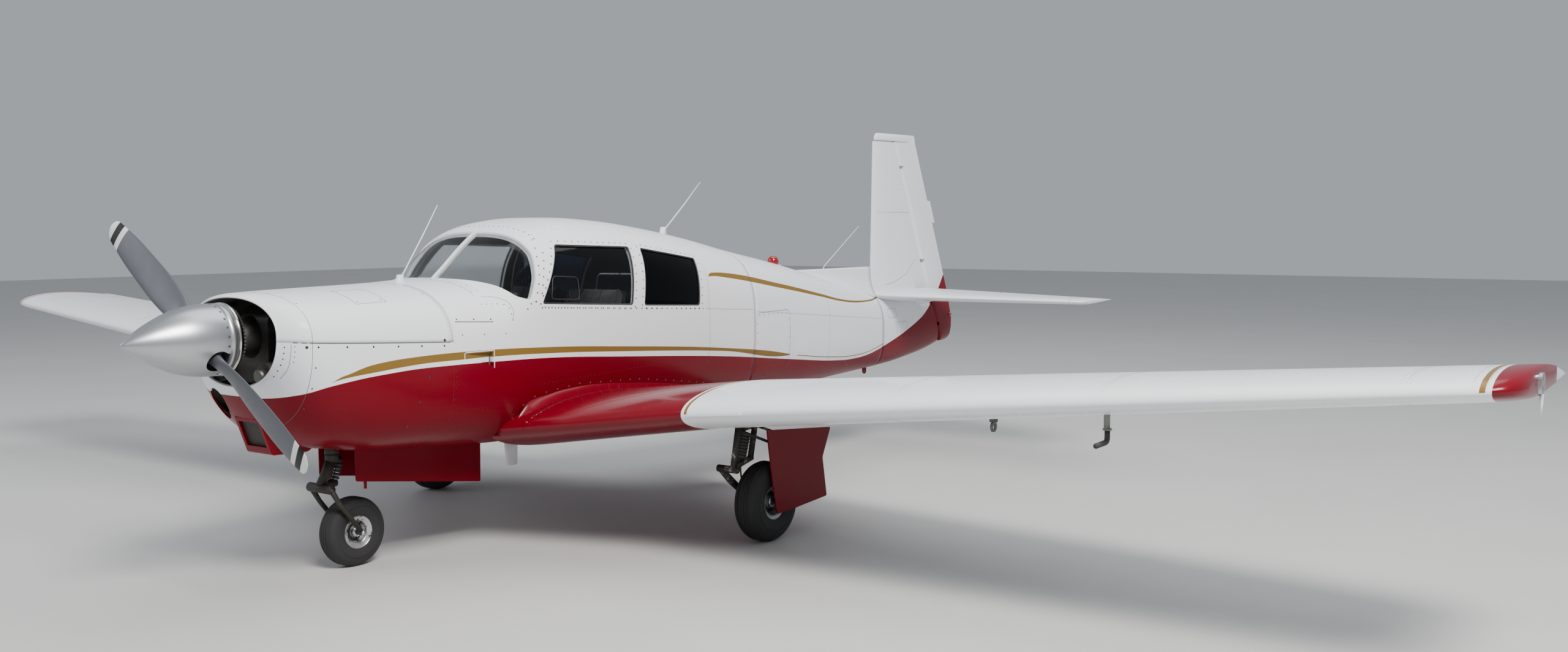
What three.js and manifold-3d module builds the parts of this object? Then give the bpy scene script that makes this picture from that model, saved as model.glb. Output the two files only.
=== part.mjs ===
// A four-seat, single-engine, all-metal light aircraft with retractable gear, parked on its wheels.
// The nose points to -Y, the aircraft's left side is +X and the ground is Z = 0.
// A station is the distance in millimetres aft of the tip of the spinner.
import * as THREE from 'three';
import { mergeVertices } from 'three/addons/utils/BufferGeometryUtils.js';
import Module from 'manifold-3d';

const wasm = await Module();
wasm.setup();

// Overall sizes
const LENGTH = 7400;
const HALF_SPAN = 5335;
const SEAT_GAP = 0.3;
const MOVING_GAP = 8;
const END_GAP = 14;
const CABIN_WALL = 28;
const CONE_WALL = 7;
const TAIL_WALL = 7;
const COWL_WALL = 14;
// Half width and heights that clear the whole fuselage, for cutting planes
const CLEAR_SIDE = 700;
const CLEAR_FOOT = 400;
const CLEAR_TOP = 1900;

// Thrust line and propeller
const THRUST_HEIGHT = 1227;
const PROPELLER_STATION = 410;
const PROPELLER_RADIUS = 940;
const SPINNER_RADIUS = 172;
const SPINNER_END = 452;
const SPINNER_WALL = 4;
const BLADE_ANGLE = THREE.MathUtils.degToRad(145.4);

// Joints between the big pieces of the fuselage
const FIREWALL = 1460;
const CONE_START = 4100;
const CONE_END = 6110;
const BAGGAGE_WALL = CONE_START - 40;

// Undercarriage
const NOSE_WHEEL = { x: 0, station: 1225, radius: 180, halfWidth: 63, bead: 64 };
const MAIN_WHEEL = { x: 1385, station: 2960, radius: 222, halfWidth: 77, bead: 77 };
const STEERING_STATION = 1110;

// Empennage, which pivots as one unit for trim
const TAIL_HINGE = { station: 6130, height: 1150 };
const TAIL_FRONT = 6124;
const RUDDER_FOOT = { station: 7167, height: 800 };
const RUDDER_LEAN = 0.428;
const STAB_HEIGHT = 1195;

const PAINT = {
  white: { color: 0xe6e8ec, roughness: 0.3, metalness: 0.05 },
  red: { color: 0x7c0c16, roughness: 0.25, metalness: 0.05 },
  cabin: { color: 0x2b2d30, roughness: 0.8, metalness: 0 },
  seat: { color: 0x6b5744, roughness: 0.75, metalness: 0 },
  glass: { color: 0x9fb2b8, roughness: 0.05, metalness: 0 },
  engine: { color: 0x4a4c50, roughness: 0.6, metalness: 0.5 },
  alloy: { color: 0xb9bcc0, roughness: 0.3, metalness: 0.9 },
  blade: { color: 0x8c9097, roughness: 0.35, metalness: 0.6 },
  tyre: { color: 0x151515, roughness: 0.9, metalness: 0 },
  gear: { color: 0xd5d6d2, roughness: 0.45, metalness: 0.1 },
  steel: { color: 0x6a5a4c, roughness: 0.6, metalness: 0.7 },
};

const root = new THREE.Group();

// Solids and meshes

function solidOf(geometry) {
  const bare = geometry.clone();
  bare.deleteAttribute('normal');
  bare.deleteAttribute('uv');
  const merged = mergeVertices(bare, 1e-3);
  return new wasm.Manifold(new wasm.Mesh({
    numProp: 3,
    vertProperties: new Float32Array(merged.attributes.position.array),
    triVerts: new Uint32Array(merged.index.array),
  }));
}

function addPart(name, solid, paint) {
  const mesh = solid.getMesh();
  const geometry = new THREE.BufferGeometry();
  geometry.setAttribute('position', new THREE.BufferAttribute(new Float32Array(mesh.vertProperties), 3));
  geometry.setIndex(new THREE.BufferAttribute(new Uint32Array(mesh.triVerts), 1));
  geometry.computeVertexNormals();
  const part = new THREE.Mesh(geometry, new THREE.MeshStandardMaterial(paint));
  part.name = name;
  root.add(part);
}

function joinAll(solids) {
  return solids.reduce((sum, solid) => sum.add(solid));
}

// The largest of the pieces that a cut has left
function largest(solid) {
  return solid.decompose().sort((a, b) => b.volume() - a.volume())[0];
}

function cutAll(solid, cutters) {
  return cutters.reduce((rest, cutter) => rest.subtract(cutter), solid);
}

// The same solid on the other side of the aircraft
function mirrored(solid) {
  const mesh = solid.getMesh();
  const points = new Float32Array(mesh.vertProperties);
  for (let i = 0; i < points.length; i += 3) {
    points[i] = -points[i];
  }
  const faces = new Uint32Array(mesh.triVerts);
  for (let i = 0; i < faces.length; i += 3) {
    [faces[i], faces[i + 1]] = [faces[i + 1], faces[i]];
  }
  return new wasm.Manifold(new wasm.Mesh({ numProp: 3, vertProperties: points, triVerts: faces }));
}

// Basic shapes, placed by x, station and height

function spot(x, station, z) {
  return new THREE.Vector3(x, station - LENGTH / 2, z);
}

function block(x0, x1, station0, station1, z0, z1) {
  const geometry = new THREE.BoxGeometry(x1 - x0, station1 - station0, z1 - z0);
  const middle = spot((x0 + x1) / 2, (station0 + station1) / 2, (z0 + z1) / 2);
  geometry.translate(middle.x, middle.y, middle.z);
  return solidOf(geometry);
}

function rod(from, to, radius, sides = 8, endRadius = radius) {
  const start = spot(...from);
  const along = spot(...to).sub(start);
  const geometry = new THREE.CylinderGeometry(endRadius, radius, along.length(), sides);
  geometry.translate(0, along.length() / 2, 0);
  const turn = new THREE.Quaternion().setFromUnitVectors(new THREE.Vector3(0, 1, 0), along.normalize());
  geometry.applyQuaternion(turn);
  geometry.translate(start.x, start.y, start.z);
  return solidOf(geometry);
}

function roundedShape(points, radius) {
  const corners = points.map(([across, up]) => new THREE.Vector2(across, up));
  const shape = new THREE.Shape();
  corners.forEach((corner, i) => {
    const before = corners[(i + corners.length - 1) % corners.length];
    const after = corners[(i + 1) % corners.length];
    const entry = corner.clone().add(before.clone().sub(corner).setLength(radius));
    const leave = corner.clone().add(after.clone().sub(corner).setLength(radius));
    if (i === 0) {
      shape.moveTo(entry.x, entry.y);
    } else {
      shape.lineTo(entry.x, entry.y);
    }
    shape.quadraticCurveTo(corner.x, corner.y, leave.x, leave.y);
  });
  shape.closePath();
  return shape;
}

function plainShape(points) {
  return new THREE.Shape(points.map(([across, up]) => new THREE.Vector2(across, up)));
}

// A slice of space across the whole fuselage between two stations
function slice(station0, station1) {
  return block(-CLEAR_SIDE, CLEAR_SIDE, station0, station1, CLEAR_FOOT, CLEAR_TOP);
}

// A side outline of stations and heights, given thickness from x0 to x1
function sidePrism(shape, x0, x1) {
  const depth = x1 - x0;
  const geometry = new THREE.ExtrudeGeometry(shape, { depth, bevelEnabled: false, curveSegments: 3 });
  geometry.applyMatrix4(new THREE.Matrix4().makeBasis(
    new THREE.Vector3(0, 1, 0),
    new THREE.Vector3(0, 0, 1),
    new THREE.Vector3(1, 0, 0),
  ));
  geometry.translate(x0, -LENGTH / 2, 0);
  return solidOf(geometry);
}

// A plan outline of x and stations, given thickness from z0 to z1
function planPrism(points, z0, z1) {
  const geometry = new THREE.ExtrudeGeometry(plainShape(points), { depth: z1 - z0, bevelEnabled: false });
  geometry.translate(0, -LENGTH / 2, z0);
  return solidOf(geometry);
}

// A profile of radius and distance along the axle, turned about the X axis
function turnedOnX(profile, centre, sides) {
  const points = profile.map(([radius, along]) => new THREE.Vector2(radius, along));
  const geometry = new THREE.LatheGeometry(points, sides);
  geometry.rotateZ(-Math.PI / 2);
  geometry.translate(...spot(centre.x, centre.station, centre.radius).toArray());
  return solidOf(geometry);
}

function signedVolume(points, faces) {
  const corner = (i) => points[faces[i]];
  let volume = 0;
  for (let i = 0; i < faces.length; i += 3) {
    volume += corner(i).dot(corner(i + 1).clone().cross(corner(i + 2)));
  }
  return volume;
}

// A closed body through rings with equal numbers of points
function loft(rings) {
  const count = rings[0].length;
  const points = rings.flat();
  const faces = [];
  for (let ring = 0; ring < rings.length - 1; ring += 1) {
    for (let i = 0; i < count; i += 1) {
      const a = ring * count + i;
      const b = ring * count + ((i + 1) % count);
      faces.push(a, b, b + count, a, b + count, a + count);
    }
  }
  [0, rings.length - 1].forEach((ring) => {
    const centre = rings[ring].reduce((sum, p) => sum.add(p), new THREE.Vector3()).divideScalar(count);
    points.push(centre);
    for (let i = 0; i < count; i += 1) {
      const a = ring * count + i;
      const b = ring * count + ((i + 1) % count);
      faces.push(...(ring === 0 ? [b, a] : [a, b]), points.length - 1);
    }
  });
  if (signedVolume(points, faces) < 0) {
    faces.reverse();
  }
  const geometry = new THREE.BufferGeometry().setFromPoints(points);
  geometry.setIndex(faces);
  return solidOf(geometry);
}

// Fuselage sections: each is an upper and a lower half superellipse that meet at the waist
// station, half width, top, bottom, waist height, upper power, lower power
const COWL_SECTIONS = [
  [560, 350, 1425, 1015, 1250, 2.2, 2.3],
  [572, 372, 1434, 960, 1245, 2.2, 2.2],
  [600, 412, 1439, 885, 1238, 2.3, 2.1],
  [660, 462, 1442, 790, 1220, 2.4, 2.2],
  [760, 492, 1445, 710, 1190, 2.5, 2.5],
  [1000, 525, 1450, 645, 1160, 2.6, 3],
  [FIREWALL, 545, 1461, 600, 1120, 2.6, 3.2],
];
const CABIN_SECTIONS = [
  [FIREWALL, 545, 1461, 600, 1120, 2.6, 3.2],
  [1790, 560, 1476, 570, 1150, 2.7, 3.2],
  [1870, 563, 1542, 566, 1165, 2.75, 3.2],
  [1980, 566, 1636, 560, 1190, 2.85, 3.2],
  [2110, 568, 1730, 556, 1220, 3, 3.2],
  [2350, 570, 1792, 550, 1245, 3, 3.2],
  [2560, 570, 1802, 550, 1250, 3, 3.2],
  [2860, 563, 1788, 550, 1248, 3, 3.2],
  [3260, 540, 1743, 552, 1225, 2.9, 3.2],
  [3690, 492, 1677, 558, 1180, 2.8, 3.1],
  [CONE_START, 440, 1600, 567, 1130, 2.7, 3],
];
const CONE_SECTIONS = [
  [CONE_START, 440, 1600, 567, 1130, 2.7, 3],
  [4620, 365, 1512, 585, 1080, 2.6, 2.9],
  [5180, 285, 1405, 606, 1020, 2.5, 2.8],
  [5650, 217, 1310, 624, 970, 2.4, 2.6],
  [CONE_END, 150, 1216, 642, 930, 2.3, 2.5],
];
const TAIL_SECTIONS = [
  [TAIL_FRONT, 148, 1190, 643, 928, 2.3, 2.5],
  [6400, 122, 1190, 660, 935, 2.3, 2.4],
  [6700, 98, 1180, 692, 945, 2.3, 2.3],
  [6790, 90, 1125, 703, 948, 2.3, 2.3],
  [7000, 70, 1115, 737, 950, 2.3, 2.2],
  [7190, 50, 1095, 782, 950, 2.3, 2.2],
];

function fuselageRing([station, halfWidth, top, bottom, waist, upperPower, lowerPower], inset, count) {
  const ring = [];
  for (let i = 0; i < count; i += 1) {
    const angle = (2 * Math.PI * i) / count;
    const across = Math.cos(angle);
    const up = Math.sin(angle);
    const power = up >= 0 ? upperPower : lowerPower;
    const height = up >= 0 ? top - inset - waist : waist - bottom - inset;
    ring.push(spot(
      (halfWidth - inset) * Math.sign(across) * Math.abs(across) ** (2 / power),
      station,
      waist + height * Math.sign(up) * Math.abs(up) ** (2 / power),
    ));
  }
  return ring;
}

// A fuselage body, its skin moved in by inset, its ends moved out by reach
function fuselageBody(sections, inset, count, reach = 0) {
  const rings = sections.map((section) => fuselageRing(section, inset, count));
  rings[0].forEach((point) => { point.y -= reach; });
  rings[rings.length - 1].forEach((point) => { point.y += reach; });
  return loft(rings);
}

const RING_POINTS = 24;
const LINING_POINTS = 16;
const cabinOuter = fuselageBody(CABIN_SECTIONS, 0, RING_POINTS);
const cabinClear = fuselageBody([...COWL_SECTIONS.slice(0, -1), ...CABIN_SECTIONS], -SEAT_GAP, RING_POINTS);
const cabinInner = fuselageBody(CABIN_SECTIONS, CABIN_WALL, LINING_POINTS);

// Windows: side outlines of stations and heights
const WINDSHIELD = [
  [1650, 1500], [1795, 1474], [1850, 1440], [1905, 1385], [1990, 1362],
  [2048, 1470], [2090, 1600], [2112, 1900], [1650, 1900],
];
const FRONT_WINDOW = [[2062, 1337], [2786, 1297], [2832, 1634], [2250, 1655]];
const REAR_WINDOW = [[2882, 1290], [3440, 1262], [3470, 1552], [2928, 1626]];
const CENTRE_POST = 13;
const PANE_OUTER = 9;
const PANE_INNER = 16;
const PANE_GAP = 0.6;
const WINDOW_RADIUS = 20;

// Doors on the right side
const CABIN_DOOR = [
  [2022, 930], [2842, 930], [2868, 1300], [2884, 1690], [2225, 1712], [2150, 1600], [2030, 1360],
];
const BAGGAGE_DOOR = [[3560, 1020], [3990, 1020], [3990, 1425], [3560, 1440]];
const DOOR_GAP = 6;
const DOOR_STEPS = [2, 4];
const DOOR_HINGE = { x: -581, station: 2012, heights: [1000, 1180] };
const BAGGAGE_HINGE = { from: [-488, 3590, 1450], to: [-427, 3960, 1434] };

// An outline moved in towards its middle by about margin
function shrunk(points, margin) {
  const count = points.length;
  const middle = points.reduce((sum, p) => [sum[0] + p[0] / count, sum[1] + p[1] / count], [0, 0]);
  const reach = middle.map((m, axis) => Math.max(...points.map((p) => Math.abs(p[axis] - m))));
  return points.map((p) => p.map((value, axis) => value + ((middle[axis] - value) * margin) / reach[axis]));
}

// The same solid turned by some degrees about a line in space
function turnedAbout(solid, point, axis, degrees) {
  const mesh = solid.getMesh();
  const centre = spot(...point);
  const angle = THREE.MathUtils.degToRad(degrees);
  const turn = new THREE.Quaternion().setFromAxisAngle(axis.clone().normalize(), angle);
  const points = new Float32Array(mesh.vertProperties);
  for (let i = 0; i < points.length; i += 3) {
    const corner = new THREE.Vector3(points[i], points[i + 1], points[i + 2]);
    points.set(corner.sub(centre).applyQuaternion(turn).add(centre).toArray(), i);
  }
  const faces = new Uint32Array(mesh.triVerts);
  return new wasm.Manifold(new wasm.Mesh({ numProp: 3, vertProperties: points, triVerts: faces }));
}

function skinLayer(outer, inner) {
  const hollow = fuselageBody(CABIN_SECTIONS, inner, RING_POINTS, 1);
  return fuselageBody(CABIN_SECTIONS, outer, RING_POINTS).subtract(hollow);
}

function sideOpening(outline, side, margin, radius = WINDOW_RADIUS) {
  const shape = roundedShape(shrunk(outline, margin), radius);
  return side > 0 ? sidePrism(shape, 300, CLEAR_SIDE) : sidePrism(shape, -CLEAR_SIDE, -300);
}

function windshieldOpening(side, margin) {
  const shape = roundedShape(shrunk(WINDSHIELD, margin), 20);
  const edge = CENTRE_POST + margin;
  return side > 0 ? sidePrism(shape, edge, CLEAR_SIDE) : sidePrism(shape, -CLEAR_SIDE, -edge);
}

// A two-leaf hinge: the fixed part has the outer knuckles and the pin, the moving part the middle one
function knuckles(from, to, fixedLeaf, movingLeaf, radius) {
  const at = (t) => from.map((value, i) => value + (to[i] - value) * t);
  const gap = SEAT_GAP / spot(...from).distanceTo(spot(...to));
  const third = 1 / 3;
  const pinRadius = radius * 0.5;
  const fixed = joinAll([
    rod(at(0), at(third), radius),
    rod(at(2 * third), at(1), radius),
    rod(at(0), at(1), pinRadius, 6),
    rod(at(third / 2), fixedLeaf(at(third / 2)), radius * 0.6, 6),
    rod(at(1 - third / 2), fixedLeaf(at(1 - third / 2)), radius * 0.6, 6),
  ]);
  const moving = rod(at(third + gap), at(2 * third - gap), radius)
    .add(rod(at(0.5), movingLeaf(at(0.5)), radius * 0.6, 6))
    .subtract(rod(at(0), at(1), pinRadius + SEAT_GAP * 2));
  return { fixed, moving };
}

// Nose: cowling in two halves, split on a line that falls a little towards the firewall

const COWL_SEAM = [[400, 1233], [1500, 1170]];
const CHIN_INLET = { x: -205, height: 893, radius: 80 };
const SCOOP_BORE = [-80, 80, 600, 800, 690, 815];

function cowlHalves() {
  const outer = fuselageBody(COWL_SECTIONS, 0, RING_POINTS);
  const inner = fuselageBody(COWL_SECTIONS, COWL_WALL, LINING_POINTS, 20);
  const end = FIREWALL - SEAT_GAP;
  const whole = outer.subtract(inner).subtract(slice(end, end + 100));
  const halfOf = (lift, limit) => {
    const [[s0, z0], [s1, z1]] = COWL_SEAM;
    const outline = [[s0, z0 + lift], [s1, z1 + lift], [s1, limit], [s0, limit]];
    return whole.intersect(sidePrism(plainShape(outline), -CLEAR_SIDE, CLEAR_SIDE));
  };
  const { x, height, radius } = CHIN_INLET;
  const lower = cutAll(halfOf(0, CLEAR_FOOT).add(scoopShell()), [
    rod([x, 500, height], [x, 760, height], radius, 20),
    block(-150, 150, 980, 1500, 500, 760),
    block(...SCOOP_BORE),
  ]);
  return { upper: halfOf(SEAT_GAP, CLEAR_TOP), lower };
}

// The air filter's inlet under the chin
function scoopShell() {
  const outline = [[624, 840], [694, 652], [900, 646], [980, 700], [780, 840]];
  const outside = sidePrism(plainShape(outline), -100, 100);
  return outside.subtract(fuselageBody(COWL_SECTIONS, COWL_WALL, LINING_POINTS, 20));
}

function buildCowl() {
  const { upper, lower } = cowlHalves();
  addPart('cowl_upper', upper, PAINT.white);
  addPart('cowl_lower', lower, PAINT.red);
}

// Engine: one block on four mount tubes, with the flange that carries the propeller
const ENGINE_BOTTOM = 985;

function buildEngine() {
  const mountEnd = FIREWALL - SEAT_GAP;
  const core = block(-270, 270, 645, 1330, ENGINE_BOTTOM, 1375);
  const cylinders = block(-400, 400, 730, 1280, 1070, 1330);
  const crank = rod([0, 650, THRUST_HEIGHT], [0, SPINNER_END + 8, THRUST_HEIGHT], 55, 16);
  const tubes = [];
  [-1, 1].forEach((side) => {
    tubes.push(rod([side * 200, 1280, 1340], [side * 300, mountEnd, 1360], 14, 8));
    tubes.push(rod([side * 200, 1280, 1020], [side * 300, mountEnd, 850], 14, 8));
  });
  const engine = joinAll([core, cylinders, crank, ...tubes]);
  addPart('engine', engine.subtract(slice(mountEnd, mountEnd + 60)), PAINT.engine);
}

// Propeller: two twisted blades on a hub, and a pointed spinner with a hole for each blade
// radius, chord, thickness, pitch in degrees
const BLADE_SECTIONS = [
  [60, 80, 78, 45],
  [150, 88, 60, 38],
  [230, 122, 34, 30],
  [380, 156, 22, 22],
  [560, 160, 16, 16],
  [740, 148, 12, 12.5],
  [880, 118, 8, 10.5],
  [PROPELLER_RADIUS - 12, 80, 6, 10],
  [PROPELLER_RADIUS, 42, 5, 10],
];
const BLADE_STEPS = 8;

function bladeRing([radius, chord, thickness, pitch], angle) {
  const outward = new THREE.Vector3(Math.cos(angle), 0, Math.sin(angle));
  const turning = new THREE.Vector3(-Math.sin(angle), 0, Math.cos(angle));
  const forward = new THREE.Vector3(0, -1, 0);
  const slope = THREE.MathUtils.degToRad(pitch);
  const along = turning.clone().multiplyScalar(Math.cos(slope)).addScaledVector(forward, Math.sin(slope));
  const face = forward.clone().multiplyScalar(Math.cos(slope)).addScaledVector(turning, -Math.sin(slope));
  const ring = [];
  for (let i = 0; i < BLADE_STEPS * 2; i += 1) {
    const turn = (Math.PI * i) / BLADE_STEPS;
    const depth = Math.sin(turn) > 0 ? thickness * 0.7 : thickness * 0.3;
    ring.push(spot(0, PROPELLER_STATION, THRUST_HEIGHT)
      .addScaledVector(outward, radius)
      .addScaledVector(along, (chord / 2) * Math.cos(turn))
      .addScaledVector(face, depth * Math.sin(turn)));
  }
  return ring;
}

const SPINNER_PROFILE = [
  [0, 0], [9, 4], [38, 40], [74, 95], [108, 160], [136, 225], [158, 295], [170, 370],
  [SPINNER_RADIUS, 420], [SPINNER_RADIUS, SPINNER_END],
];

function turnedOnY(profile, sides) {
  const points = profile.map(([radius, station]) => new THREE.Vector2(radius, station - LENGTH / 2));
  const geometry = new THREE.LatheGeometry(points, sides);
  geometry.rotateZ(Math.PI);
  geometry.scale(-1, -1, 1);
  geometry.translate(0, 0, THRUST_HEIGHT);
  return solidOf(geometry);
}

function buildPropeller() {
  const blade = (angle) => loft(BLADE_SECTIONS.map((row) => bladeRing(row, angle)));
  const blades = [blade(BLADE_ANGLE), blade(BLADE_ANGLE + Math.PI)];
  const hubEnd = SPINNER_END + 8 - SEAT_GAP;
  const hub = rod([0, 330, THRUST_HEIGHT], [0, hubEnd, THRUST_HEIGHT], 70, 20);
  const backPlate = rod([0, SPINNER_END - 6, THRUST_HEIGHT], [0, SPINNER_END + 4, THRUST_HEIGHT], 168, 32);
  addPart('propeller', joinAll([...blades, hub, backPlate]), PAINT.blade);

  const bore = SPINNER_RADIUS - SPINNER_WALL;
  const inside = [[bore, SPINNER_END], [bore, 425], [128, 225], [60, 95], [0, 30]];
  const shell = turnedOnY([...SPINNER_PROFILE, ...inside], 28);
  const rear = block(-300, 300, SPINNER_END - 6 - SEAT_GAP, 520, 900, 1500);
  const holes = [0, Math.PI].map((half) => {
    const angle = BLADE_ANGLE + half;
    const end = [300 * Math.cos(angle), PROPELLER_STATION - 6, THRUST_HEIGHT + 300 * Math.sin(angle)];
    return rod([0, PROPELLER_STATION - 6, THRUST_HEIGHT], end, 58, 20);
  });
  addPart('spinner', cutAll(shell, [rear, ...holes]), PAINT.alloy);
}

// Cabin: one riveted shell from the firewall to the baggage bulkhead, cut for windows and doors

function buildCabin() {
  const bulkheads = [
    slice(FIREWALL, FIREWALL + 14),
    slice(BAGGAGE_WALL, BAGGAGE_WALL + 12),
  ];
  const behindWall = fuselageBody(CABIN_SECTIONS, CABIN_WALL, RING_POINTS, 1)
    .intersect(slice(BAGGAGE_WALL + 12, CONE_START + 9));
  const whole = cabinOuter.subtract(cutAll(cabinInner, bulkheads)).subtract(behindWall);
  const doorShape = (margin) => sideOpening(CABIN_DOOR, -1, margin, 30);
  const baggageShape = (margin) => sideOpening(BAGGAGE_DOOR, -1, margin, 30);
  const doorHinges = DOOR_HINGE.heights.map((height) => knuckles(
    [DOOR_HINGE.x, DOOR_HINGE.station, height],
    [DOOR_HINGE.x, DOOR_HINGE.station, height + 60],
    ([, station, z]) => [-556, station - 28, z],
    ([, station, z]) => [-562, station + 60, z],
    9,
  ));
  const baggageHinge = knuckles(
    BAGGAGE_HINGE.from,
    BAGGAGE_HINGE.to,
    ([x, station, z]) => [x + 22, station, z + 22],
    ([x, station, z]) => [x + 4, station, z - 50],
    7,
  );
  const openings = [
    windshieldOpening(1, 0),
    windshieldOpening(-1, 0),
    sideOpening(FRONT_WINDOW, 1, 0),
    sideOpening(REAR_WINDOW, 1, 0),
    sideOpening(REAR_WINDOW, -1, 0),
    doorShape(0),
    baggageShape(0),
    block(-150, 150, FIREWALL - 10, 1975, 400, 640),
  ];
  const leaves = [...doorHinges, baggageHinge].map((hinge) => hinge.fixed);
  addPart('cabin_shell', joinAll([cutAll(whole, openings), ...leaves]), PAINT.white);

  // Each door is trimmed to what passes its frame while it starts to open
  const passing = (shape, point, axis) => DOOR_STEPS
    .reduce((rest, degrees) => rest.intersect(turnedAbout(shape, point, axis, -degrees)), shape);
  const upright = new THREE.Vector3(0, 0, 1);
  const doorPass = passing(doorShape(DOOR_GAP), [DOOR_HINGE.x, DOOR_HINGE.station, 0], upright);
  const baggageAxis = spot(...BAGGAGE_HINGE.to).sub(spot(...BAGGAGE_HINGE.from));
  const baggagePass = passing(baggageShape(DOOR_GAP), BAGGAGE_HINGE.from, baggageAxis);
  const doorPanel = whole.intersect(doorPass).subtract(sideOpening(FRONT_WINDOW, -1, 0));
  addPart('cabin_door', joinAll([doorPanel, ...doorHinges.map((hinge) => hinge.moving)]), PAINT.white);
  addPart('baggage_door', whole.intersect(baggagePass).add(baggageHinge.moving), PAINT.white);

  const pane = skinLayer(PANE_OUTER, PANE_INNER);
  [
    ['windshield_left', windshieldOpening(1, PANE_GAP)],
    ['windshield_right', windshieldOpening(-1, PANE_GAP)],
    ['window_front_left', sideOpening(FRONT_WINDOW, 1, PANE_GAP)],
    ['window_rear_left', sideOpening(REAR_WINDOW, 1, PANE_GAP)],
    ['window_rear_right', sideOpening(REAR_WINDOW, -1, PANE_GAP)],
    ['cabin_door_window', sideOpening(FRONT_WINDOW, -1, PANE_GAP)],
  ].forEach(([name, opening]) => addPart(name, pane.intersect(opening), PAINT.glass));
}

// Cabin fittings: floor, instrument panel and seats
const FLOOR_TOP = 680;
const FOOT_WIDTH = 20;
const YOKE = { x: 240, station: 2060 };
const SEAT_RADIUS = 22;

function buildInterior() {
  const room = fuselageBody(CABIN_SECTIONS, CABIN_WALL + 0.4, LINING_POINTS);
  const floor = slice(FIREWALL + 14.4, BAGGAGE_WALL - 0.4)
    .intersect(block(-CLEAR_SIDE, CLEAR_SIDE, FIREWALL, CONE_START, FLOOR_TOP - 20, FLOOR_TOP));
  addPart('cabin_floor', floor.intersect(room), PAINT.cabin);

  const panelOutline = [
    [1800, 1440], [1780, 1400], [1880, 1330], [1890, 1000], [1915, 1000], [1920, 1340], [1935, 1385],
  ];
  const panel = sidePrism(plainShape(panelOutline), -600, 600).intersect(room);
  const yokes = [-1, 1].map((side) => joinAll([
    rod([side * YOKE.x, 1900, 1180], [side * YOKE.x, YOKE.station, 1190], 10, 8),
    rod([side * YOKE.x - 130, YOKE.station, 1215], [side * YOKE.x + 130, YOKE.station, 1215], 12, 8),
    rod([side * YOKE.x, YOKE.station, 1180], [side * YOKE.x, YOKE.station, 1220], 14, 8),
  ]));
  addPart('instrument_panel', joinAll([panel, ...yokes]), PAINT.cabin);

  const frontSeat = [
    [2180, 830], [2640, 800], [2700, 760], [2760, 800], [2850, 1390], [2790, 1420], [2690, 960], [2190, 990],
  ];
  const rearSeat = [
    [3060, 830], [3500, 800], [3560, 800], [3660, 1330], [3590, 1350], [3490, 960], [3070, 990],
  ];
  const seatRoom = fuselageBody(CABIN_SECTIONS, CABIN_WALL + 14, LINING_POINTS);
  const seatFeet = (station0, station1, x0, x1) => [x0, x1 - FOOT_WIDTH]
    .map((x) => block(x, x + FOOT_WIDTH, station0, station1, FLOOR_TOP + SEAT_GAP, 850));
  // name, side outline, cushion from x to x, feet from x to x, feet from station to station
  [
    ['seat_front_left', frontSeat, [25, 465], [60, 350], [2240, 2600]],
    ['seat_front_right', frontSeat, [-465, -25], [-350, -60], [2240, 2600]],
    ['seat_rear', rearSeat, [-445, 445], [-300, 300], [3100, 3450]],
  ].forEach(([name, outline, cushionSpan, footSpan, footStations]) => {
    const cushion = sidePrism(roundedShape(outline, SEAT_RADIUS), ...cushionSpan);
    const feet = seatFeet(...footStations, ...footSpan);
    addPart(name, joinAll([cushion, ...feet]).intersect(seatRoom), PAINT.seat);
  });
}

// Tail cone: a tapering shell that ends in a bulkhead with the two trim hinge lugs
const LUG = { inner: 40, outer: 50, reach: 14, pin: 6 };
const TAIL_TIE_DOWN = { x: 6, station: 6060, height: 606 };

// The dorsal fairing runs level from the crown of the cone to the fin
const DORSAL_TOP = 1424;

function dorsalRing(station, foot, halfFoot, halfTop) {
  const shoulder = foot + (DORSAL_TOP - foot) * 0.55;
  const side = [[halfFoot, foot], [halfTop * 1.5, shoulder], [halfTop, 1410], [halfTop * 0.5, 1422]];
  const left = side.map(([x, z]) => spot(-x, station, z));
  const right = side.map(([x, z]) => spot(x, station, z));
  return [...left, ...right.reverse()];
}

function hingeLug(side) {
  const { station, height } = TAIL_HINGE;
  const x0 = Math.min(side * LUG.inner, side * LUG.outer);
  const x1 = x0 + LUG.outer - LUG.inner;
  const plate = block(x0, x1, CONE_END - 10, station, height - 12, height + 12);
  const eye = rod([x0, station, height], [x1, station, height], LUG.reach, 10);
  const hole = rod([x0 - 5, station, height], [x1 + 5, station, height], LUG.pin + 0.6, 10);
  return plate.add(eye).subtract(hole);
}

function buildTailCone() {
  const start = CONE_START + SEAT_GAP;
  const inner = fuselageBody(CONE_SECTIONS, CONE_WALL, LINING_POINTS, 1);
  const bulkhead = slice(CONE_END - 14, CONE_END + 5);
  const dorsal = loft([
    dorsalRing(5120, 1380, 60, 30),
    dorsalRing(5600, 1290, 90, 28),
    dorsalRing(CONE_END, 1180, 92, 26),
  ]).subtract(inner);
  const skin = fuselageBody(CONE_SECTIONS, 0, RING_POINTS)
    .subtract(inner.subtract(bulkhead))
    .subtract(slice(CONE_START - 100, start));
  const { x, station, height } = TAIL_TIE_DOWN;
  const tieDown = block(-x, x, station - 22, station + 22, height - 6, height + 60)
    .add(rod([-x, station, height], [x, station, height], 22, 16))
    .subtract(rod([-x - 5, station, height], [x + 5, station, height], 11, 10));
  addPart('tail_cone', joinAll([skin, dorsal, hingeLug(1), hingeLug(-1), tieDown]), PAINT.white);
}

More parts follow.
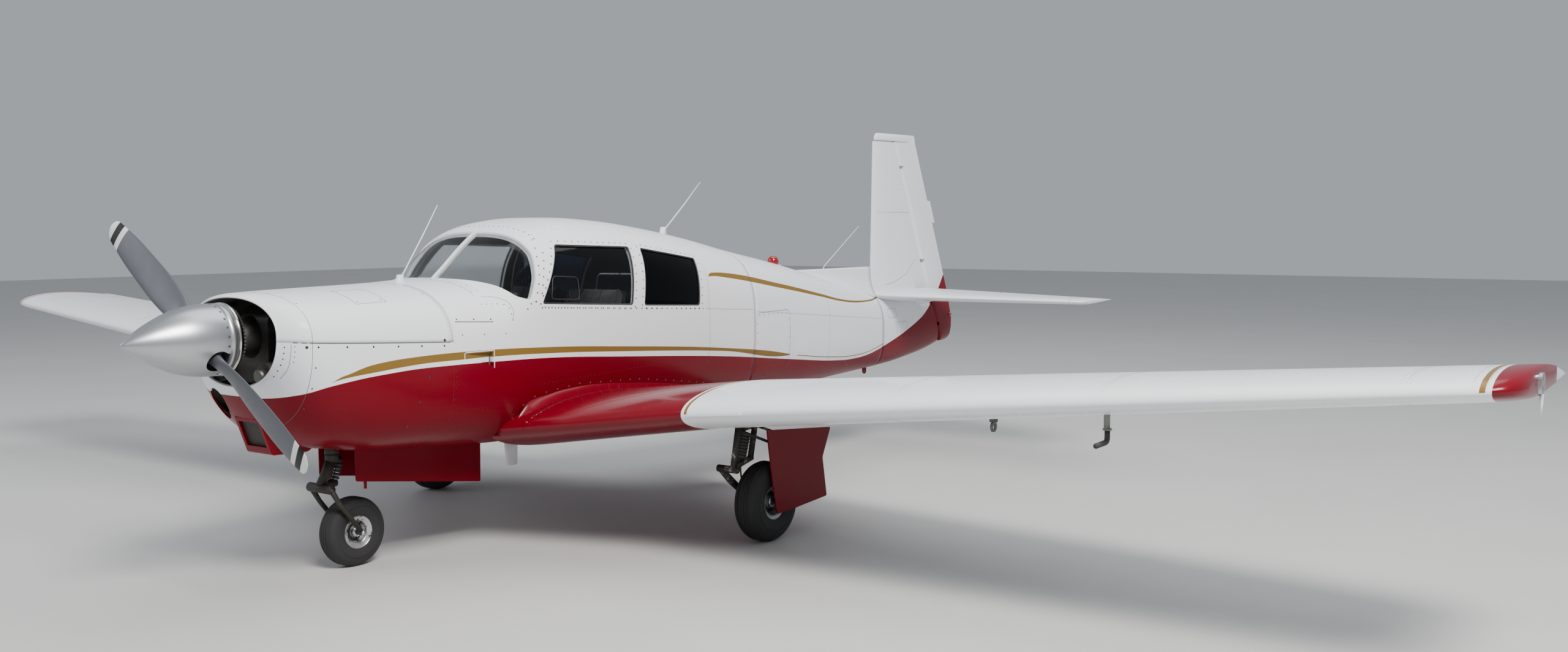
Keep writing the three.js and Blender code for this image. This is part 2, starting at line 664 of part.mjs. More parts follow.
// Lifting surfaces share one section: a cambered or plain aerofoil given by its chord steps
const CHORD_STEPS = [0, 0.008, 0.035, 0.09, 0.18, 0.3, 0.45, 0.62, 0.8, 1];
const EDGE_THICKNESS = 3;

function aerofoil(chord, thickness, camber, grow = 0) {
  const half = (x) => {
    const shape = 0.2969 * Math.sqrt(x) - 0.126 * x - 0.3516 * x ** 2 + 0.2843 * x ** 3 - 0.1036 * x ** 4;
    return Math.max(0.5, grow + Math.max(EDGE_THICKNESS / 2, 5 * thickness * chord * shape));
  };
  const mean = (x) => 4 * camber * chord * x * (1 - x);
  const upper = CHORD_STEPS.map((x) => [x * chord, mean(x) + (x === 0 ? 0 : half(x))]);
  const lower = CHORD_STEPS.slice(1).map((x) => [x * chord, mean(x) - half(x)]);
  return [...upper.reverse(), ...lower];
}

function wingRing({ x, lead, height, chord, thickness, camber = 0, pitch = 0 }, grow = 0) {
  const slope = THREE.MathUtils.degToRad(pitch);
  return aerofoil(chord + 2 * grow, thickness, camber, grow).map(([back, up]) => spot(
    x,
    lead - grow + back * Math.cos(slope) + up * Math.sin(slope),
    height - back * Math.sin(slope) + up * Math.cos(slope),
  ));
}

// Wing: straight leading edge with a swept glove at the root, trailing edge swept forward
const WING_LEAD = 2130;
const WING_TRAIL_ROOT = 4050;
const TRAIL_SWEEP = 0.1772;
const trailAt = (x) => WING_TRAIL_ROOT - TRAIL_SWEEP * x;
const heightAt = (x) => 660 + 0.0963 * x;
// x, leading edge station, leading edge height, thickness in the middle, pitch in degrees
const WING_TABLE = [
  [380, 1830, 668, 0.132, 2.4],
  [620, 1895, 696, 0.132, 2.4],
  [1000, 2010, 742, 0.136, 2.3],
  [1500, WING_LEAD, heightAt(1500), 0.143, 2.1],
  [3320, WING_LEAD, heightAt(3320), 0.135, 1.6],
  [5180, WING_LEAD, heightAt(5180), 0.122, 1],
  [5270, 2155, heightAt(5270), 0.123, 1],
  [5310, 2200, heightAt(5310), 0.127, 1],
  [5328, 2250, heightAt(5328), 0.128, 1],
  [HALF_SPAN, 2300, heightAt(HALF_SPAN), 0.115, 1],
];
const WING_CAMBER = 0.018;
const wingSections = WING_TABLE.map(([x, lead, height, thickness, pitch]) => ({
  x, lead, height, thickness, pitch, camber: WING_CAMBER, chord: trailAt(x) - lead,
}));

// Control surfaces hinge about a rounded nose
const hingeLine = (x) => WING_LEAD + 0.76 * (trailAt(x) - WING_LEAD);
const hingeRadius = (x) => 57 - 0.0068 * x;
const HINGE_RISE = { atRoot: 696.8, slope: 0.1047 };
const hingeHeight = (x) => HINGE_RISE.atRoot + HINGE_RISE.slope * (x - 700);
const FLAP_SPAN = [700, 3290];
const AILERON_SPAN = [3303, 5326];
const BRACKET = { half: 4, slot: 13, pin: 4, boss: 10 };
const ALL_HEIGHTS = [300, 1700];
const BEHIND_WING = 4300;
const BRACKET_SHARES = [0.12, 0.5, 0.88];

function hingePoint(x) {
  return [x, hingeLine(x), hingeHeight(x)];
}

// The cutter that clears the wing ahead of a surface, and the surface itself with its slots and pins
function controlSurface(wing, [x0, x1]) {
  const plan = (inner, outer, ahead) => [
    [inner, hingeLine(inner) - ahead(inner)], [outer, hingeLine(outer) - ahead(outer)],
    [outer, BEHIND_WING], [inner, BEHIND_WING],
  ];
  const clearance = plan(x0 - END_GAP, x1 + END_GAP, (x) => hingeRadius(x) + MOVING_GAP);
  const cutter = planPrism(clearance, ...ALL_HEIGHTS);
  const aft = wing.intersect(planPrism(plan(x0, x1, () => 0), ...ALL_HEIGHTS));
  const nose = rod(hingePoint(x0 - 20), hingePoint(x1 + 20), hingeRadius(x0) - 4, 16, hingeRadius(x1) - 4)
    .intersect(block(x0, x1, 2000, BEHIND_WING, ...ALL_HEIGHTS));
  const brackets = [];
  let surface = aft.add(nose);
  BRACKET_SHARES.forEach((share) => {
    const x = x0 + (x1 - x0) * share;
    const [, station, height] = hingePoint(x);
    const size = hingeRadius(x) + 30;
    const slotEnd = station + BRACKET.boss + MOVING_GAP;
    const [side0, side1] = [x - BRACKET.slot, x + BRACKET.slot];
    const slot = block(side0, side1, station - size, slotEnd, height - size, height + size);
    const pin = rod(hingePoint(x - BRACKET.slot - 4), hingePoint(x + BRACKET.slot + 4), BRACKET.pin, 6);
    surface = surface.subtract(slot).add(pin);
    const [near, far] = [x - BRACKET.half, x + BRACKET.half];
    const arm = block(near, far, station - hingeRadius(x) - 40, station, height - 8, height + 8);
    const boss = rod([near, station, height], [far, station, height], BRACKET.boss);
    const hole = rod(hingePoint(x - 12), hingePoint(x + 12), BRACKET.pin + 0.6);
    brackets.push(arm.add(boss).subtract(hole));
  });
  return { cutter, surface, brackets };
}

// The main gear's pocket in the lower skin, and the socket for a tie-down ring or a jack pad
const WHEEL_WELL = { x0: 760, x1: 1420, station0: 2700, station1: 3080, roof: 750 };
const TIE_DOWN = { x: 2950, station: 2700, radius: 22 };

function buildWings() {
  const full = loft(wingSections.map((section) => wingRing(section)));
  const flap = controlSurface(full, FLAP_SPAN);
  const aileron = controlSurface(full, AILERON_SPAN);
  const { x0, x1, station0, station1, roof } = WHEEL_WELL;
  const well = block(x0, x1, station0, station1, 500, roof);
  const { x, station, radius } = TIE_DOWN;
  const pad = rod([x, station, 820], [x, station, 905], radius, 16);
  const wing = joinAll([
    cutAll(full, [flap.cutter, aileron.cutter, well]),
    pad, ...flap.brackets, ...aileron.brackets,
  ]);
  addPart('wing_left', wing.subtract(cabinClear), PAINT.white);
  addPart('wing_right', mirrored(wing).subtract(cabinClear), PAINT.white);
  addPart('flap_left', flap.surface, PAINT.white);
  addPart('flap_right', mirrored(flap.surface), PAINT.white);
  addPart('aileron_left', aileron.surface, PAINT.white);
  addPart('aileron_right', mirrored(aileron.surface), PAINT.white);
  buildFillets();
}

// Root fairing: a concave strip in the corner between the wing's upper skin and the fuselage side
// station, inner x, height there, outer x, height of the wing there
const FILLET_TABLE = [
  [1885, 530, 712, 590, 690],
  [1960, 530, 800, 620, 752],
  [2120, 535, 846, 630, 806],
  [2350, 540, 870, 635, 833],
  [2860, 520, 850, 625, 816],
  [3160, 500, 815, 610, 780],
  [3530, 445, 765, 575, 714],
  [3800, 380, 708, 535, 652],
];
const FILLET_DEPTH = 22;
const FILLET_SHEET = 40;

function filletRing([station, inner, top, outer, wing]) {
  const at = (share, rise) => spot(outer - (outer - inner) * share, station, wing + (top - wing) * rise);
  return [
    spot(inner - FILLET_SHEET, station, wing - FILLET_DEPTH),
    spot(outer - FILLET_SHEET, station, wing - FILLET_DEPTH),
    at(0, -0.1), at(0.45, 0.2), at(0.75, 0.5), at(0.92, 0.85),
    spot(inner - FILLET_SHEET, station, top + 12),
  ];
}

function buildFillets() {
  const clearWing = loft(wingSections.slice(0, 5).map((section) => wingRing(section, SEAT_GAP)));
  const whole = loft(FILLET_TABLE.map(filletRing)).subtract(clearWing);
  addPart('wing_fillet_left', largest(whole.subtract(cabinClear)), PAINT.red);
  addPart('wing_fillet_right', largest(mirrored(whole).subtract(cabinClear)), PAINT.red);
}

// Main gear: a welded tube leg, a trailing arm and the axle, with the door panel on struts outboard
const GEAR_DOOR = [
  [2842, 640], [3448, 590], [3368, 425], [3410, 195], [3110, 172], [2932, 163], [2890, 353],
];
// station and height on the leg, station and height on the door
const GEAR_DOOR_STRUTS = [[2745, 640, 2900, 560], [2895, 650, 3100, 560]];

function buildMainGear() {
  const { x, station, radius } = MAIN_WHEEL;
  const inboard = x - 118;
  const leg = joinAll([
    rod([x - 25, 2765, 742], [x - 25, 2700, 430], 19),
    rod([x - 25, 2915, 742], [x - 25, 2850, 470], 17),
    rod([x - 25, 2735, 742], [x - 25, 2945, 742], 20),
    rod([x - 25, 2745, 640], [x - 25, 2895, 650], 12),
    rod([x - 25, 2700, 440], [x - 25, 2860, 478], 17),
    rod([x - 25, 2745, 488], [x - 25, 2790, 620], 42, 10),
    rod([x + 5, 2700, 430], [inboard - 12, 2700, 430], 20),
    rod([inboard, 2700, 430], [inboard, station, radius], 17),
    rod([inboard - 14, station, radius], [x + 52, station, radius], 20, 10),
    rod([inboard + 22, station, radius], [inboard + 30, station, radius], 62, 12),
  ]);
  const wing = loft(wingSections.slice(0, 5).map((section) => wingRing(section, SEAT_GAP)));
  const { x0, x1, station0, station1, roof } = WHEEL_WELL;
  const pocket = block(x0 + 1, x1 - SEAT_GAP, station0 + SEAT_GAP, station1 - 1, 400, roof - SEAT_GAP);
  const legBody = largest(leg.subtract(wing.subtract(pocket)));
  addPart('gear_leg_left', legBody, PAINT.gear);
  addPart('gear_leg_right', mirrored(legBody), PAINT.gear);

  const panelX = x + 92;
  const panel = sidePrism(plainShape(GEAR_DOOR), panelX, panelX + 8);
  const struts = GEAR_DOOR_STRUTS.map(([legStation, legZ, doorStation, doorZ]) => rod(
    [x - 25, legStation, legZ],
    [panelX + 2, doorStation, doorZ],
    8,
    8,
  ));
  const grownLeg = joinAll([
    rod([x - 25, 2765, 742], [x - 25, 2700, 430], 19 + SEAT_GAP),
    rod([x - 25, 2915, 742], [x - 25, 2850, 470], 17 + SEAT_GAP),
    rod([x - 25, 2740, 640], [x - 25, 2900, 650], 12 + SEAT_GAP),
    rod([x - 25, 2745, 488], [x - 25, 2790, 620], 42 + SEAT_GAP * 2, 10),
  ]);
  const doorBody = largest(joinAll([panel, ...struts]).subtract(grownLeg).subtract(wing));
  addPart('gear_door_left', doorBody, PAINT.red);
  addPart('gear_door_right', mirrored(doorBody), PAINT.red);
}

// Wheels: a rubber tyre round a cast hub that runs on the axle

function tyreProfile({ radius, halfWidth, bead }) {
  const middle = (bead + radius) / 2;
  const side = [[bead, 0.62], [bead + 20, 0.9], [middle, 1], [radius - 18, 0.8], [radius, 0.3]];
  const far = side.map(([r, width]) => [r, -width * halfWidth]);
  const near = side.map(([r, width]) => [r, width * halfWidth]);
  return [...far, ...near.reverse(), far[0]];
}

function hubProfile({ halfWidth, bead }, bore) {
  const seat = bead - SEAT_GAP;
  const edge = halfWidth * 0.62;
  return [
    [bore, -edge * 0.9], [bore + 12, -edge * 0.9], [bore + 15, -edge * 0.45],
    [seat - 9, -edge * 0.35], [seat - 4, -edge], [seat, -edge],
    [seat, edge], [seat - 4, edge], [seat - 9, edge * 0.35],
    [bore + 15, edge * 0.45], [bore + 12, edge * 0.9], [bore, edge * 0.9],
    [bore, -edge * 0.9],
  ];
}

function buildWheels() {
  const wheels = [
    ['nose_wheel', NOSE_WHEEL, 15],
    ['main_wheel_left', MAIN_WHEEL, 20],
    ['main_wheel_right', { ...MAIN_WHEEL, x: -MAIN_WHEEL.x }, 20],
  ];
  wheels.forEach(([name, wheel, axle]) => {
    addPart(`${name}_tyre`, turnedOnX(tyreProfile(wheel), wheel, 32), PAINT.tyre);
    addPart(`${name}_hub`, turnedOnX(hubProfile(wheel, axle + SEAT_GAP * 1.5), wheel, 16), PAINT.gear);
  });
}

// Nose gear: a fixed trunnion under the engine mount, and a steered leg with a trailing fork
const STEERING_SPLIT = 600;
const NOSE_DOOR = { outline: [[1140, 640], [1975, 590], [1972, 348], [1142, 466]], inner: 147, outer: 152 };

function buildNoseGear() {
  const { station, radius, halfWidth } = NOSE_WHEEL;
  const armX = halfWidth + 20;
  const mountEnd = FIREWALL - SEAT_GAP;
  const trunnion = joinAll([
    rod([0, STEERING_STATION, STEERING_SPLIT], [0, STEERING_STATION, 760], 34, 10),
    rod([-120, STEERING_STATION, 740], [120, STEERING_STATION, 740], 10),
    ...[-1, 1].map((side) => rod([side * 110, STEERING_STATION, 740], [side * 200, mountEnd, 800], 14, 8)),
  ]);
  addPart('nose_gear_trunnion', trunnion.subtract(slice(mountEnd, mountEnd + 60)), PAINT.gear);
  const fork = joinAll([
    rod([0, STEERING_STATION, STEERING_SPLIT - SEAT_GAP], [0, STEERING_STATION, 560], 34, 10),
    rod([0, STEERING_STATION, 575], [0, 1040, 440], 26),
    rod([0, STEERING_STATION + 45, 560], [0, 1120, 452], 18),
    rod([0, STEERING_STATION, 570], [0, STEERING_STATION + 50, 560], 20),
    rod([-armX - 6, 1040, 430], [armX + 6, 1040, 430], 24),
    rod([0, 1040, 440], [0, 1130, 450], 22),
    ...[-1, 1].map((side) => rod([side * armX, 1040, 430], [side * armX, station, radius], 12)),
    rod([-armX - 12, station, radius], [armX + 12, station, radius], 15, 10),
  ]);
  addPart('nose_gear_fork', fork, PAINT.gear);
  const bellySections = [...COWL_SECTIONS.slice(3, -1), ...CABIN_SECTIONS.slice(0, 4)];
  const belly = fuselageBody(bellySections, -SEAT_GAP, RING_POINTS);
  const panel = sidePrism(roundedShape(NOSE_DOOR.outline, 12), NOSE_DOOR.inner, NOSE_DOOR.outer);
  addPart('nose_gear_door_left', panel.subtract(belly), PAINT.red);
  addPart('nose_gear_door_right', mirrored(panel).subtract(belly), PAINT.red);
}

// Tailplane and elevators
const stabHinge = (x) => 6805 - 0.225 * x;
const stabRadius = (x) => 40 - 0.0115 * x;
const STAB_SPAN = 1682;
const HORN_START = 1690;
const ELEVATOR_ROOT = 90;
const ELEVATOR_BRACKETS = [250, 900, 1550];
const TAIL_HALF_SPAN = 1790;
const STAB_LEAD = 6150;
const STAB_THICKNESS = 0.088;
const stabTrail = (x) => 7215 - 0.32 * Math.abs(x);

function stabSection(x, lead = STAB_LEAD, thickness = STAB_THICKNESS) {
  return { x, lead, height: STAB_HEIGHT, chord: stabTrail(x) - lead, thickness };
}

const stabSections = [-STAB_SPAN, 0, STAB_SPAN].map((x) => stabSection(x));

// Heights that clear the tailplane, for cutting
const TAIL_HEIGHTS = [1000, 1400];
// The tailplane is sheet over ribs, open at the back where the elevators hinge
const STAB_BAYS = [[120, 225], [275, 875], [925, 1525], [1575, 1650]];
const FIN_BAYS = [[1290, 1425], [1475, 2175], [2225, 2370]];

function buildTailplane() {
  const [left, middle, right] = [-STAB_SPAN, 0, STAB_SPAN]
    .map((x) => [x, stabHinge(Math.abs(x)) - stabRadius(Math.abs(x)) - MOVING_GAP]);
  const tip = left[1] - 71;
  const front = [[-2000, 6000], [2000, 6000], [2000, tip], right, middle, left, [-2000, tip]];
  const keep = planPrism(front, ...TAIL_HEIGHTS);
  const solidPlane = loft(stabSections.map((section) => wingRing(section))).intersect(keep);
  const inside = loft(stabSections.map((section) => wingRing(section, -TAIL_WALL)));
  const plane = cutAll(solidPlane, STAB_BAYS.flatMap(([x0, x1]) => [[x0, x1], [-x1, -x0]])
    .map(([x0, x1]) => inside.intersect(block(x0, x1, 6200, 7000, ...TAIL_HEIGHTS))));

  const elevatorRows = [
    stabSection(60),
    stabSection(STAB_SPAN),
    stabSection(TAIL_HALF_SPAN - 25, 6160, 0.08),
    stabSection(TAIL_HALF_SPAN, 6200, 0.04),
  ];
  const whole = loft(elevatorRows.map((section) => wingRing(section)));
  const outline = [
    [ELEVATOR_ROOT, stabHinge(ELEVATOR_ROOT)], [HORN_START, stabHinge(HORN_START)],
    [HORN_START, 6000], [2000, 6000], [2000, 7400], [178, 7400], [178, 7180], [120, 6990],
  ];
  const onHinge = (x) => [x, stabHinge(x), STAB_HEIGHT];
  const noseEnds = [onHinge(ELEVATOR_ROOT), [HORN_START + 6, stabHinge(HORN_START), STAB_HEIGHT]];
  const nose = rod(...noseEnds, stabRadius(ELEVATOR_ROOT), 18, stabRadius(HORN_START));
  let elevator = whole.intersect(planPrism(outline, ...TAIL_HEIGHTS)).add(nose);
  const brackets = [];
  ELEVATOR_BRACKETS.forEach((x) => {
    const station = stabHinge(x);
    const size = stabRadius(x) + 20;
    const slot = block(x - 12, x + 12, station - size, station + 16, STAB_HEIGHT - size, STAB_HEIGHT + size);
    const pin = rod(onHinge(x - 15), onHinge(x + 15), BRACKET.pin, 6);
    elevator = elevator.subtract(slot).add(pin);
    const arm = block(x - 4, x + 4, station - stabRadius(x) - 40, station, STAB_HEIGHT - 6, STAB_HEIGHT + 6);
    const boss = rod([x - 4, station, STAB_HEIGHT], [x + 4, station, STAB_HEIGHT], 9);
    const hole = rod(onHinge(x - 12), onHinge(x + 12), BRACKET.pin + 0.6);
    brackets.push(arm.add(boss).subtract(hole));
  });
  addPart('stabilizer', joinAll([plane, ...brackets, ...brackets.map(mirrored)]), PAINT.white);
  addPart('elevator_left', elevator, PAINT.white);
  addPart('elevator_right', mirrored(elevator), PAINT.white);
}

// Fin, rudder and the small tail body that carries them
const rudderHinge = (z) => RUDDER_FOOT.station - RUDDER_LEAN * (z - RUDDER_FOOT.height);
const rudderRadius = (z) => 44 - 0.0095 * (z - 800);
const rudderTrail = (z) => 7323 - 0.43 * (z - 1192);
const FIN_SEAM = 1262;
const FIN_TOP = 2395;
const FIN_THICKNESS = 0.085;

function finRing(z, grow = 0) {
  const lead = 6148 + 0.0288 * (z - 1420) - grow;
  const chord = rudderTrail(z) - lead + grow;
  return aerofoil(chord, FIN_THICKNESS, 0, grow).map(([back, side]) => spot(side, lead + back, z));
}

// height, station of the trailing edge, share of the full thickness
const RUDDER_LEVELS = [
  [775, 7265, 0.45], [790, 7330, 0.8], [825, 7378, 1], [880, LENGTH - 2, 1], [960, LENGTH, 1],
  [1192, 7323, 1], [2398, 6804, 1],
];
// height and share of the full size, for the balance horn at the top
const RUDDER_HORN = [[2408, 1], [2446, 0.8], [2462, 0.3]];
const RUDDER_BRACKETS = { body: [920], fin: [1450, 2200] };

function rudderRing([z, trail, share]) {
  const radius = rudderRadius(z) * share;
  const hinge = rudderHinge(z);
  const ring = [];
  for (let i = 0; i <= 10; i += 1) {
    const angle = Math.PI / 2 + (Math.PI * i) / 10;
    ring.push(spot(radius * Math.sin(angle), hinge + radius * Math.cos(angle), z));
  }
  ring.push(spot(-radius * 0.5, hinge + (trail - hinge) * 0.55, z));
  ring.push(spot(-2, trail, z), spot(2, trail, z));
  ring.push(spot(radius * 0.5, hinge + (trail - hinge) * 0.55, z));
  return ring;
}

// The room behind the fin and tail body in which the rudder turns
function rudderSpace() {
  const ahead = (z) => rudderHinge(z) - rudderRadius(z) - MOVING_GAP;
  const outline = [[ahead(500), 500], [ahead(2700), 2700], [7600, 2700], [7600, 500]];
  return sidePrism(plainShape(outline), -300, 300);
}

// The small body behind the tail joint, with the foot of the fin and a slot for the tailplane
function tailBody(finWhole, space) {
  const elevatorStart = stabHinge(0) - stabRadius(0) - MOVING_GAP;
  const elevatorSpace = block(-400, 400, elevatorStart - 0.5, 7300, 1128, FIN_SEAM)
    .subtract(block(-62, 62, 6000, LENGTH, ...TAIL_HEIGHTS));
  const stub = finWhole.intersect(block(-200, 200, 6000, LENGTH, 1000, FIN_SEAM - SEAT_GAP));
  const stabSlot = loft(stabSections.map((section) => wingRing(section, SEAT_GAP)))
    .intersect(block(-600, 600, 6000, elevatorStart + 0.4, ...TAIL_HEIGHTS));
  const { station, height } = TAIL_HINGE;
  const inside = fuselageBody(TAIL_SECTIONS, TAIL_WALL, LINING_POINTS, 1)
    .intersect(block(-200, 200, TAIL_FRONT - 5, 6780, 600, height - 60));
  const reach = LUG.reach + 6;
  const recesses = [-1, 1].map((side) => {
    const x0 = Math.min(side * (LUG.inner - 6), side * (LUG.outer + 6));
    return block(x0, x0 + 22, TAIL_FRONT - 5, station + reach, height - reach, height + reach);
  });
  const pins = [-1, 1].map((side) => rod(
    [side * (LUG.inner - 10), station, height],
    [side * (LUG.outer + 10), station, height],
    LUG.pin,
    8,
  ));
  const body = fuselageBody(TAIL_SECTIONS, 0, RING_POINTS).subtract(space).add(stub);
  return joinAll([cutAll(body, [stabSlot, elevatorSpace, inside, ...recesses]), ...pins]);
}

function rudderWhole() {
  const horn = loft(RUDDER_HORN.map(([z, share]) => {
    const lead = 6195 + (1 - share) * 60;
    const trail = 6800 - (1 - share) * 30;
    const outline = aerofoil(trail - lead, FIN_THICKNESS * share, 0);
    return outline.map(([back, side]) => spot(side, lead + back, z));
  }));
  const neck = [[rudderHinge(2380), 2380], [6795, 2380], [6790, 2420], [rudderHinge(2420), 2420]];
  return joinAll([loft(RUDDER_LEVELS.map(rudderRing)), horn, sidePrism(plainShape(neck), -8, 8)]);
}

// A rudder bracket at one height: the arm on the fixed part, the slot and the pin of the rudder
function rudderBracket(z) {
  const station = rudderHinge(z);
  const size = rudderRadius(z) + 20;
  const lean = (dz) => [0, rudderHinge(z + dz), z + dz];
  const slot = block(-size, size, station - size, station + 22, z - 14, z + 14);
  const pin = rod(lean(-18), lean(18), BRACKET.pin, 6);
  const plate = block(-7, 7, station - rudderRadius(z) - 40, station, z - 4, z + 4);
  const boss = rod([0, station, z - 4], [0, station, z + 4], 11);
  const arm = plate.add(boss).subtract(rod(lean(-12), lean(12), BRACKET.pin + 0.8));
  return { slot, pin, arm };
}

function buildTail() {
  const space = rudderSpace();
  const finWhole = loft([1120, 1500, 1900, FIN_TOP].map((z) => finRing(z))).subtract(space);
  const finInside = loft([1120, FIN_TOP].map((z) => finRing(z, -TAIL_WALL)));
  const fin = cutAll(
    finWhole.intersect(block(-200, 200, 6000, LENGTH, FIN_SEAM, 2600)),
    FIN_BAYS.map(([z0, z1]) => finInside.intersect(block(-200, 200, 6200, LENGTH, z0, z1))),
  );
  const onBody = RUDDER_BRACKETS.body.map(rudderBracket);
  const onFin = RUDDER_BRACKETS.fin.map(rudderBracket);
  const all = [...onBody, ...onFin];
  const rudder = cutAll(rudderWhole(), all.map((bracket) => bracket.slot));
  const body = tailBody(finWhole, space);
  addPart('tail_body', joinAll([body, ...onBody.map((bracket) => bracket.arm)]), PAINT.white);
  addPart('fin', joinAll([fin, ...onFin.map((bracket) => bracket.arm)]), PAINT.white);
  addPart('rudder', joinAll([rudder, ...all.map((bracket) => bracket.pin)]), PAINT.white);
}

// Exhaust pipe and the boarding step on the right side
function buildSmallParts() {
  const exhaust = rod([60, 1262, 1010], [100, 1300, 760], 27, 10)
    .add(rod([100, 1296, 772], [108, 1440, 560], 27, 10))
    .subtract(rod([104, 1380, 648], [110, 1470, 516], 23, 10))
    .subtract(block(0, 160, 1200, 1320, ENGINE_BOTTOM - SEAT_GAP, 1100));
  addPart('exhaust_pipe', exhaust, PAINT.steel);
  const step = joinAll([
    rod([-300, 3560, 640], [-420, 3620, 420], 12, 10),
    block(-470, -380, 3590, 3650, 408, 420),
  ]).subtract(fuselageBody(CABIN_SECTIONS, -SEAT_GAP, RING_POINTS));
  addPart('boarding_step', largest(step), PAINT.gear);
}

buildCowl();
buildEngine();
buildPropeller();
buildCabin();
buildInterior();
buildTailCone();
buildWings();
buildMainGear();
buildWheels();
buildNoseGear();
buildTailplane();
buildTail();
buildSmallParts();

export default root;
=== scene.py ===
import math

import bpy
import numpy as np
from mathutils import Matrix, Vector
from mathutils.bvhtree import BVHTree


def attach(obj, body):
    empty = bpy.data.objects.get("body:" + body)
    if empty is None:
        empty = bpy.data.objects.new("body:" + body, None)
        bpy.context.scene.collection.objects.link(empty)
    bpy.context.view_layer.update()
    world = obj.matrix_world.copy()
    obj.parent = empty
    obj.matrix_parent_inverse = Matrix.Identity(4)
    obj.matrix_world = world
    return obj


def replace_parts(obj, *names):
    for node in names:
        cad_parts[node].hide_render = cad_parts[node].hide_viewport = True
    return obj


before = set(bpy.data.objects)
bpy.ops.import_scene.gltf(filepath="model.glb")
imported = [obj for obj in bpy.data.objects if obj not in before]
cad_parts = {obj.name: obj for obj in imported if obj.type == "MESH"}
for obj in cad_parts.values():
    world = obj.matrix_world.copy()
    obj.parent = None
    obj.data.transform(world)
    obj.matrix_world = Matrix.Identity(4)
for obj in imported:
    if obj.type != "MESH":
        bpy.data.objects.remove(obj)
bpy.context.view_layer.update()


# Fuselage form and livery
# The body is sheet aluminium over frames. Every section is an upper and a lower rounded half that
# meet at the waist, and the skins of cowling, cabin and tail cone follow one smooth form.

NOSE_Y = -3.7          # part Y of the spinner's tip, where stations start
FIREWALL = 1.46
CONE_START = 4.10
CONE_END = 6.11
# station, half width, top, bottom, waist height, upper power, lower power
BODY_ROWS = [
    [0.560, 0.350, 1.425, 1.015, 1.250, 2.20, 2.3],
    [0.572, 0.372, 1.434, 0.960, 1.245, 2.20, 2.2],
    [0.600, 0.412, 1.439, 0.885, 1.238, 2.30, 2.1],
    [0.660, 0.462, 1.442, 0.790, 1.220, 2.40, 2.2],
    [0.760, 0.492, 1.445, 0.710, 1.190, 2.50, 2.5],
    [1.000, 0.525, 1.450, 0.645, 1.160, 2.60, 3.0],
    [FIREWALL, 0.545, 1.461, 0.600, 1.120, 2.60, 3.2],
    [1.790, 0.560, 1.476, 0.570, 1.150, 2.70, 3.2],
    [1.870, 0.563, 1.542, 0.566, 1.165, 2.75, 3.2],
    [1.980, 0.566, 1.636, 0.560, 1.190, 2.85, 3.2],
    [2.110, 0.568, 1.730, 0.556, 1.220, 3.00, 3.2],
    [2.350, 0.570, 1.792, 0.550, 1.245, 3.00, 3.2],
    [2.560, 0.570, 1.802, 0.550, 1.250, 3.00, 3.2],
    [2.860, 0.563, 1.788, 0.550, 1.248, 3.00, 3.2],
    [3.260, 0.540, 1.743, 0.552, 1.225, 2.90, 3.2],
    [3.690, 0.492, 1.677, 0.558, 1.180, 2.80, 3.1],
    [CONE_START, 0.440, 1.600, 0.567, 1.130, 2.70, 3.0],
    [4.620, 0.365, 1.512, 0.585, 1.080, 2.60, 2.9],
    [5.180, 0.285, 1.405, 0.606, 1.020, 2.50, 2.8],
    [5.650, 0.217, 1.310, 0.624, 0.970, 2.40, 2.6],
    [CONE_END, 0.150, 1.216, 0.642, 0.930, 2.30, 2.5],
]


def smooth_rows(rows, creases=()):
    """A smooth line through a table whose first column is the place along it; it may bend at the creases."""
    rows = np.array(rows, float)
    place, value = rows[:, 0], rows[:, 1:]
    leaving = np.gradient(value, place, axis=0)
    arriving = leaving.copy()
    for i, p in enumerate(place):
        if p in creases:
            arriving[i] = (value[i] - value[i - 1]) / (place[i] - place[i - 1])
            leaving[i] = (value[i + 1] - value[i]) / (place[i + 1] - place[i])

    def at(p):
        i = int(np.clip(np.searchsorted(place, p, side="right") - 1, 0, len(place) - 2))
        width = place[i + 1] - place[i]
        t = (p - place[i]) / width
        return (value[i] * (2 * t**3 - 3 * t**2 + 1) + leaving[i] * width * (t**3 - 2 * t**2 + t)
                + value[i + 1] * (3 * t**2 - 2 * t**3) + arriving[i + 1] * width * (t**3 - t**2))
    return at


body_at = smooth_rows(BODY_ROWS, creases=(0.572, 1.790))


def body_arc(station, start, end, count, inset=0.0, at=body_at):
    """Points of one body section from angle start to angle end, counted from +X over the top."""
    half, top, bottom, waist, upper, lower = at(station)
    angle = np.linspace(start, end, count)
    across, up = np.cos(angle), np.sin(angle)
    power = np.where(up >= 0, upper, lower)
    height = np.where(up >= 0, top - inset - waist, waist - bottom - inset)
    x = (half - inset) * np.sign(across) * np.abs(across) ** (2 / power)
    z = waist + height * np.sign(up) * np.abs(up) ** (2 / power)
    return np.stack([x, np.full(count, station + NOSE_Y), z], axis=1)


def steps(*places, spacing=0.06):
    """Stations from the first place to the last, through each one, about spacing apart."""
    found = [places[0]]
    for a, b in zip(places, places[1:]):
        n = max(1, round((b - a) / spacing))
        found += [a + (b - a) * (i + 1) / n for i in range(n)]
    return found


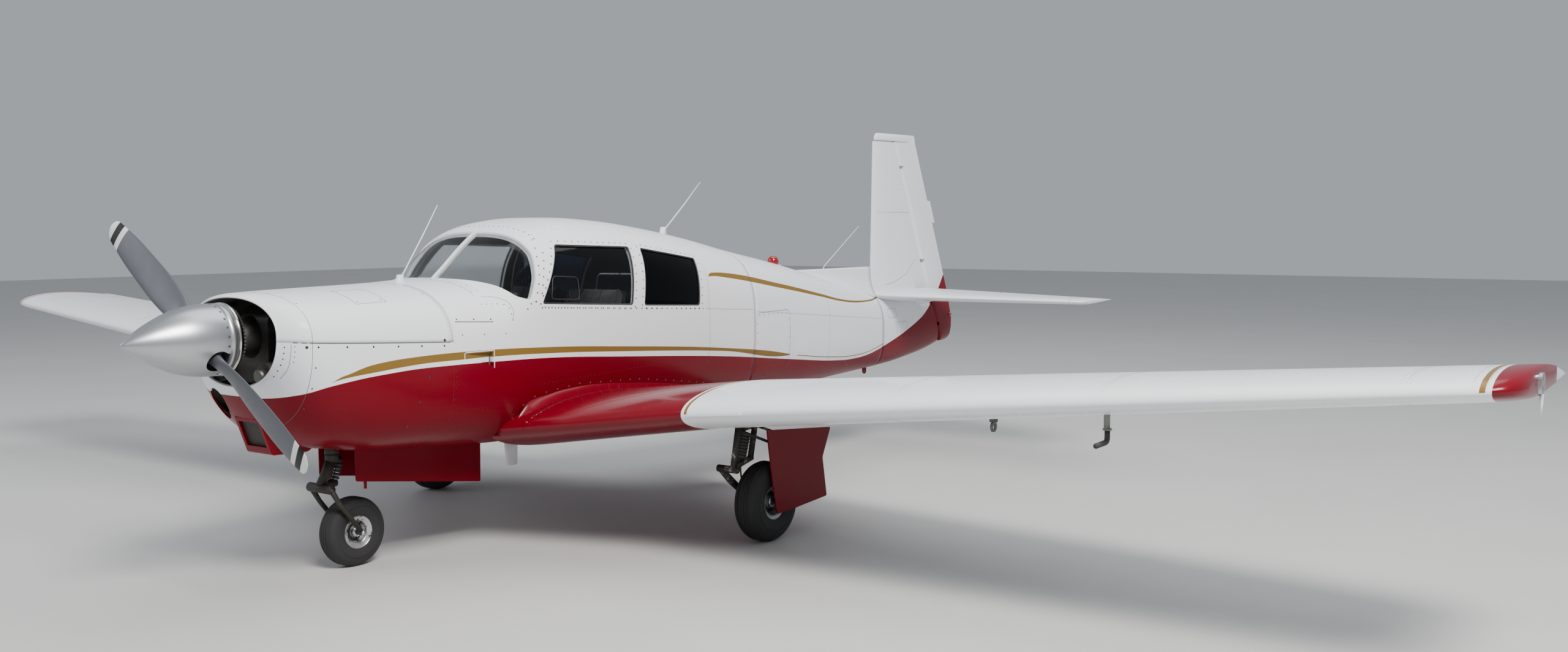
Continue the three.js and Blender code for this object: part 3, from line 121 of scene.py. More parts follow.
def new_object(name, vertices, faces, materials, face_materials=None, smooth=True):
    mesh = bpy.data.meshes.new(name)
    mesh.from_pydata([tuple(v) for v in vertices], [], [tuple(int(i) for i in f) for f in faces])
    for m in materials:
        mesh.materials.append(m)
    if face_materials is not None:
        mesh.polygons.foreach_set("material_index", np.array(face_materials, np.int32))
    mesh.polygons.foreach_set("use_smooth", np.full(len(mesh.polygons), smooth))
    mesh.update()
    obj = bpy.data.objects.new(name, mesh)
    bpy.context.scene.collection.objects.link(obj)
    return obj


def quads(rows, columns, ring, offset=0, flip=False):
    """Faces between the rows of a grid, closed round each row where ring is set."""
    faces = []
    for r in range(rows - 1):
        for c in range(columns if ring else columns - 1):
            a, b = offset + r * columns + c, offset + r * columns + (c + 1) % columns
            face = (a, b, b + columns, a + columns)
            faces.append(face[::-1] if flip else face)
    return faces


def shell(name, outer, inner, ring, materials):
    """A closed sheet between two grids of the same shape: slot 0 outside, slot 1 on edges and inside."""
    outer, inner = np.array(outer), np.array(inner)
    rows, columns = outer.shape[:2]
    size = rows * columns
    faces = quads(rows, columns, ring, flip=True)
    outside = len(faces)
    faces += quads(rows, columns, ring, offset=size)
    for c in range(columns if ring else columns - 1):
        d = (c + 1) % columns
        faces.append((c, d, size + d, size + c))
        last = (rows - 1) * columns
        faces.append((last + d, last + c, size + last + c, size + last + d))
    if not ring:
        for r in range(rows - 1):
            a, b = r * columns, (r + 1) * columns
            faces.append((b, a, size + a, size + b))
            a, b = a + columns - 1, b + columns - 1
            faces.append((a, b, size + b, size + a))
    slots = [0] * outside + [1] * (len(faces) - outside)
    return new_object(
        name, np.concatenate([outer.reshape(-1, 3), inner.reshape(-1, 3)]), faces, materials, slots)


def loft(name, rings, materials, caps=True):
    """A closed body through rings with equal numbers of points."""
    rings = np.array(rings)
    rows, columns = rings.shape[:2]
    vertices = list(rings.reshape(-1, 3))
    faces = quads(rows, columns, True, flip=True)
    if caps:
        faces.append(tuple(range(columns)))
        faces.append(tuple(reversed(range((rows - 1) * columns, rows * columns))))
    return new_object(name, vertices, faces, materials)


def rounded(points, radius, segments=6):
    """An outline with its corners rounded to the radius, or less on short sides."""
    points = [np.array(p, float) for p in points]
    outline = []
    for i, corner in enumerate(points):
        before, after = points[i - 1] - corner, points[(i + 1) % len(points)] - corner
        reach = min(radius, 0.49 * np.linalg.norm(before), 0.49 * np.linalg.norm(after))
        a = corner + before / np.linalg.norm(before) * reach
        b = corner + after / np.linalg.norm(after) * reach
        for t in np.linspace(0, 1, segments + 1):
            outline.append((1 - t) ** 2 * a + 2 * t * (1 - t) * corner + t**2 * b)
    return outline


def side_prism(outline, x0, x1, name="cutter", materials=()):
    """A prism along X from an outline of stations and heights."""
    count = len(outline)
    vertices = [(x, s + NOSE_Y, z) for x in (x0, x1) for s, z in outline]
    faces = [tuple(range(count)), tuple(reversed(range(count, 2 * count)))]
    faces += [(i, i + count, (i + 1) % count + count, (i + 1) % count) for i in range(count)]
    obj = new_object(name, vertices, faces, materials, smooth=False)
    outward(obj)
    return obj


def outward(obj):
    """Turns a closed mesh's faces outward."""
    mesh = obj.data
    corners = np.array([v.co for v in mesh.vertices])
    volume = 0.0
    for polygon in mesh.polygons:
        ids = polygon.vertices
        for i in range(1, len(ids) - 1):
            volume += np.dot(corners[ids[0]], np.cross(corners[ids[i]], corners[ids[i + 1]]))
    if volume < 0:
        mesh.flip_normals()
    return obj


def box_solid(x0, x1, s0, s1, z0, z1, name="cutter", materials=()):
    return side_prism([(s0, z0), (s1, z0), (s1, z1), (s0, z1)], x0, x1, name, materials)


def settle(obj):
    """Makes what obj's modifiers give its own mesh."""
    mesh = bpy.data.meshes.new_from_object(obj.evaluated_get(bpy.context.evaluated_depsgraph_get()))
    obj.modifiers.clear()
    obj.data = mesh


def combine(obj, others, operation):
    """Cuts, joins or keeps obj by the other solids, which are used up. Its slots stay as they are."""
    for other in others:
        modifier = obj.modifiers.new("cut", "BOOLEAN")
        modifier.operation, modifier.solver, modifier.object = operation, "EXACT", other
        settle(obj)
        bpy.data.objects.remove(other)
    return obj


def copy_of(obj, name):
    twin = obj.copy()
    twin.data = obj.data.copy()
    twin.name = name
    bpy.context.scene.collection.objects.link(twin)
    return twin


def smooth_like(obj, source, limit=0.75):
    """Shades obj with the even curvature of the uncut form, which is used up, and keeps cut edges crisp."""
    mesh, form = obj.data, source.data
    form.calc_loop_triangles()
    points = [v.co.copy() for v in form.vertices]
    normals = np.array([v.normal for v in form.vertices])
    triangles = [tuple(t.vertices) for t in form.loop_triangles]
    tree = BVHTree.FromPolygons(points, triangles)
    custom = np.zeros((len(mesh.loops), 3))
    for polygon in mesh.polygons:
        flat = np.array(polygon.normal)
        for loop in polygon.loop_indices:
            co = mesh.vertices[mesh.loops[loop].vertex_index].co
            # a little towards the face's middle, so that an edge takes the side it belongs to
            probe = co.lerp(polygon.center, 0.02)
            place, _, index, _ = tree.find_nearest(probe)
            ids = triangles[index]
            corners = np.array([points[i] for i in ids])
            weights = np.linalg.lstsq(
                np.vstack([corners.T, np.ones(3)]), np.append(np.array(place), 1), rcond=None)[0]
            even = np.clip(weights, 0, 1) @ normals[list(ids)]
            even /= max(np.linalg.norm(even), 1e-9)
            custom[loop] = even if even @ flat > limit else flat
    mesh.polygons.foreach_set("use_smooth", np.ones(len(mesh.polygons), bool))
    mesh.normals_split_custom_set(custom.tolist())
    bpy.data.objects.remove(source)
    return obj


def shader_node(tree, kind, *sources, out=0, **settings):
    """A shader node's output; each source is a value or another output, in the order of the sockets."""
    made = tree.nodes.new("ShaderNode" + kind)
    for key, value in settings.items():
        setattr(made, key, value)
    for socket, source in zip(made.inputs, sources):
        if isinstance(source, bpy.types.NodeSocket):
            tree.links.new(source, socket)
        elif source is not None:
            socket.default_value = source
    return made.outputs[out]


def calc(tree, operation, *sources):
    return shader_node(tree, "Math", *sources, operation=operation)


def curve_of(tree, source, points, low=0.0, high=8.0):
    """A height read from a drawn line of stations and heights."""
    made = tree.nodes.new("ShaderNodeFloatCurve")
    scaled = shader_node(tree, "MapRange", source, low, high, 0.0, 1.0)
    tree.links.new(scaled, made.inputs["Value"])
    line = made.mapping.curves[0]
    spots = [((s - low) / (high - low), z / 2) for s, z in points]
    line.points[0].location, line.points[1].location = spots[0], spots[-1]
    for spot in spots[1:-1]:
        line.points.new(*spot)
    for point in line.points:
        point.handle_type = "AUTO_CLAMPED"
    made.mapping.update()
    return calc(tree, "MULTIPLY", made.outputs[0], 2.0)


def mix_colour(tree, share, first, second):
    made = tree.nodes.new("ShaderNodeMix")
    made.data_type = "RGBA"
    for socket, source in ((made.inputs[0], share), (made.inputs[6], first), (made.inputs[7], second)):
        if isinstance(source, bpy.types.NodeSocket):
            tree.links.new(source, socket)
        else:
            socket.default_value = source
    return made.outputs[2]


def bump(tree, strength, depth, height):
    made = tree.nodes.new("ShaderNodeBump")
    made.inputs["Distance"].default_value = depth
    tree.links.new(height, made.inputs["Height"])
    if isinstance(strength, bpy.types.NodeSocket):
        tree.links.new(strength, made.inputs["Strength"])
    else:
        made.inputs["Strength"].default_value = strength
    return made.outputs[0]


def new_group(name, inputs, outputs):
    """A node group with value or colour sockets: (name, kind, default) in, (name, kind) out."""
    group = bpy.data.node_groups.new(name, "ShaderNodeTree")
    for title, kind, default in inputs:
        socket = group.interface.new_socket(title, in_out="INPUT", socket_type="NodeSocket" + kind)
        socket.default_value = default
    for title, kind in outputs:
        group.interface.new_socket(title, in_out="OUTPUT", socket_type="NodeSocket" + kind)
    return group, group.nodes.new("NodeGroupInput").outputs, group.nodes.new("NodeGroupOutput").inputs


def use_group(tree, group, **values):
    made = tree.nodes.new("ShaderNodeGroup")
    made.node_tree = group
    for title, value in values.items():
        if isinstance(value, bpy.types.NodeSocket):
            tree.links.new(value, made.inputs[title])
        else:
            made.inputs[title].default_value = value
    return made.outputs


def new_material(name, **settings):
    """A material with one shader and its plain settings; links are added by the piece's section."""
    material = bpy.data.materials.new(name)
    material.use_nodes = True
    tree = material.node_tree
    shader = tree.nodes["Principled BSDF"]
    for title, value in settings.items():
        shader.inputs[title.replace("_", " ")].default_value = value
    return material, tree, shader


def noise(tree, scale, detail, roughness):
    """A cloudy grain fixed to the piece, from 0 to 1."""
    return shader_node(tree, "TexNoise", shader_node(tree, "TexCoord", out=3), None, scale, detail, roughness)


def mottled(name, grain, dark, light, rough=None, relief=None, **settings):
    """A finish that wanders between two colours with a grain of (scale, detail, roughness).
    rough is the span and the least of its roughness, and relief the strength and depth of its bumps."""
    material, tree, shader = new_material(name, **settings)
    pattern = noise(tree, *grain)
    tree.links.new(mix_colour(tree, pattern, (*dark, 1), (*light, 1)), shader.inputs["Base Color"])
    if rough:
        tree.links.new(calc(tree, "MULTIPLY_ADD", pattern, *rough), shader.inputs["Roughness"])
    if relief:
        tree.links.new(bump(tree, *relief, pattern), shader.inputs["Normal"])
    return material


def painted(name, colour, dust, gloss, wave, **settings):
    """Weathered paint on sheet; colour is one colour, or the node group that draws the livery."""
    material, tree, shader = new_material(name, **settings)
    if isinstance(colour, bpy.types.NodeTree):
        colour = use_group(tree, colour)["Colour"]
    look = use_group(tree, weather, Colour=colour, Dust=dust, Gloss=gloss, Wave=wave)
    for source, target in (("Colour", "Base Color"), ("Roughness", "Roughness"), ("Normal", "Normal")):
        tree.links.new(look[source], shader.inputs[target])
    return material


# The weathering on all painted sheet: dust in broad patches, fine grain and a faint waviness
weather, w_in, w_out = new_group(
    "weathered_paint",
    [
        ("Colour", "Color", (0.8, 0.8, 0.8, 1)), ("Dust", "Float", 0.15), ("Gloss", "Float", 0.25),
        ("Wave", "Float", 0.15)],
    [("Colour", "Color"), ("Roughness", "Float"), ("Normal", "Vector")],
)
place = shader_node(weather, "TexCoord", out=3)
broad = shader_node(weather, "TexNoise", place, None, 1.7, 5.0, 0.6)
grain = shader_node(weather, "TexNoise", place, None, 55.0, 3.0, 0.6)
streak_place = shader_node(weather, "Mapping", place, (0, 0, 0), (0, 0, 0), (9.0, 1.3, 16.0))
streak = shader_node(weather, "TexNoise", streak_place, None, 2.2, 4.0, 0.55)
patch = shader_node(weather, "MapRange", calc(weather, "MULTIPLY", broad, streak), 0.2, 0.42, 0.0, 1.0)
film = calc(weather, "MULTIPLY", patch, w_in["Dust"])
dulled = mix_colour(weather, 0.16, w_in["Colour"], (0.30, 0.28, 0.25, 1))
dusty = mix_colour(weather, film, w_in["Colour"], dulled)
weather.links.new(dusty, w_out["Colour"])
rough = calc(weather, "ADD", w_in["Gloss"], calc(weather, "MULTIPLY", film, 0.8))
rough = calc(weather, "ADD", rough, calc(weather, "MULTIPLY", calc(weather, "SUBTRACT", grain, 0.5), 0.08))
weather.links.new(rough, w_out["Roughness"])
wavy = shader_node(weather, "TexNoise", place, None, 4.5, 2.0, 0.5)
weather.links.new(bump(weather, w_in["Wave"], 0.02, wavy), w_out["Normal"])

WHITE = (0.80, 0.82, 0.86, 1)
RED = (0.160, 0.001, 0.009, 1)
GOLD = (0.205, 0.118, 0.024, 1)

# The livery of the fuselage: red below a rising line, with a gold stripe in white above it,
# and a second gold stripe that runs from the rear window to the root of the fin
livery, _, livery_out = new_group("fuselage_livery", [], [("Colour", "Color")])
spot = shader_node(livery, "SeparateXYZ", shader_node(livery, "TexCoord", out=3))
split = spot.node.outputs
station = calc(livery, "SUBTRACT", split[1], NOSE_Y)
height = split[2]
RED_LINE = [
    (0.56, 0.948), (0.583, 0.943), (0.604, 0.955), (0.643, 0.966), (0.783, 1.010), (1.09, 1.047),
    (1.36, 1.056), (1.70, 1.054), (2.12, 1.045), (2.61, 1.014), (3.70, 0.929), (4.65, 0.829), (5.30, 0.765),
    (5.59, 0.751), (5.80, 0.757), (6.01, 0.785), (6.11, 0.806), (6.50, 0.905), (6.97, 1.086), (7.10, 1.175),
    (7.25, 1.314), (7.40, 1.450),
]
GOLD_TOP = [
    (0.766, 1.024), (0.779, 1.031), (0.81, 1.048), (0.852, 1.060), (0.947, 1.089), (1.05, 1.104),
    (1.18, 1.113), (1.53, 1.119), (2.12, 1.103), (2.60, 1.073), (3.70, 0.982), (4.587, 0.871), (4.60, 0.868),
]
GOLD_FOOT = [
    (0.766, 1.022), (0.80, 1.034), (0.98, 1.056), (1.30, 1.079), (1.69, 1.080), (2.12, 1.069),
    (2.60, 1.043), (3.70, 0.962), (4.587, 0.862), (4.60, 0.868),
]
UPPER_TOP = [
    (3.56, 1.440), (3.60, 1.458), (3.76, 1.453), (4.52, 1.352), (5.12, 1.255), (5.39, 1.209), (5.70, 1.180),
    (5.93, 1.176), (6.12, 1.192),
]
UPPER_FOOT = [
    (3.56, 1.436), (3.62, 1.436), (3.74, 1.426), (4.50, 1.325), (5.11, 1.236), (5.39, 1.193), (5.70, 1.166),
    (5.93, 1.164), (6.12, 1.180),
]


def between(tree, top, foot, first, last):
    """A mask for what lies between two drawn lines, from the first station to the last."""
    under = calc(tree, "LESS_THAN", height, curve_of(tree, station, top))
    over = calc(tree, "GREATER_THAN", height, curve_of(tree, station, foot))
    after = calc(tree, "GREATER_THAN", station, first)
    ahead = calc(tree, "LESS_THAN", station, last)
    return calc(tree, "MULTIPLY", calc(tree, "MULTIPLY", under, over), calc(tree, "MULTIPLY", after, ahead))


red_mask = calc(livery, "LESS_THAN", height, curve_of(livery, station, RED_LINE))
gold_mask = calc(
    livery, "MAXIMUM", between(livery, GOLD_TOP, GOLD_FOOT, 0.767, 4.60),
    between(livery, UPPER_TOP, UPPER_FOOT, 3.565, 6.115))
thin_line = [(s, z + 0.031 - 0.004 * (s - 4.7)) for s, z in RED_LINE if 4.6 < s < 6.2]
thin_foot = [(s, z - 0.006) for s, z in thin_line]
gold_mask = calc(livery, "MAXIMUM", gold_mask, between(livery, thin_line, thin_foot, 4.70, 6.115))
striped = mix_colour(livery, gold_mask, WHITE, GOLD)
livery.links.new(mix_colour(livery, red_mask, striped, RED), livery_out["Colour"])

hull_paint = painted(
    "hull_paint", livery, 0.05, 0.24, 0.03, Coat_Weight=0.04, Coat_Roughness=0.05, Specular_IOR_Level=0.12)

# Bare and primed metal inside the skins, mottled and dull
inside_metal = mottled(
    "inner_sheet", (9.0, 4.0, 0.6), (0.10, 0.11, 0.10), (0.24, 0.25, 0.22), Metallic=0.35, Roughness=0.6)

# Screw and rivet heads: steel mottled with dirt, and the dark line of a seam
stud_metal = mottled(
    "stud_metal", (160.0, 2.0, 0.5), (0.025, 0.025, 0.025), (0.12, 0.12, 0.12), Metallic=0.8, Roughness=0.38)
# The seam material also makes the dark strip of painted shade at the rear opening of each fresh air scoop.
dark_seam_and_scoop_shade = mottled(
    "seam_gap_and_scoop_shade", (70.0, 3.0, 0.6), (0.035, 0.035, 0.038), (0.13, 0.13, 0.135), (0.3, 0.5), Metallic=0.0)


def skin_tree(*objs):
    """What rivets and seams are laid on."""
    points, faces = [], []
    for obj in objs:
        start = len(points)
        points += [v.co.copy() for v in obj.data.vertices]
        faces += [[start + i for i in p.vertices] for p in obj.data.polygons]
    return BVHTree.FromPolygons(points, faces)


def spaced(line, spacing):
    """Points along a line of corners, about spacing apart."""
    line = [np.array(p, float) for p in line]
    lengths = np.concatenate([[0], np.cumsum([np.linalg.norm(b - a) for a, b in zip(line, line[1:])])])
    count = max(2, round(lengths[-1] / spacing) + 1)
    places = np.linspace(0, lengths[-1], count)
    return [
        np.array([np.interp(p, lengths, [c[k] for c in line]) for k in range(len(line[0]))]) for p in places]


def laid(tree, line, spacing, view):
    """Where a line drawn from one side meets the skin, and the skin's normal there.
    view is +1 or -1 for stations and heights seen from that side, "top" or "under" for x and stations."""
    found = []
    for a, b in spaced(line, spacing):
        if view in ("top", "under"):
            sign = 1 if view == "top" else -1
            start, direction = Vector((a, b + NOSE_Y, 3.0 * sign)), Vector((0, 0, -sign))
        else:
            start, direction = Vector((6.0 * view, a + NOSE_Y, b)), Vector((-view, 0, 0))
        place, normal, _, _ = tree.ray_cast(start, direction)
        if place is not None:
            found.append((place, normal if normal.dot(direction) < 0 else -normal))
    return found


def drawn(tree, view, rows):
    """Lines laid on the skin from one side, for studs or seams; rows are (line, spacing, size)."""
    return [(laid(tree, line, spacing, view), size) for line, spacing, size in rows]


def stud_mesh(spots, radius, height=0.0012, sides=6):
    """Low domes on the skin, as vertices and faces."""
    vertices, faces = [], []
    for place, normal in spots:
        side = normal.orthogonal().normalized()
        other = normal.cross(side)
        start = len(vertices)
        for ring, lift in ((1.0, -0.0004), (0.6, height * 0.8)):
            for i in range(sides):
                turn = 2 * math.pi * i / sides
                vertices.append(
                    place + (side * math.cos(turn) + other * math.sin(turn)) * radius * ring + normal * lift)
        vertices.append(place + normal * height)
        for i in range(sides):
            j = (i + 1) % sides
            faces.append((start + i, start + j, start + sides + j, start + sides + i))
            faces.append((start + sides + i, start + sides + j, start + 2 * sides))
    return vertices, faces


def studs(name, body, groups, material=stud_metal):
    """One object with all the fastener heads of a body's skin; groups are (spots, radius)."""
    vertices, faces = [], []
    for spots, radius in groups:
        v, f = stud_mesh(spots, radius)
        faces += [tuple(i + len(vertices) for i in face) for face in f]
        vertices += v
    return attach(new_object(name, vertices, faces, [material]), body)


def seams(name, body, lines, material=dark_seam_and_scoop_shade, lift=0.0006):
    """One object with the thin dark lines between sheets; lines are (spots, width)."""
    vertices, faces = [], []
    for spots, width in lines:
        start = len(vertices)
        for i, (place, normal) in enumerate(spots):
            along = (spots[min(i + 1, len(spots) - 1)][0] - spots[max(i - 1, 0)][0]).normalized()
            side = along.cross(normal).normalized() * width / 2
            vertices += [place + side + normal * lift, place - side + normal * lift]
        faces += [
            (start + 2 * i, start + 2 * i + 1, start + 2 * i + 3, start + 2 * i + 2)
            for i in range(len(spots) - 1)]
    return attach(new_object(name, vertices, faces, [material]), body)


# Cowling
# Two halves of painted aluminium that meet on a line falling a little towards the firewall, with a
# rolled lip round the mouth. They are held by quarter-turn fasteners and a screwed nose ring.

COWL_WALL = 0.014
SEAM_FRONT, SEAM_REAR = (0.40, 1.233), (1.50, 1.170)
LIP = [
    (0.0065, 0.0), (0.0022, 0.0018), (0.0003, 0.0045), (0.0, 0.007), (0.0003, 0.0095), (0.0022, 0.0122),
    (0.0065, COWL_WALL)]


def seam_angle(station, inset, lift):
    """The angle at which a section meets the line between the two halves."""
    half, top, bottom, waist, upper, lower = body_at(station)
    share = (station - SEAM_FRONT[0]) / (SEAM_REAR[0] - SEAM_FRONT[0])
    level = SEAM_FRONT[1] + (SEAM_REAR[1] - SEAM_FRONT[1]) * share + lift - waist
    height, power = (top - inset - waist, upper) if level > 0 else (waist - bottom - inset, lower)
    return math.copysign(math.asin(min(1, (abs(level) / height)) ** (power / 2)), level)


def cowl_half(name, upper, count):
    """One half as a thick sheet, from the firewall to the lip and back along the inside."""
    stations = steps(0.5665, 0.572, 0.60, 0.66, 0.76, 1.0, FIREWALL - 0.0003, spacing=0.035)
    outer, inner = [], []
    for s in stations:
        for rows, inset in ((outer, 0.0), (inner, COWL_WALL)):
            angle = seam_angle(s, inset, 0.0003 if upper else 0.0)
            ends = (angle, math.pi - angle) if upper else (math.pi - angle, 2 * math.pi + angle)
            rows.append(body_arc(s, *ends, count, inset))
    lip = []
    for ahead, inset in LIP[1:-1]:
        angle = seam_angle(0.5665, inset, 0.0003 if upper else 0.0)
        ends = (angle, math.pi - angle) if upper else (math.pi - angle, 2 * math.pi + angle)
        row = body_arc(0.5665, *ends, count, inset)
        row[:, 1] = 0.56 + ahead + NOSE_Y
        lip.append(row)
    lip_out, lip_in = lip[:3][::-1], lip[2:]
    return shell(name, lip_out + outer, lip_in + inner, False, [hull_paint, inside_metal])


upper_form = cowl_half("cowling_top", True, 65)
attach(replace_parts(upper_form, "cowl_upper"), "airframe")

lower_form = cowl_half("cowling_bottom", False, 97)
lower_plain = copy_of(lower_form, "lower_plain")
AIR_HOLE = {"x": -0.205, "z": 0.893, "radius": 0.080}      # the round inlet in the chin's right side


def tube_solid(name, start, end, radius, sides=24, end_radius=None, materials=(), smooth=True):
    """A rod between two points of the part."""
    start, end = Vector(start), Vector(end)
    along = (end - start).normalized()
    side = along.orthogonal().normalized()
    other = along.cross(side)
    vertices = []
    for centre, r in ((start, radius), (end, radius if end_radius is None else end_radius)):
        for i in range(sides):
            turn = 2 * math.pi * i / sides
            vertices.append(centre + (side * math.cos(turn) + other * math.sin(turn)) * r)
    faces = [(i, (i + 1) % sides, sides + (i + 1) % sides, sides + i) for i in range(sides)]
    faces += [tuple(reversed(range(sides))), tuple(range(sides, 2 * sides))]
    obj = outward(new_object(name, vertices, faces, materials, smooth=smooth))
    if smooth:
        obj.data.polygons[sides].use_smooth = obj.data.polygons[sides + 1].use_smooth = False
    return obj


def at(x, station, z):
    return (x, station + NOSE_Y, z)


def rod(name, start, end, *sizes, **finish):
    """A round rod between two places of x, station and height."""
    return tube_solid(name, at(*start), at(*end), *sizes, **finish)


combine(lower_form, [
    rod(
        "cutter", (AIR_HOLE["x"], 0.50, AIR_HOLE["z"]), (AIR_HOLE["x"], 0.76, AIR_HOLE["z"]),
        AIR_HOLE["radius"], 48),
    box_solid(-0.15, 0.15, 0.98, 1.50, 0.50, 0.76),
    box_solid(-0.080, 0.080, 0.60, 0.80, 0.690, 0.815),
], "DIFFERENCE")
smooth_like(lower_form, lower_plain)
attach(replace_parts(lower_form, "cowl_lower"), "airframe")

# The air filter's inlet is a slanted box under the chin, with a dark filter behind its mouth
scoop_outline = rounded(
    [(0.624, 0.840), (0.694, 0.652), (0.900, 0.646), (0.980, 0.700), (0.780, 0.840)], 0.014, 4)
scoop = side_prism(scoop_outline, -0.100, 0.100, "air_scoop", [hull_paint, inside_metal])
combine(scoop, [box_solid(-0.080, 0.080, 0.60, 0.80, 0.690, 0.815)], "DIFFERENCE")
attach(scoop, "airframe")

mesh_black, mesh_tree, mesh_shader = new_material("filter_mesh", Metallic=0.3, Roughness=0.7)
grid_place = shader_node(mesh_tree, "TexCoord", out=3)
wires = shader_node(
    mesh_tree, "TexChecker", grid_place, (0.09, 0.085, 0.08, 1), (0.008, 0.008, 0.008, 1), 420.0)
mesh_tree.links.new(wires, mesh_shader.inputs["Base Color"])
filter_outline = [(0.652, 0.8145), (0.662, 0.8145), (0.708, 0.6905), (0.698, 0.6905)]
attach(side_prism(filter_outline, -0.0795, 0.0795, "air_filter", [mesh_black]), "airframe")
duct_ends = [at(AIR_HOLE["x"], s, AIR_HOLE["z"]) for s in (0.745, 0.755)]
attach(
    tube_solid("chin_duct", *duct_ends, AIR_HOLE["radius"] - 0.001, 48, materials=[mesh_black]), "airframe")

# Seams, fasteners and the small oil door on the deck
cowl_skin = skin_tree(upper_form, lower_form)
split_line = [(0.575, 1.223), (0.80, 1.209), (1.10, 1.192), (1.44, 1.174)]
ring_line = [(0.675, z) for z in (0.80, 0.85, 0.95, 1.05, 1.15, 1.22, 1.28, 1.33, 1.37, 1.40)]
cowl_lines, cowl_studs = [], []
for side in (-1, 1):
    cowl_lines += drawn(cowl_skin, side, [
        (split_line, 0.03, 0.004),
        (ring_line, 0.02, 0.0022),
        ([(0.600, 1.212), (0.600, 1.10), (0.590, 1.05)], 0.02, 0.002),
    ])
    cowl_studs += [
        (laid(cowl_skin, [(0.70, 1.197), (1.40, 1.158)], 0.148, side), 0.0065),
        (laid(cowl_skin, [(0.652, 1.198), (0.654, 1.198)], 0.01, side)[:1], 0.0095),
        (laid(cowl_skin, [(1.405, 1.186), (1.407, 1.186)], 0.01, side)[:1], 0.0095),
        *drawn(cowl_skin, side, [
            ([(0.582, 1.200), (0.582, 1.15), (0.578, 1.10), (0.575, 1.06)], 0.028, 0.0045),
            ([(0.612, 1.203), (0.612, 1.13)], 0.026, 0.0035),
            ([(0.690, 1.10), (0.688, 0.90)], 0.085, 0.005),
            ([(1.306, 1.006), (1.253, 0.887), (1.217, 0.763)], 0.12, 0.0065),
            ([(1.26, 0.86), (1.43, 0.845)], 0.025, 0.002),
        ]),
    ]
cowl_lines.append((laid(cowl_skin, [(x, 0.675) for x in np.linspace(-0.36, 0.36, 25)], 0.03, "top"), 0.0022))
oil_door = [(0.20, 0.98), (0.40, 0.98), (0.40, 1.16), (0.20, 1.16)]
for a, b in zip(oil_door, oil_door[1:] + oil_door[:1]):
    cowl_lines.append((laid(cowl_skin, [a, b], 0.02, "top"), 0.0025))
cowl_studs += drawn(cowl_skin, "top", [
    ([(0.22, 1.00), (0.38, 1.00)], 0.16, 0.005),
    ([(0.22, 1.14), (0.38, 1.14)], 0.16, 0.005),
    ([(0.047, 0.975), (0.057, 1.135)], 0.16, 0.005),
    ([(-0.35, 1.425), (0.35, 1.425)], 0.07, 0.0045),
    ([(-0.33, 0.69), (0.33, 0.69)], 0.11, 0.0045),
])
seams("cowling_seams", "airframe", cowl_lines)
studs("cowling_fasteners", "airframe", cowl_studs)


# Engine
# A flat four with finned cylinders, seen through the mouth of the cowling. The crankcase is cast alloy
# but drawn in the same dark steel as the barrels, and the toothed starter ring is behind the spinner.

cast_alloy = mottled(
    "cast_alloy", (60.0, 5.0, 0.6), (0.05, 0.05, 0.05), (0.24, 0.24, 0.235), (0.3, 0.35), (0.4, 0.002),
    Metallic=0.85)

barrel_steel = mottled(
    "barrel_steel", (25.0, 3.0, 0.5), (0.03, 0.03, 0.032), (0.12, 0.11, 0.10), (0.25, 0.45), Metallic=0.6)

# Black rubber; the same material makes the black discs of painted shade in the wheels' lightening holes.
black_rubber_and_hole_shade = mottled(
    "black_rubber_and_hole_shade", (40.0, 4.0, 0.6), (0.012, 0.012, 0.012), (0.05, 0.05, 0.048), (0.3, 0.55))


def joined(name, pieces, body):
    """One object from several meshes; each keeps its materials."""
    for other in bpy.context.selected_objects:
        other.select_set(False)
    for piece in pieces:
        piece.select_set(True)
    bpy.context.view_layer.objects.active = pieces[0]
    bpy.ops.object.join()
    pieces[0].name = name
    pieces[0].data.name = name
    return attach(pieces[0], body)


THRUST = 1.227
case_outline = rounded(
    [(0.655, 1.09), (0.70, 0.99), (1.32, 0.99), (1.32, 1.36), (0.78, 1.375), (0.655, 1.33)], 0.03, 4)
engine_pieces = [
    side_prism(case_outline, -0.15, 0.15, "crankcase", [barrel_steel]),
    rod("nose_case", (0, 0.535, THRUST), (0, 0.66, THRUST), 0.050, 32, 0.105, [barrel_steel]),
    rod("crank_flange", (0, 0.452, THRUST), (0, 0.535, THRUST), 0.055, 32, materials=[barrel_steel]),
    rod("alternator", (0.19, 0.60, 1.055), (0.19, 0.76, 1.055), 0.062, 28, materials=[barrel_steel]),
    rod("alternator_pulley", (0.19, 0.565, 1.055), (0.19, 0.60, 1.055), 0.030, 24, materials=[cast_alloy]),
    rod("starter", (-0.19, 0.60, 1.055), (-0.19, 0.80, 1.055), 0.048, 28, materials=[barrel_steel]),
    side_prism(
        rounded([(0.74, 1.32), (0.75, 1.32), (0.79, 1.388), (0.78, 1.388)], 0.002, 2), -0.28, 0.28,
        "front_baffle", [black_rubber_and_hole_shade]),
    box_solid(-0.36, 0.36, 1.255, 1.265, 1.05, 1.37, "rear_baffle", [black_rubber_and_hole_shade]),
]
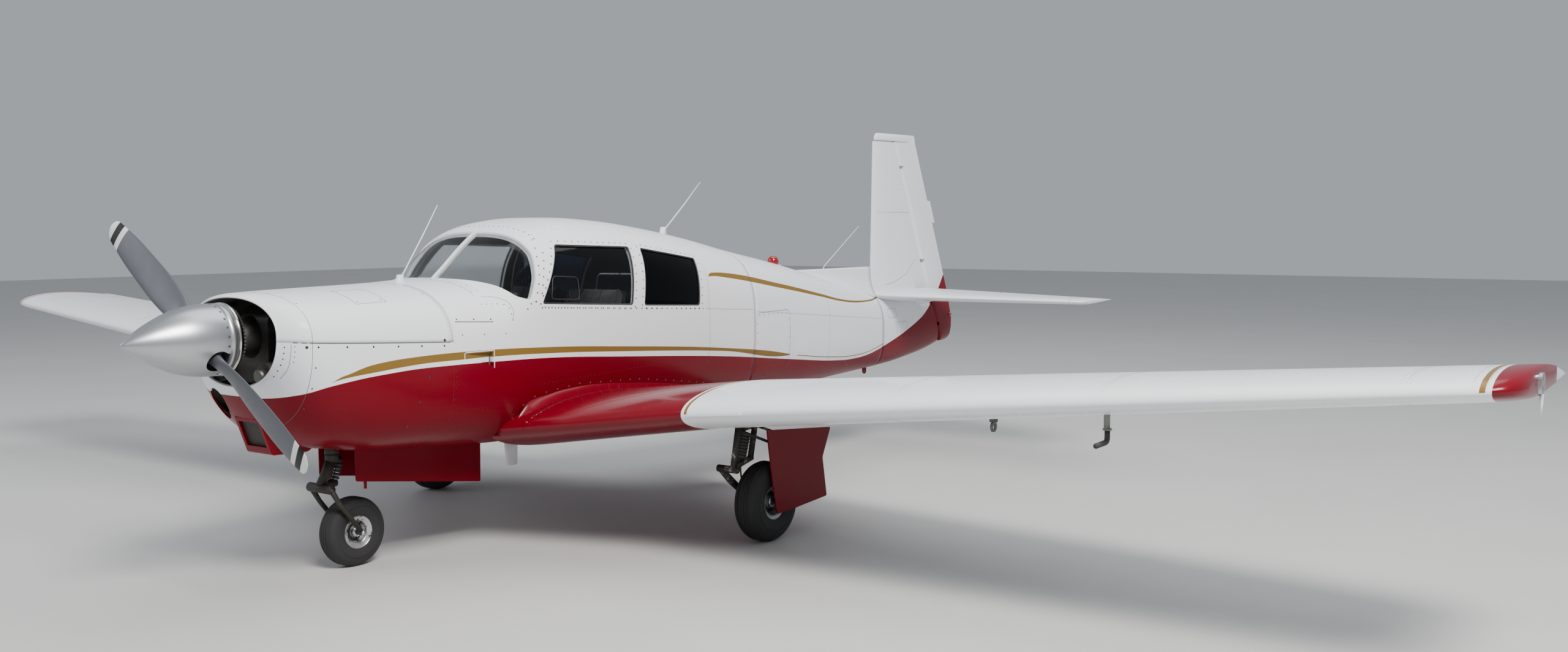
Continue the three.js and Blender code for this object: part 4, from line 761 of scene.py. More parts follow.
for side in (-1, 1):
    for station in (0.83, 1.09):
        row = station + (0.02 if side > 0 else -0.02)
        engine_pieces.append(rod(
            "barrel", (side * 0.14, row, 1.21), (side * 0.30, row, 1.21), 0.066, 28,
            materials=[barrel_steel]))
        for i in range(14):
            x = side * (0.155 + i * 0.0105)
            engine_pieces.append(rod(
                "fin", (x, row, 1.21), (x + side * 0.0028, row, 1.21), 0.092, 28, materials=[barrel_steel]))
        for i in range(9):
            x0 = 0.302 + i * 0.0078
            engine_pieces.append(box_solid(
                *sorted((side * x0, side * (x0 + 0.003))), row - 0.095, row + 0.095, 1.11, 1.32, "head_fin",
                [cast_alloy]))
        cover = rounded(
            [(row - 0.07, 1.13), (row + 0.07, 1.13), (row + 0.07, 1.29), (row - 0.07, 1.29)], 0.03, 4)
        engine_pieces.append(side_prism(
            cover, *sorted((side * 0.372, side * 0.405)), "rocker_cover", [cast_alloy]))
        lead = [
            at(side * 0.33, row - 0.03, 1.34), at(side * 0.22, row + 0.04, 1.385),
            at(side * 0.10, row + 0.10, 1.37)]
        engine_pieces += [
            tube_solid("ignition_lead", a, b, 0.005, 8, materials=[black_rubber_and_hole_shade]) for a,
            b in zip(lead, lead[1:])]
        intake = [
            at(side * 0.30, row, 1.12), at(side * 0.24, row + 0.01, 1.03), at(side * 0.12, row + 0.04, 0.995)]
        engine_pieces += [
            tube_solid("intake_pipe", a, b, 0.022, 16, materials=[barrel_steel]) for a,
            b in zip(intake, intake[1:])]
    for low, high in ((1.02, 0.85), (1.34, 1.36)):
        engine_pieces.append(rod(
            "mount_tube", (side * 0.14, 1.28, low), (side * 0.30, 1.455, high), 0.014, 12,
            materials=[cast_alloy]))
engine = joined("engine_assembly", engine_pieces, "airframe")
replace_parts(engine, "engine")


# Propeller and spinner
# Two twisted alloy blades, painted grey in front with striped tips, in a hub under a polished
# spinner. The spinner is spun sheet, screwed to a plate behind the blades.

PROP_STATION = 0.410
BLADE_ANGLE = math.radians(145.4)
# radius, chord, thickness, pitch in degrees
BLADE_ROWS = [
    [0.060, 0.080, 0.078, 45], [0.150, 0.088, 0.060, 38], [0.230, 0.122, 0.034, 30],
    [0.380, 0.156, 0.022, 22], [0.560, 0.160, 0.016, 16], [0.740, 0.148, 0.012, 12.5],
    [0.880, 0.118, 0.008, 10.5], [0.928, 0.080, 0.006, 10], [0.940, 0.042, 0.005, 10],
]
blade_at = smooth_rows(BLADE_ROWS, creases=(0.880,))

blade_paint, blade_tree, blade_shader = new_material(
    "blade_paint", Metallic=0.35, Coat_Weight=0.04, Coat_Roughness=0.2, Specular_IOR_Level=0.25)
from_hub = shader_node(
    blade_tree, "VectorMath", shader_node(blade_tree, "TexCoord", out=3), at(0, PROP_STATION, THRUST),
    operation="SUBTRACT")
reach = shader_node(blade_tree, "VectorMath", from_hub, operation="LENGTH", out=1)
bands = blade_tree.nodes.new("ShaderNodeValToRGB")
bands.color_ramp.interpolation = "CONSTANT"
for place_at, colour in (
    (0.818, (0.78, 0.78, 0.76, 1)), (0.852, (0.004, 0.004, 0.004, 1)), (0.897, (0.78, 0.78, 0.76, 1))):
    stop = bands.color_ramp.elements.new(place_at)
    stop.color = colour
bands.color_ramp.elements[0].color = (0.115, 0.122, 0.138, 1)
bands.color_ramp.elements[-1].color = (0.78, 0.78, 0.76, 1)
blade_tree.links.new(reach, bands.inputs[0])
scuff = noise(blade_tree, 14.0, 5.0, 0.6)
worn = mix_colour(
    blade_tree, calc(blade_tree, "MULTIPLY", scuff, 0.12), bands.outputs[0], (0.10, 0.10, 0.11, 1))
blade_tree.links.new(worn, blade_shader.inputs["Base Color"])
blade_tree.links.new(calc(blade_tree, "MULTIPLY_ADD", scuff, 0.25, 0.28), blade_shader.inputs["Roughness"])

polished, polished_tree, polished_shader = new_material(
    "polished_alloy", Metallic=0.9, Base_Color=(0.46, 0.47, 0.49, 1))
spin_place = shader_node(
    polished_tree, "Mapping", shader_node(polished_tree, "TexCoord", out=3), (0, 0, 0), (0, 0, 0),
    (1.0, 70.0, 1.0))
spin_lines = shader_node(polished_tree, "TexNoise", spin_place, None, 3.0, 3.0, 0.6)
polished_tree.links.new(
    calc(polished_tree, "MULTIPLY_ADD", spin_lines, 0.08, 0.30), polished_shader.inputs["Roughness"])
polished_tree.links.new(bump(polished_tree, 0.02, 0.0005, spin_lines), polished_shader.inputs["Normal"])
chrome, chrome_tree, chrome_shader = new_material(
    "chrome_ring", Metallic=1.0, Base_Color=(0.62, 0.61, 0.58, 1))
smear = noise(chrome_tree, 35.0, 3.0, 0.5)
chrome_tree.links.new(calc(chrome_tree, "MULTIPLY_ADD", smear, 0.15, 0.08), chrome_shader.inputs["Roughness"])


def blade_ring(radius, angle, count=28):
    chord, thickness, pitch = blade_at(radius)
    outward_way = np.array([math.cos(angle), 0, math.sin(angle)])
    turning = np.array([-math.sin(angle), 0, math.cos(angle)])
    forward = np.array([0, -1.0, 0])
    slope = math.radians(pitch)
    along = turning * math.cos(slope) + forward * math.sin(slope)
    face = forward * math.cos(slope) - turning * math.sin(slope)
    ring = []
    for i in range(count):
        turn = 2 * math.pi * i / count
        depth = thickness * (0.7 if math.sin(turn) > 0 else 0.3)
        ring.append(
            np.array(at(0, PROP_STATION, THRUST)) + outward_way * radius + along * chord / 2 * math.cos(turn)
            + face * depth * math.sin(turn))
    return ring


propeller_pieces = []
for half in (0, math.pi):
    radii = list(np.linspace(0.06, 0.90, 34)) + [0.915, 0.926, 0.934, 0.938, 0.940]
    propeller_pieces.append(outward(loft(
        "blade", [blade_ring(r, BLADE_ANGLE + half) for r in radii], [blade_paint])))
propeller_pieces += [
    rod("hub", (0, 0.33, THRUST), (0, 0.4597, THRUST), 0.070, 40, materials=[cast_alloy]),
    rod("back_plate", (0, 0.446, THRUST), (0, 0.456, THRUST), 0.168, 64, materials=[polished]),
]
for half in (0, math.pi):
    way = Vector((math.cos(BLADE_ANGLE + half), 0, math.sin(BLADE_ANGLE + half)))
    hub_centre = Vector(at(0, PROP_STATION, THRUST))
    propeller_pieces.append(tube_solid(
        "blade_clamp", hub_centre + way * 0.05, hub_centre + way * 0.115, 0.052, 32, materials=[cast_alloy]))
propeller = joined("propeller_assembly", propeller_pieces, "propeller")
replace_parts(propeller, "propeller")

SPINNER_ROWS = [
    (0.0, 0.0), (0.004, 0.009), (0.040, 0.038), (0.095, 0.074), (0.160, 0.108), (0.225, 0.136),
    (0.295, 0.158), (0.370, 0.170), (0.420, 0.172), (0.446, 0.172),
]


def turned_y(name, profile, centre_z, materials, sides=72, centre_x=0.0):
    """A profile of stations and radii, turned about a line along Y."""
    rings = []
    for s, r in profile:
        angle = np.linspace(0, 2 * math.pi, sides, endpoint=False)
        rings.append(np.stack(
            [centre_x + r * np.cos(angle), np.full(sides, s + NOSE_Y), centre_z + r * np.sin(angle)], axis=1))
    return outward(loft(name, rings, materials))


spinner_at = smooth_rows(SPINNER_ROWS[1:])
profile = [(0.0003, 0.002)] + [
    (s, float(spinner_at(s)[0])) for s in np.linspace(0.004, 0.420, 34)] + [(0.440, 0.172), (0.4457, 0.1722)]
inner_profile = [(s, r - 0.004) for s, r in reversed(profile) if r > 0.05]
spinner = turned_y("spinner_shell", profile + inner_profile, THRUST, [polished])
spinner_plain = copy_of(spinner, "spinner_plain")
spinner_cuts = []
for half in (0, math.pi):
    way = Vector((math.cos(BLADE_ANGLE + half), 0, math.sin(BLADE_ANGLE + half)))
    side_way = Vector((-way.z, 0, way.x))
    centre = Vector(at(0, PROP_STATION - 0.012, THRUST))
    spinner_cuts.append(tube_solid("cutter", centre + way * 0.09, centre + way * 0.30, 0.058, 40))
    corners = [
        centre + way * r + side_way * w + Vector((0, y, 0)) for r in (0.09, 0.30) for w,
        y in ((-0.046, 0.0), (0.046, 0.0), (0.046, 0.08), (-0.046, 0.08))]
    slot_faces = [(0, 1, 2, 3), (7, 6, 5, 4), (0, 4, 5, 1), (1, 5, 6, 2), (2, 6, 7, 3), (3, 7, 4, 0)]
    spinner_cuts.append(outward(new_object("cutter", corners, slot_faces, [])))
combine(spinner, spinner_cuts, "DIFFERENCE")
smooth_like(spinner, spinner_plain)
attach(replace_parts(spinner, "spinner"), "propeller")

spinner_screws = []
for i in range(24):
    turn = 2 * math.pi * (i + 0.5) / 24
    away = min(abs((turn - BLADE_ANGLE - h + math.pi) % (2 * math.pi) - math.pi) for h in (0, math.pi))
    if away > 0.42:
        way = Vector((math.cos(turn), 0, math.sin(turn)))
        spinner_screws.append((Vector(at(0, 0.436, THRUST)) + way * 0.172, way))
studs("spinner_screws", "propeller", [(spinner_screws, 0.0072)], barrel_steel)

# The bright flange and the toothed starter ring turn with the propeller
teeth = []
for i in range(120):
    turn = 2 * math.pi * i / 120
    r = 0.164 if i % 2 else 0.159
    teeth.append((math.cos(turn) * r, math.sin(turn) * r))
ring_rows = [[(x, s + NOSE_Y, THRUST + z) for x, z in teeth] for s in (0.5185, 0.5300)]
starter_ring = outward(loft("starter_ring", ring_rows, [barrel_steel]))
for polygon in starter_ring.data.polygons:
    polygon.use_smooth = False
skirt_profile = [(0.4462, 0.160), (0.4462, 0.1722), (0.4900, 0.1722), (0.4900, 0.160)]
skirt = turned_y("spinner_skirt", skirt_profile, THRUST, [polished])
flange_profile = [
    (0.4905, 0.150), (0.4905, 0.1715), (0.4960, 0.1745), (0.5090, 0.1745), (0.5140, 0.1715), (0.5180, 0.150)]
flange = turned_y("flange_ring", flange_profile, THRUST, [chrome])
joined("starter_ring_assembly", [skirt, starter_ring, flange], "propeller")


# Cabin shell, doors and window frames
# One riveted shell from the firewall to the baggage bulkhead, over a tube frame, with its windows
# cut out between painted posts. The cabin door and the baggage door are cut from the same skin.

CABIN_WALL = 0.028
FRAME_RADIUS = 0.020
CENTRE_POST = 0.013
# Outlines of stations and heights
WINDSHIELD = [
    (1.650, 1.500), (1.795, 1.474), (1.850, 1.440), (1.905, 1.385), (1.990, 1.362),
    (2.048, 1.470), (2.090, 1.600), (2.112, 1.900), (1.650, 1.900),
]
FRONT_WINDOW = [(2.062, 1.337), (2.786, 1.297), (2.832, 1.634), (2.250, 1.655)]
REAR_WINDOW = [(2.882, 1.290), (3.440, 1.262), (3.470, 1.552), (2.928, 1.626)]
CABIN_DOOR = [
    (2.022, 0.930), (2.842, 0.930), (2.868, 1.300), (2.884, 1.690), (2.225, 1.712), (2.150, 1.600),
    (2.030, 1.360)]
BAGGAGE_DOOR = [(3.560, 1.020), (3.990, 1.020), (3.990, 1.425), (3.560, 1.440)]
DOOR_GAP = 0.006


def shrunk(outline, margin):
    points = np.array(outline, float)
    middle = points.mean(axis=0)
    reach = np.abs(points - middle).max(axis=0)
    return [tuple(p) for p in points + (middle - points) * margin / reach]


def side_cut(outline, side, margin=0.0, radius=FRAME_RADIUS, inner=0.30):
    x0, x1 = (inner, 0.70) if side > 0 else (-0.70, -inner)
    return side_prism(rounded(shrunk(outline, margin), radius, 8), x0, x1)


def windshield_cut(side, margin=0.0):
    edge = CENTRE_POST + margin
    x0, x1 = (edge, 0.70) if side > 0 else (-0.70, -edge)
    return side_prism(rounded(shrunk(WINDSHIELD, margin), 0.020, 6), x0, x1)


def body_sheet(name, outer, inner, stations, count=144, materials=(hull_paint, inside_metal)):
    """A closed sheet round the body, between two depths under its surface."""
    whole = [
        [body_arc(s, 0, 2 * math.pi * (1 - 1 / count), count, inset) for s in stations]
        for inset in (outer, inner)]
    return shell(name, *whole, True, list(materials))


cabin_stations = steps(
    FIREWALL, 1.790, 1.870, 1.980, 2.110, 2.350, 2.560, 2.860, 3.260, 3.690, CONE_START, spacing=0.030)

lining = mottled(
    "cabin_lining", (130.0, 4.0, 0.7), (0.13, 0.125, 0.115), (0.24, 0.23, 0.21), relief=(0.3, 0.001),
    Roughness=0.9)

AIR_SCOOP = [(1.535, 1.106), (1.710, 1.106), (1.710, 1.032), (1.535, 1.086)]
SCOOP_DEPTH = 0.022


def scoop_wedge(side):
    """A ramp into the skin, flush at its front and deepest at its upright rear end."""
    corners = []
    for (s, z), depth in zip(AIR_SCOOP, (0.0002, SCOOP_DEPTH, SCOOP_DEPTH, 0.0002)):
        (place, normal), = laid(smooth_skin, [(s, z), (s, z)], 1.0, side)[:1]
        corners += [place + normal * 0.03, place - normal * depth]
    faces = [(0, 2, 4, 6), (7, 5, 3, 1), (0, 1, 3, 2), (2, 3, 5, 4), (4, 5, 7, 6), (6, 7, 1, 0)]
    return outward(new_object("cutter", corners, faces, []))


cabin_plain = body_sheet("cabin_plain", 0.0, CABIN_WALL, cabin_stations, materials=(hull_paint, lining))
cabin = copy_of(cabin_plain, "cabin_skin")
door_block = copy_of(cabin_plain, "cabin_door_skin")
baggage_block = copy_of(cabin_plain, "baggage_door_skin")
combine(cabin, [windshield_cut(1), windshield_cut(-1)], "DIFFERENCE")
for outline, side in ((FRONT_WINDOW, 1), (REAR_WINDOW, 1), (REAR_WINDOW, -1)):
    combine(cabin, [side_cut(outline, side)], "DIFFERENCE")
for outline in (CABIN_DOOR, BAGGAGE_DOOR):
    combine(cabin, [side_cut(outline, -1, radius=0.030)], "DIFFERENCE")
combine(cabin, [box_solid(-0.15, 0.15, FIREWALL - 0.01, 1.975, 0.40, 0.64)], "DIFFERENCE")
smooth_skin = skin_tree(cabin_plain)
for side in (-1, 1):
    combine(cabin, [scoop_wedge(side)], "DIFFERENCE")
smooth_like(cabin, copy_of(cabin_plain, "form"))

combine(door_block, [side_cut(CABIN_DOOR, -1, DOOR_GAP, 0.030)], "INTERSECT")
combine(door_block, [side_cut(FRONT_WINDOW, -1)], "DIFFERENCE")
smooth_like(door_block, copy_of(cabin_plain, "form"))
combine(baggage_block, [side_cut(BAGGAGE_DOOR, -1, DOOR_GAP, 0.030)], "INTERSECT")
smooth_like(baggage_block, cabin_plain)

# Hinges on the skin: outer knuckles and pin on the cabin, the middle knuckle on the door
DOOR_HINGE = (-0.581, 2.012)
cabin_extras, door_extras = [], []
for low in (1.000, 1.180):
    x, s = DOOR_HINGE
    cabin_extras += [
        rod("knuckle", (x, s, low), (x, s, low + 0.0199), 0.009, 20, materials=[hull_paint]),
        rod("knuckle", (x, s, low + 0.0401), (x, s, low + 0.060), 0.009, 20, materials=[hull_paint]),
        rod("pin", (x, s, low - 0.0006), (x, s, low + 0.0606), 0.0045, 12, materials=[stud_metal]),
        rod(
            "leaf", (x, s, low + 0.010), (-0.556, s - 0.028, low + 0.010), 0.0054, 12,
            materials=[hull_paint]),
        rod(
            "leaf", (x, s, low + 0.050), (-0.556, s - 0.028, low + 0.050), 0.0054, 12,
            materials=[hull_paint]),
    ]
    door_extras += [
        rod("knuckle", (x, s, low + 0.0203), (x, s, low + 0.0397), 0.009, 20, materials=[hull_paint]),
        rod(
            "leaf", (x, s, low + 0.030), (-0.562, s + 0.060, low + 0.030), 0.0054, 12,
            materials=[hull_paint]),
    ]
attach(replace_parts(cabin, "cabin_shell"), "airframe")
joined("cabin_hinges", cabin_extras, "airframe")
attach(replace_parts(door_block, "cabin_door"), "cabin_door")
joined("cabin_door_hinges", door_extras, "cabin_door")

baggage_from, baggage_to = Vector(at(-0.488, 3.590, 1.450)), Vector(at(-0.427, 3.960, 1.434))
baggage_at = lambda share: baggage_from.lerp(baggage_to, share)
joined("baggage_hinge", [
    tube_solid("knuckle", baggage_at(0), baggage_at(0.333), 0.007, 16, materials=[hull_paint]),
    tube_solid("knuckle", baggage_at(0.667), baggage_at(1), 0.007, 16, materials=[hull_paint]),
    tube_solid("pin", baggage_at(0.001), baggage_at(0.999), 0.0035, 12, materials=[stud_metal]),
    tube_solid(
        "leaf", baggage_at(0.166), baggage_at(0.166) + Vector((0.022, 0, 0.022)), 0.0042, 10,
        materials=[hull_paint]),
    tube_solid(
        "leaf", baggage_at(0.834), baggage_at(0.834) + Vector((0.022, 0, 0.022)), 0.0042, 10,
        materials=[hull_paint]),
], "airframe")
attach(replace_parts(baggage_block, "baggage_door"), "baggage_door")
joined("baggage_door_hinge_leaf", [
    tube_solid("knuckle", baggage_at(0.335), baggage_at(0.665), 0.007, 16, materials=[hull_paint]),
    tube_solid(
        "leaf", baggage_at(0.5), baggage_at(0.5) + Vector((0.004, 0, -0.050)), 0.0042, 10,
        materials=[hull_paint]),
], "baggage_door")

# Door handles: a flat lever and two round locks, and one lock on the baggage door
lock_pieces = []
for station_at, z in ((2.775, 1.130), (2.800, 1.130)):
    x = -(body_arc(station_at, math.asin(0), 0, 1)[0][0])
    lock_pieces.append(rod(
        "lock", (x + 0.004, station_at, z), (x - 0.006, station_at, z), 0.011, 24, materials=[stud_metal]))
lever = rounded([(2.680, 1.122), (2.780, 1.122), (2.780, 1.140), (2.680, 1.138)], 0.006, 4)
lock_pieces.append(side_prism(lever, -0.578, -0.566, "lever", [stud_metal]))
joined("cabin_door_handle", lock_pieces, "cabin_door")
joined("baggage_door_lock", [
    rod("lock", (-0.462, 3.775, 1.060), (-0.486, 3.775, 1.060), 0.012, 24, materials=[stud_metal]),
], "baggage_door")

# Rivets and seams of the cabin. Posts and window edges have dark screws, the skins flush rivets
cabin_skin = skin_tree(cabin)
door_skin = skin_tree(door_block)


def ring_round(outline, margin, side, tree, spacing, radius=FRAME_RADIUS):
    """Spots round an outline, outside it where the margin is negative."""
    line = rounded(shrunk(outline, margin), radius, 6)
    return laid(tree, line + line[:1], spacing, side)


POST_SCREW, RIVET = 0.0058, 0.0032
for body, tree, side, title in (
    ("airframe", cabin_skin, 1, "cabin_fasteners_left"),
    ("airframe", cabin_skin, -1, "cabin_fasteners_right")):
    spots = [
        (ring_round(REAR_WINDOW, -0.020, side, tree, 0.048), POST_SCREW),
        *drawn(tree, side, [
            ([(2.060, 1.318), (3.470, 1.243)], 0.047, POST_SCREW),
            ([(2.068, 1.395), (2.112, 1.520), (2.150, 1.610)], 0.048, POST_SCREW),
            ([(2.020, 1.352), (2.068, 1.470), (2.108, 1.600), (2.150, 1.680)], 0.052, POST_SCREW),
            ([(1.960, 1.316), (1.990, 1.346), (2.022, 1.352)], 0.03, POST_SCREW),
            ([(1.700, 1.352), (1.790, 1.350), (1.834, 1.345), (1.853, 1.318), (1.853, 1.264)], 0.033, 0.0042),
            ([(1.505, 1.284), (1.715, 1.274)], 0.105, 0.0058),
            ([(3.520, 1.520), (3.520, 1.250)], 0.036, RIVET),
            ([(2.13, 1.700), (2.35, 1.735), (2.86, 1.725), (3.50, 1.630)], 0.05, RIVET),
            ([(1.52, 1.205), (1.80, 1.195)], 0.14, 0.0045),
            ([(1.500, 0.830), (1.900, 0.770)], 0.028, 0.0022),
            ([(2.055, 0.905), (2.90, 0.935), (4.06, 0.86)], 0.030, 0.0022),
            ([(2.90, 1.20), (2.905, 0.95)], 0.032, 0.0020),
            ([(4.085, 1.52), (4.085, 0.70)], 0.030, 0.0022),
            ([(1.475, 1.35), (1.475, 0.70)], 0.030, 0.0022),
        ]),
    ]
    if side > 0:
        spots += [
            (ring_round(FRONT_WINDOW, -0.020, side, tree, 0.048), POST_SCREW),
        ]
    studs(title, body, spots)
studs("cabin_door_fasteners", "cabin_door", [
    (ring_round(FRONT_WINDOW, -0.016, -1, door_skin, 0.048), POST_SCREW),
    *drawn(door_skin, -1, [
        ([(2.06, 0.955), (2.80, 0.955)], 0.030, 0.0022),
        ([(2.06, 0.955), (2.06, 1.25)], 0.030, 0.0022),
        ([(2.81, 0.955), (2.825, 1.25)], 0.030, 0.0022),
    ]),
])
roof_spots = [
    (laid(cabin_skin, [(x, 1.71), (x, 1.75)], 0.04, "top"), 0.0045) for x in np.linspace(-0.40, 0.40, 11)]
roof_spots += drawn(cabin_skin, "top", [
    ([(0.0, 2.20), (0.0, 4.05)], 0.05, RIVET),
    ([(-0.40, 2.165), (0.40, 2.165)], 0.04, POST_SCREW),
    ([(-0.38, 3.52), (0.38, 3.52)], 0.04, RIVET),
    ([(-0.50, 2.86), (0.50, 2.86)], 0.04, RIVET),
])
studs("roof_fasteners", "airframe", roof_spots)
cabin_lines = []
for side in (-1, 1):
    cabin_lines += drawn(cabin_skin, side, [
        ([(1.490, 1.273), (1.727, 1.261)], 0.02, 0.0045),
        (
            [(1.852, 1.262), (1.868, 1.300), (1.866, 1.330), (1.850, 1.362), (1.800, 1.385), (1.730, 1.388)],
            0.015, 0.0022),
        ([(3.545, 1.50), (3.545, 0.70)], 0.03, 0.0018), ([(3.50, 1.240), (4.08, 1.205)], 0.05, 0.0016),
    ])
cabin_lines.append((laid(cabin_skin, [(x, 1.700) for x in np.linspace(-0.43, 0.43, 23)], 0.03, "top"), 0.002))
seams("cabin_seams", "airframe", cabin_lines)

# The fresh air scoop in each side is a flush slot that deepens towards its rear end; the dark strip on its
# floor there is painted shade for the opening
scoop_mouth_shade = []
for side in (-1, 1):
    scoop_mouth_shade.append((laid(smooth_skin, [(1.703, 1.104), (1.703, 1.036)], 0.01, side), 0.012))
seams("air_scoop_mouth_shade", "airframe", scoop_mouth_shade, dark_seam_and_scoop_shade, 0.001 - SCOOP_DEPTH)
rim_lines = []
for side in (-1, 1):
    rim_lines += [
        (
            laid(smooth_skin, [(1.526, 1.078), (1.526, 1.114), (1.719, 1.114), (1.719, 1.022)], 0.015, side),
            0.0045),
    ]
white_trim, trim_tree, trim_shader = new_material("white_trim", Coat_Weight=0.3, Coat_Roughness=0.1)
trim_look = use_group(trim_tree, weather, Colour=WHITE, Dust=0.12, Gloss=0.3, Wave=0.0)
trim_tree.links.new(trim_look["Colour"], trim_shader.inputs["Base Color"])
trim_tree.links.new(trim_look["Roughness"], trim_shader.inputs["Roughness"])
seams("air_scoop_rims", "airframe", rim_lines, white_trim, 0.0018)


# Windows
# Tinted acrylic panes let into the skin on a dark sealing strip; the rear pair is smoked almost
# black, and the left front pane has a small framed vent that opens for the pilot.

PANE_OUTER, PANE_INNER = 0.009, 0.013


def acrylic(name, tint, roughness=0.02):
    material, tree, shader = new_material(
        name, Transmission_Weight=1.0, IOR=1.2, Metallic=0.0, Specular_IOR_Level=0.7)
    smear = noise(tree, 7.0, 5.0, 0.65)
    tree.links.new(calc(tree, "MULTIPLY_ADD", smear, 0.07, roughness), shader.inputs["Roughness"])
    tree.links.new(
        mix_colour(tree, smear, tint, tuple(v * 0.92 for v in tint[:3]) + (1,)), shader.inputs["Base Color"])
    return material


clear_acrylic = acrylic("clear_acrylic", (0.96, 0.98, 0.98, 1))
tinted_acrylic = acrylic("tinted_acrylic", (0.86, 0.88, 0.89, 1))
smoked_acrylic = acrylic("smoked_acrylic", (0.020, 0.026, 0.040, 1))
PANES = [
    ("windshield_left", windshield_cut(1, 0.0006), clear_acrylic, "airframe"),
    ("windshield_right", windshield_cut(-1, 0.0006), clear_acrylic, "airframe"),
    ("window_front_left", side_cut(FRONT_WINDOW, 1, 0.0006), tinted_acrylic, "airframe"),
    ("window_rear_left", side_cut(REAR_WINDOW, 1, 0.0006), smoked_acrylic, "airframe"),
    ("window_rear_right", side_cut(REAR_WINDOW, -1, 0.0006), smoked_acrylic, "airframe"),
    ("cabin_door_window", side_cut(FRONT_WINDOW, -1, 0.0006), tinted_acrylic, "cabin_door"),
]
pane_stations = steps(1.700, 1.790, 1.870, 1.980, 2.110, 2.350, 2.560, 2.860, 3.260, 3.560, spacing=0.030)
for node, cutter, material, body in PANES:
    pane = body_sheet(node + "_pane", PANE_OUTER, PANE_INNER, pane_stations, materials=(material, material))
    plain = copy_of(pane, "form")
    combine(pane, [cutter], "INTERSECT")
    smooth_like(pane, plain)
    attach(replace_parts(pane, node), body)

# A dark sealing strip lies round each pane, inside the cut edge of the skin
for title, outline, side, radius, body in (
    ("front_left", FRONT_WINDOW, 1, FRAME_RADIUS, "airframe"),
    ("rear_left", REAR_WINDOW, 1, FRAME_RADIUS, "airframe"),
    ("rear_right", REAR_WINDOW, -1, FRAME_RADIUS, "airframe"),
    ("front_right", FRONT_WINDOW, -1, FRAME_RADIUS, "cabin_door"),
):
    strip = body_sheet(
        "window_seal_" + title, 0.004, 0.0088, pane_stations, materials=(black_rubber_and_hole_shade, black_rubber_and_hole_shade))
    combine(strip, [side_cut(outline, side, 0.0008)], "INTERSECT")
    combine(strip, [side_cut(outline, side, 0.010)], "DIFFERENCE")
    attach(strip, body)

# The vent window: a thin dark metal frame on the pilot's pane
vent_line = rounded([(2.136, 1.361), (2.347, 1.350), (2.347, 1.472), (2.165, 1.483)], 0.022, 6)
vent_body = skin_tree(body_sheet("vent_form", 0.0075, 0.02, pane_stations))
vent_spots = laid(vent_body, vent_line + vent_line[:1], 0.012, 1)
vent_curve = bpy.data.curves.new("vent_window_frame", "CURVE")
vent_curve.dimensions, vent_curve.bevel_depth, vent_curve.bevel_resolution = "3D", 0.0026, 3
vent_spline = vent_curve.splines.new("POLY")
vent_spline.points.add(len(vent_spots) - 1)
for point, (place_at, normal) in zip(vent_spline.points, vent_spots):
    point.co = (*(place_at + normal * 0.001), 1)
vent_spline.use_cyclic_u = True
vent_curve.materials.append(stud_metal)
vent = bpy.data.objects.new("vent_window_frame", vent_curve)
bpy.context.scene.collection.objects.link(vent)
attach(vent, "airframe")
bpy.data.objects.remove(bpy.data.objects["vent_form"])


# Tail cone and dorsal fairing
# A riveted monocoque that tapers to the tail joint. A thin dorsal fairing runs level from its
# crown to the fin, and a tie-down ring hangs under its end.

CONE_WALL = 0.007
CONE_JOIN = 0.0003

cone = body_sheet(
    "tail_cone_skin", 0.0, CONE_WALL,
    steps(CONE_START + CONE_JOIN, 4.62, 5.18, 5.65, CONE_END, spacing=0.035))
# station, foot height, half foot, half top, top
dorsal_at = smooth_rows([
    [5.060, 1.400, 0.050, 0.020, 1.4185], [5.120, 1.380, 0.060, 0.026, 1.4215],
    [5.300, 1.350, 0.072, 0.028, 1.422],
    [5.600, 1.290, 0.090, 0.028, 1.422], [CONE_END - 0.001, 1.180, 0.092, 0.026, 1.422],
])


def dorsal_ring(station, count=15):
    foot, half_foot, half_top, top = dorsal_at(station)
    side = []
    for t in np.linspace(0, 1, count):
        width = half_top + (half_foot - half_top) * (1 - t) ** 2.6
        side.append((width, foot + (top - 0.012 - foot) * t))
    crown = [
        (half_top * math.cos(a), top - 0.012 + 0.012 * math.sin(a)) for a in np.linspace(0.2, math.pi / 2, 7)]
    half = side + crown
    ring = [(x, z) for x, z in half] + [(-x, z) for x, z in reversed(half[:-1])]
    return [(x, station + NOSE_Y, z) for x, z in ring]


dorsal = outward(loft(
    "dorsal_fairing",
    [dorsal_ring(s) for s in steps(5.060, 5.120, 5.300, 5.600, CONE_END - 0.001, spacing=0.05)],
    [hull_paint]))
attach(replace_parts(cone, "tail_cone"), "airframe")
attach(dorsal, "airframe")

# The end bulkhead with its two trim hinge lugs, and the tie-down ring
bulkhead = outward(loft("tail_bulkhead", [
    body_arc(
        s, 0, 2 * math.pi * (1 - 1 / 96), 96,
        0.0072) for s in (CONE_END - 0.014, CONE_END - 0.001)], [inside_metal]))
for polygon in bulkhead.data.polygons:
    polygon.use_smooth = False
lug_pieces = [bulkhead]
TRIM_HINGE = (6.130, 1.150)
for side in (-1, 1):
    lug = rounded(
        [
            (CONE_END - 0.008, 1.136), (TRIM_HINGE[0] + 0.013, 1.137), (TRIM_HINGE[0] + 0.013, 1.163),
            (CONE_END - 0.008, 1.164)],
        0.012, 6)
    plate = side_prism(lug, *sorted((side * 0.040, side * 0.050)), "lug", [inside_metal])
    lug_pieces.append(combine(
        plate, [rod("cutter", (side * 0.03, *TRIM_HINGE), (side * 0.06, *TRIM_HINGE), 0.0066, 20)],
        "DIFFERENCE"))
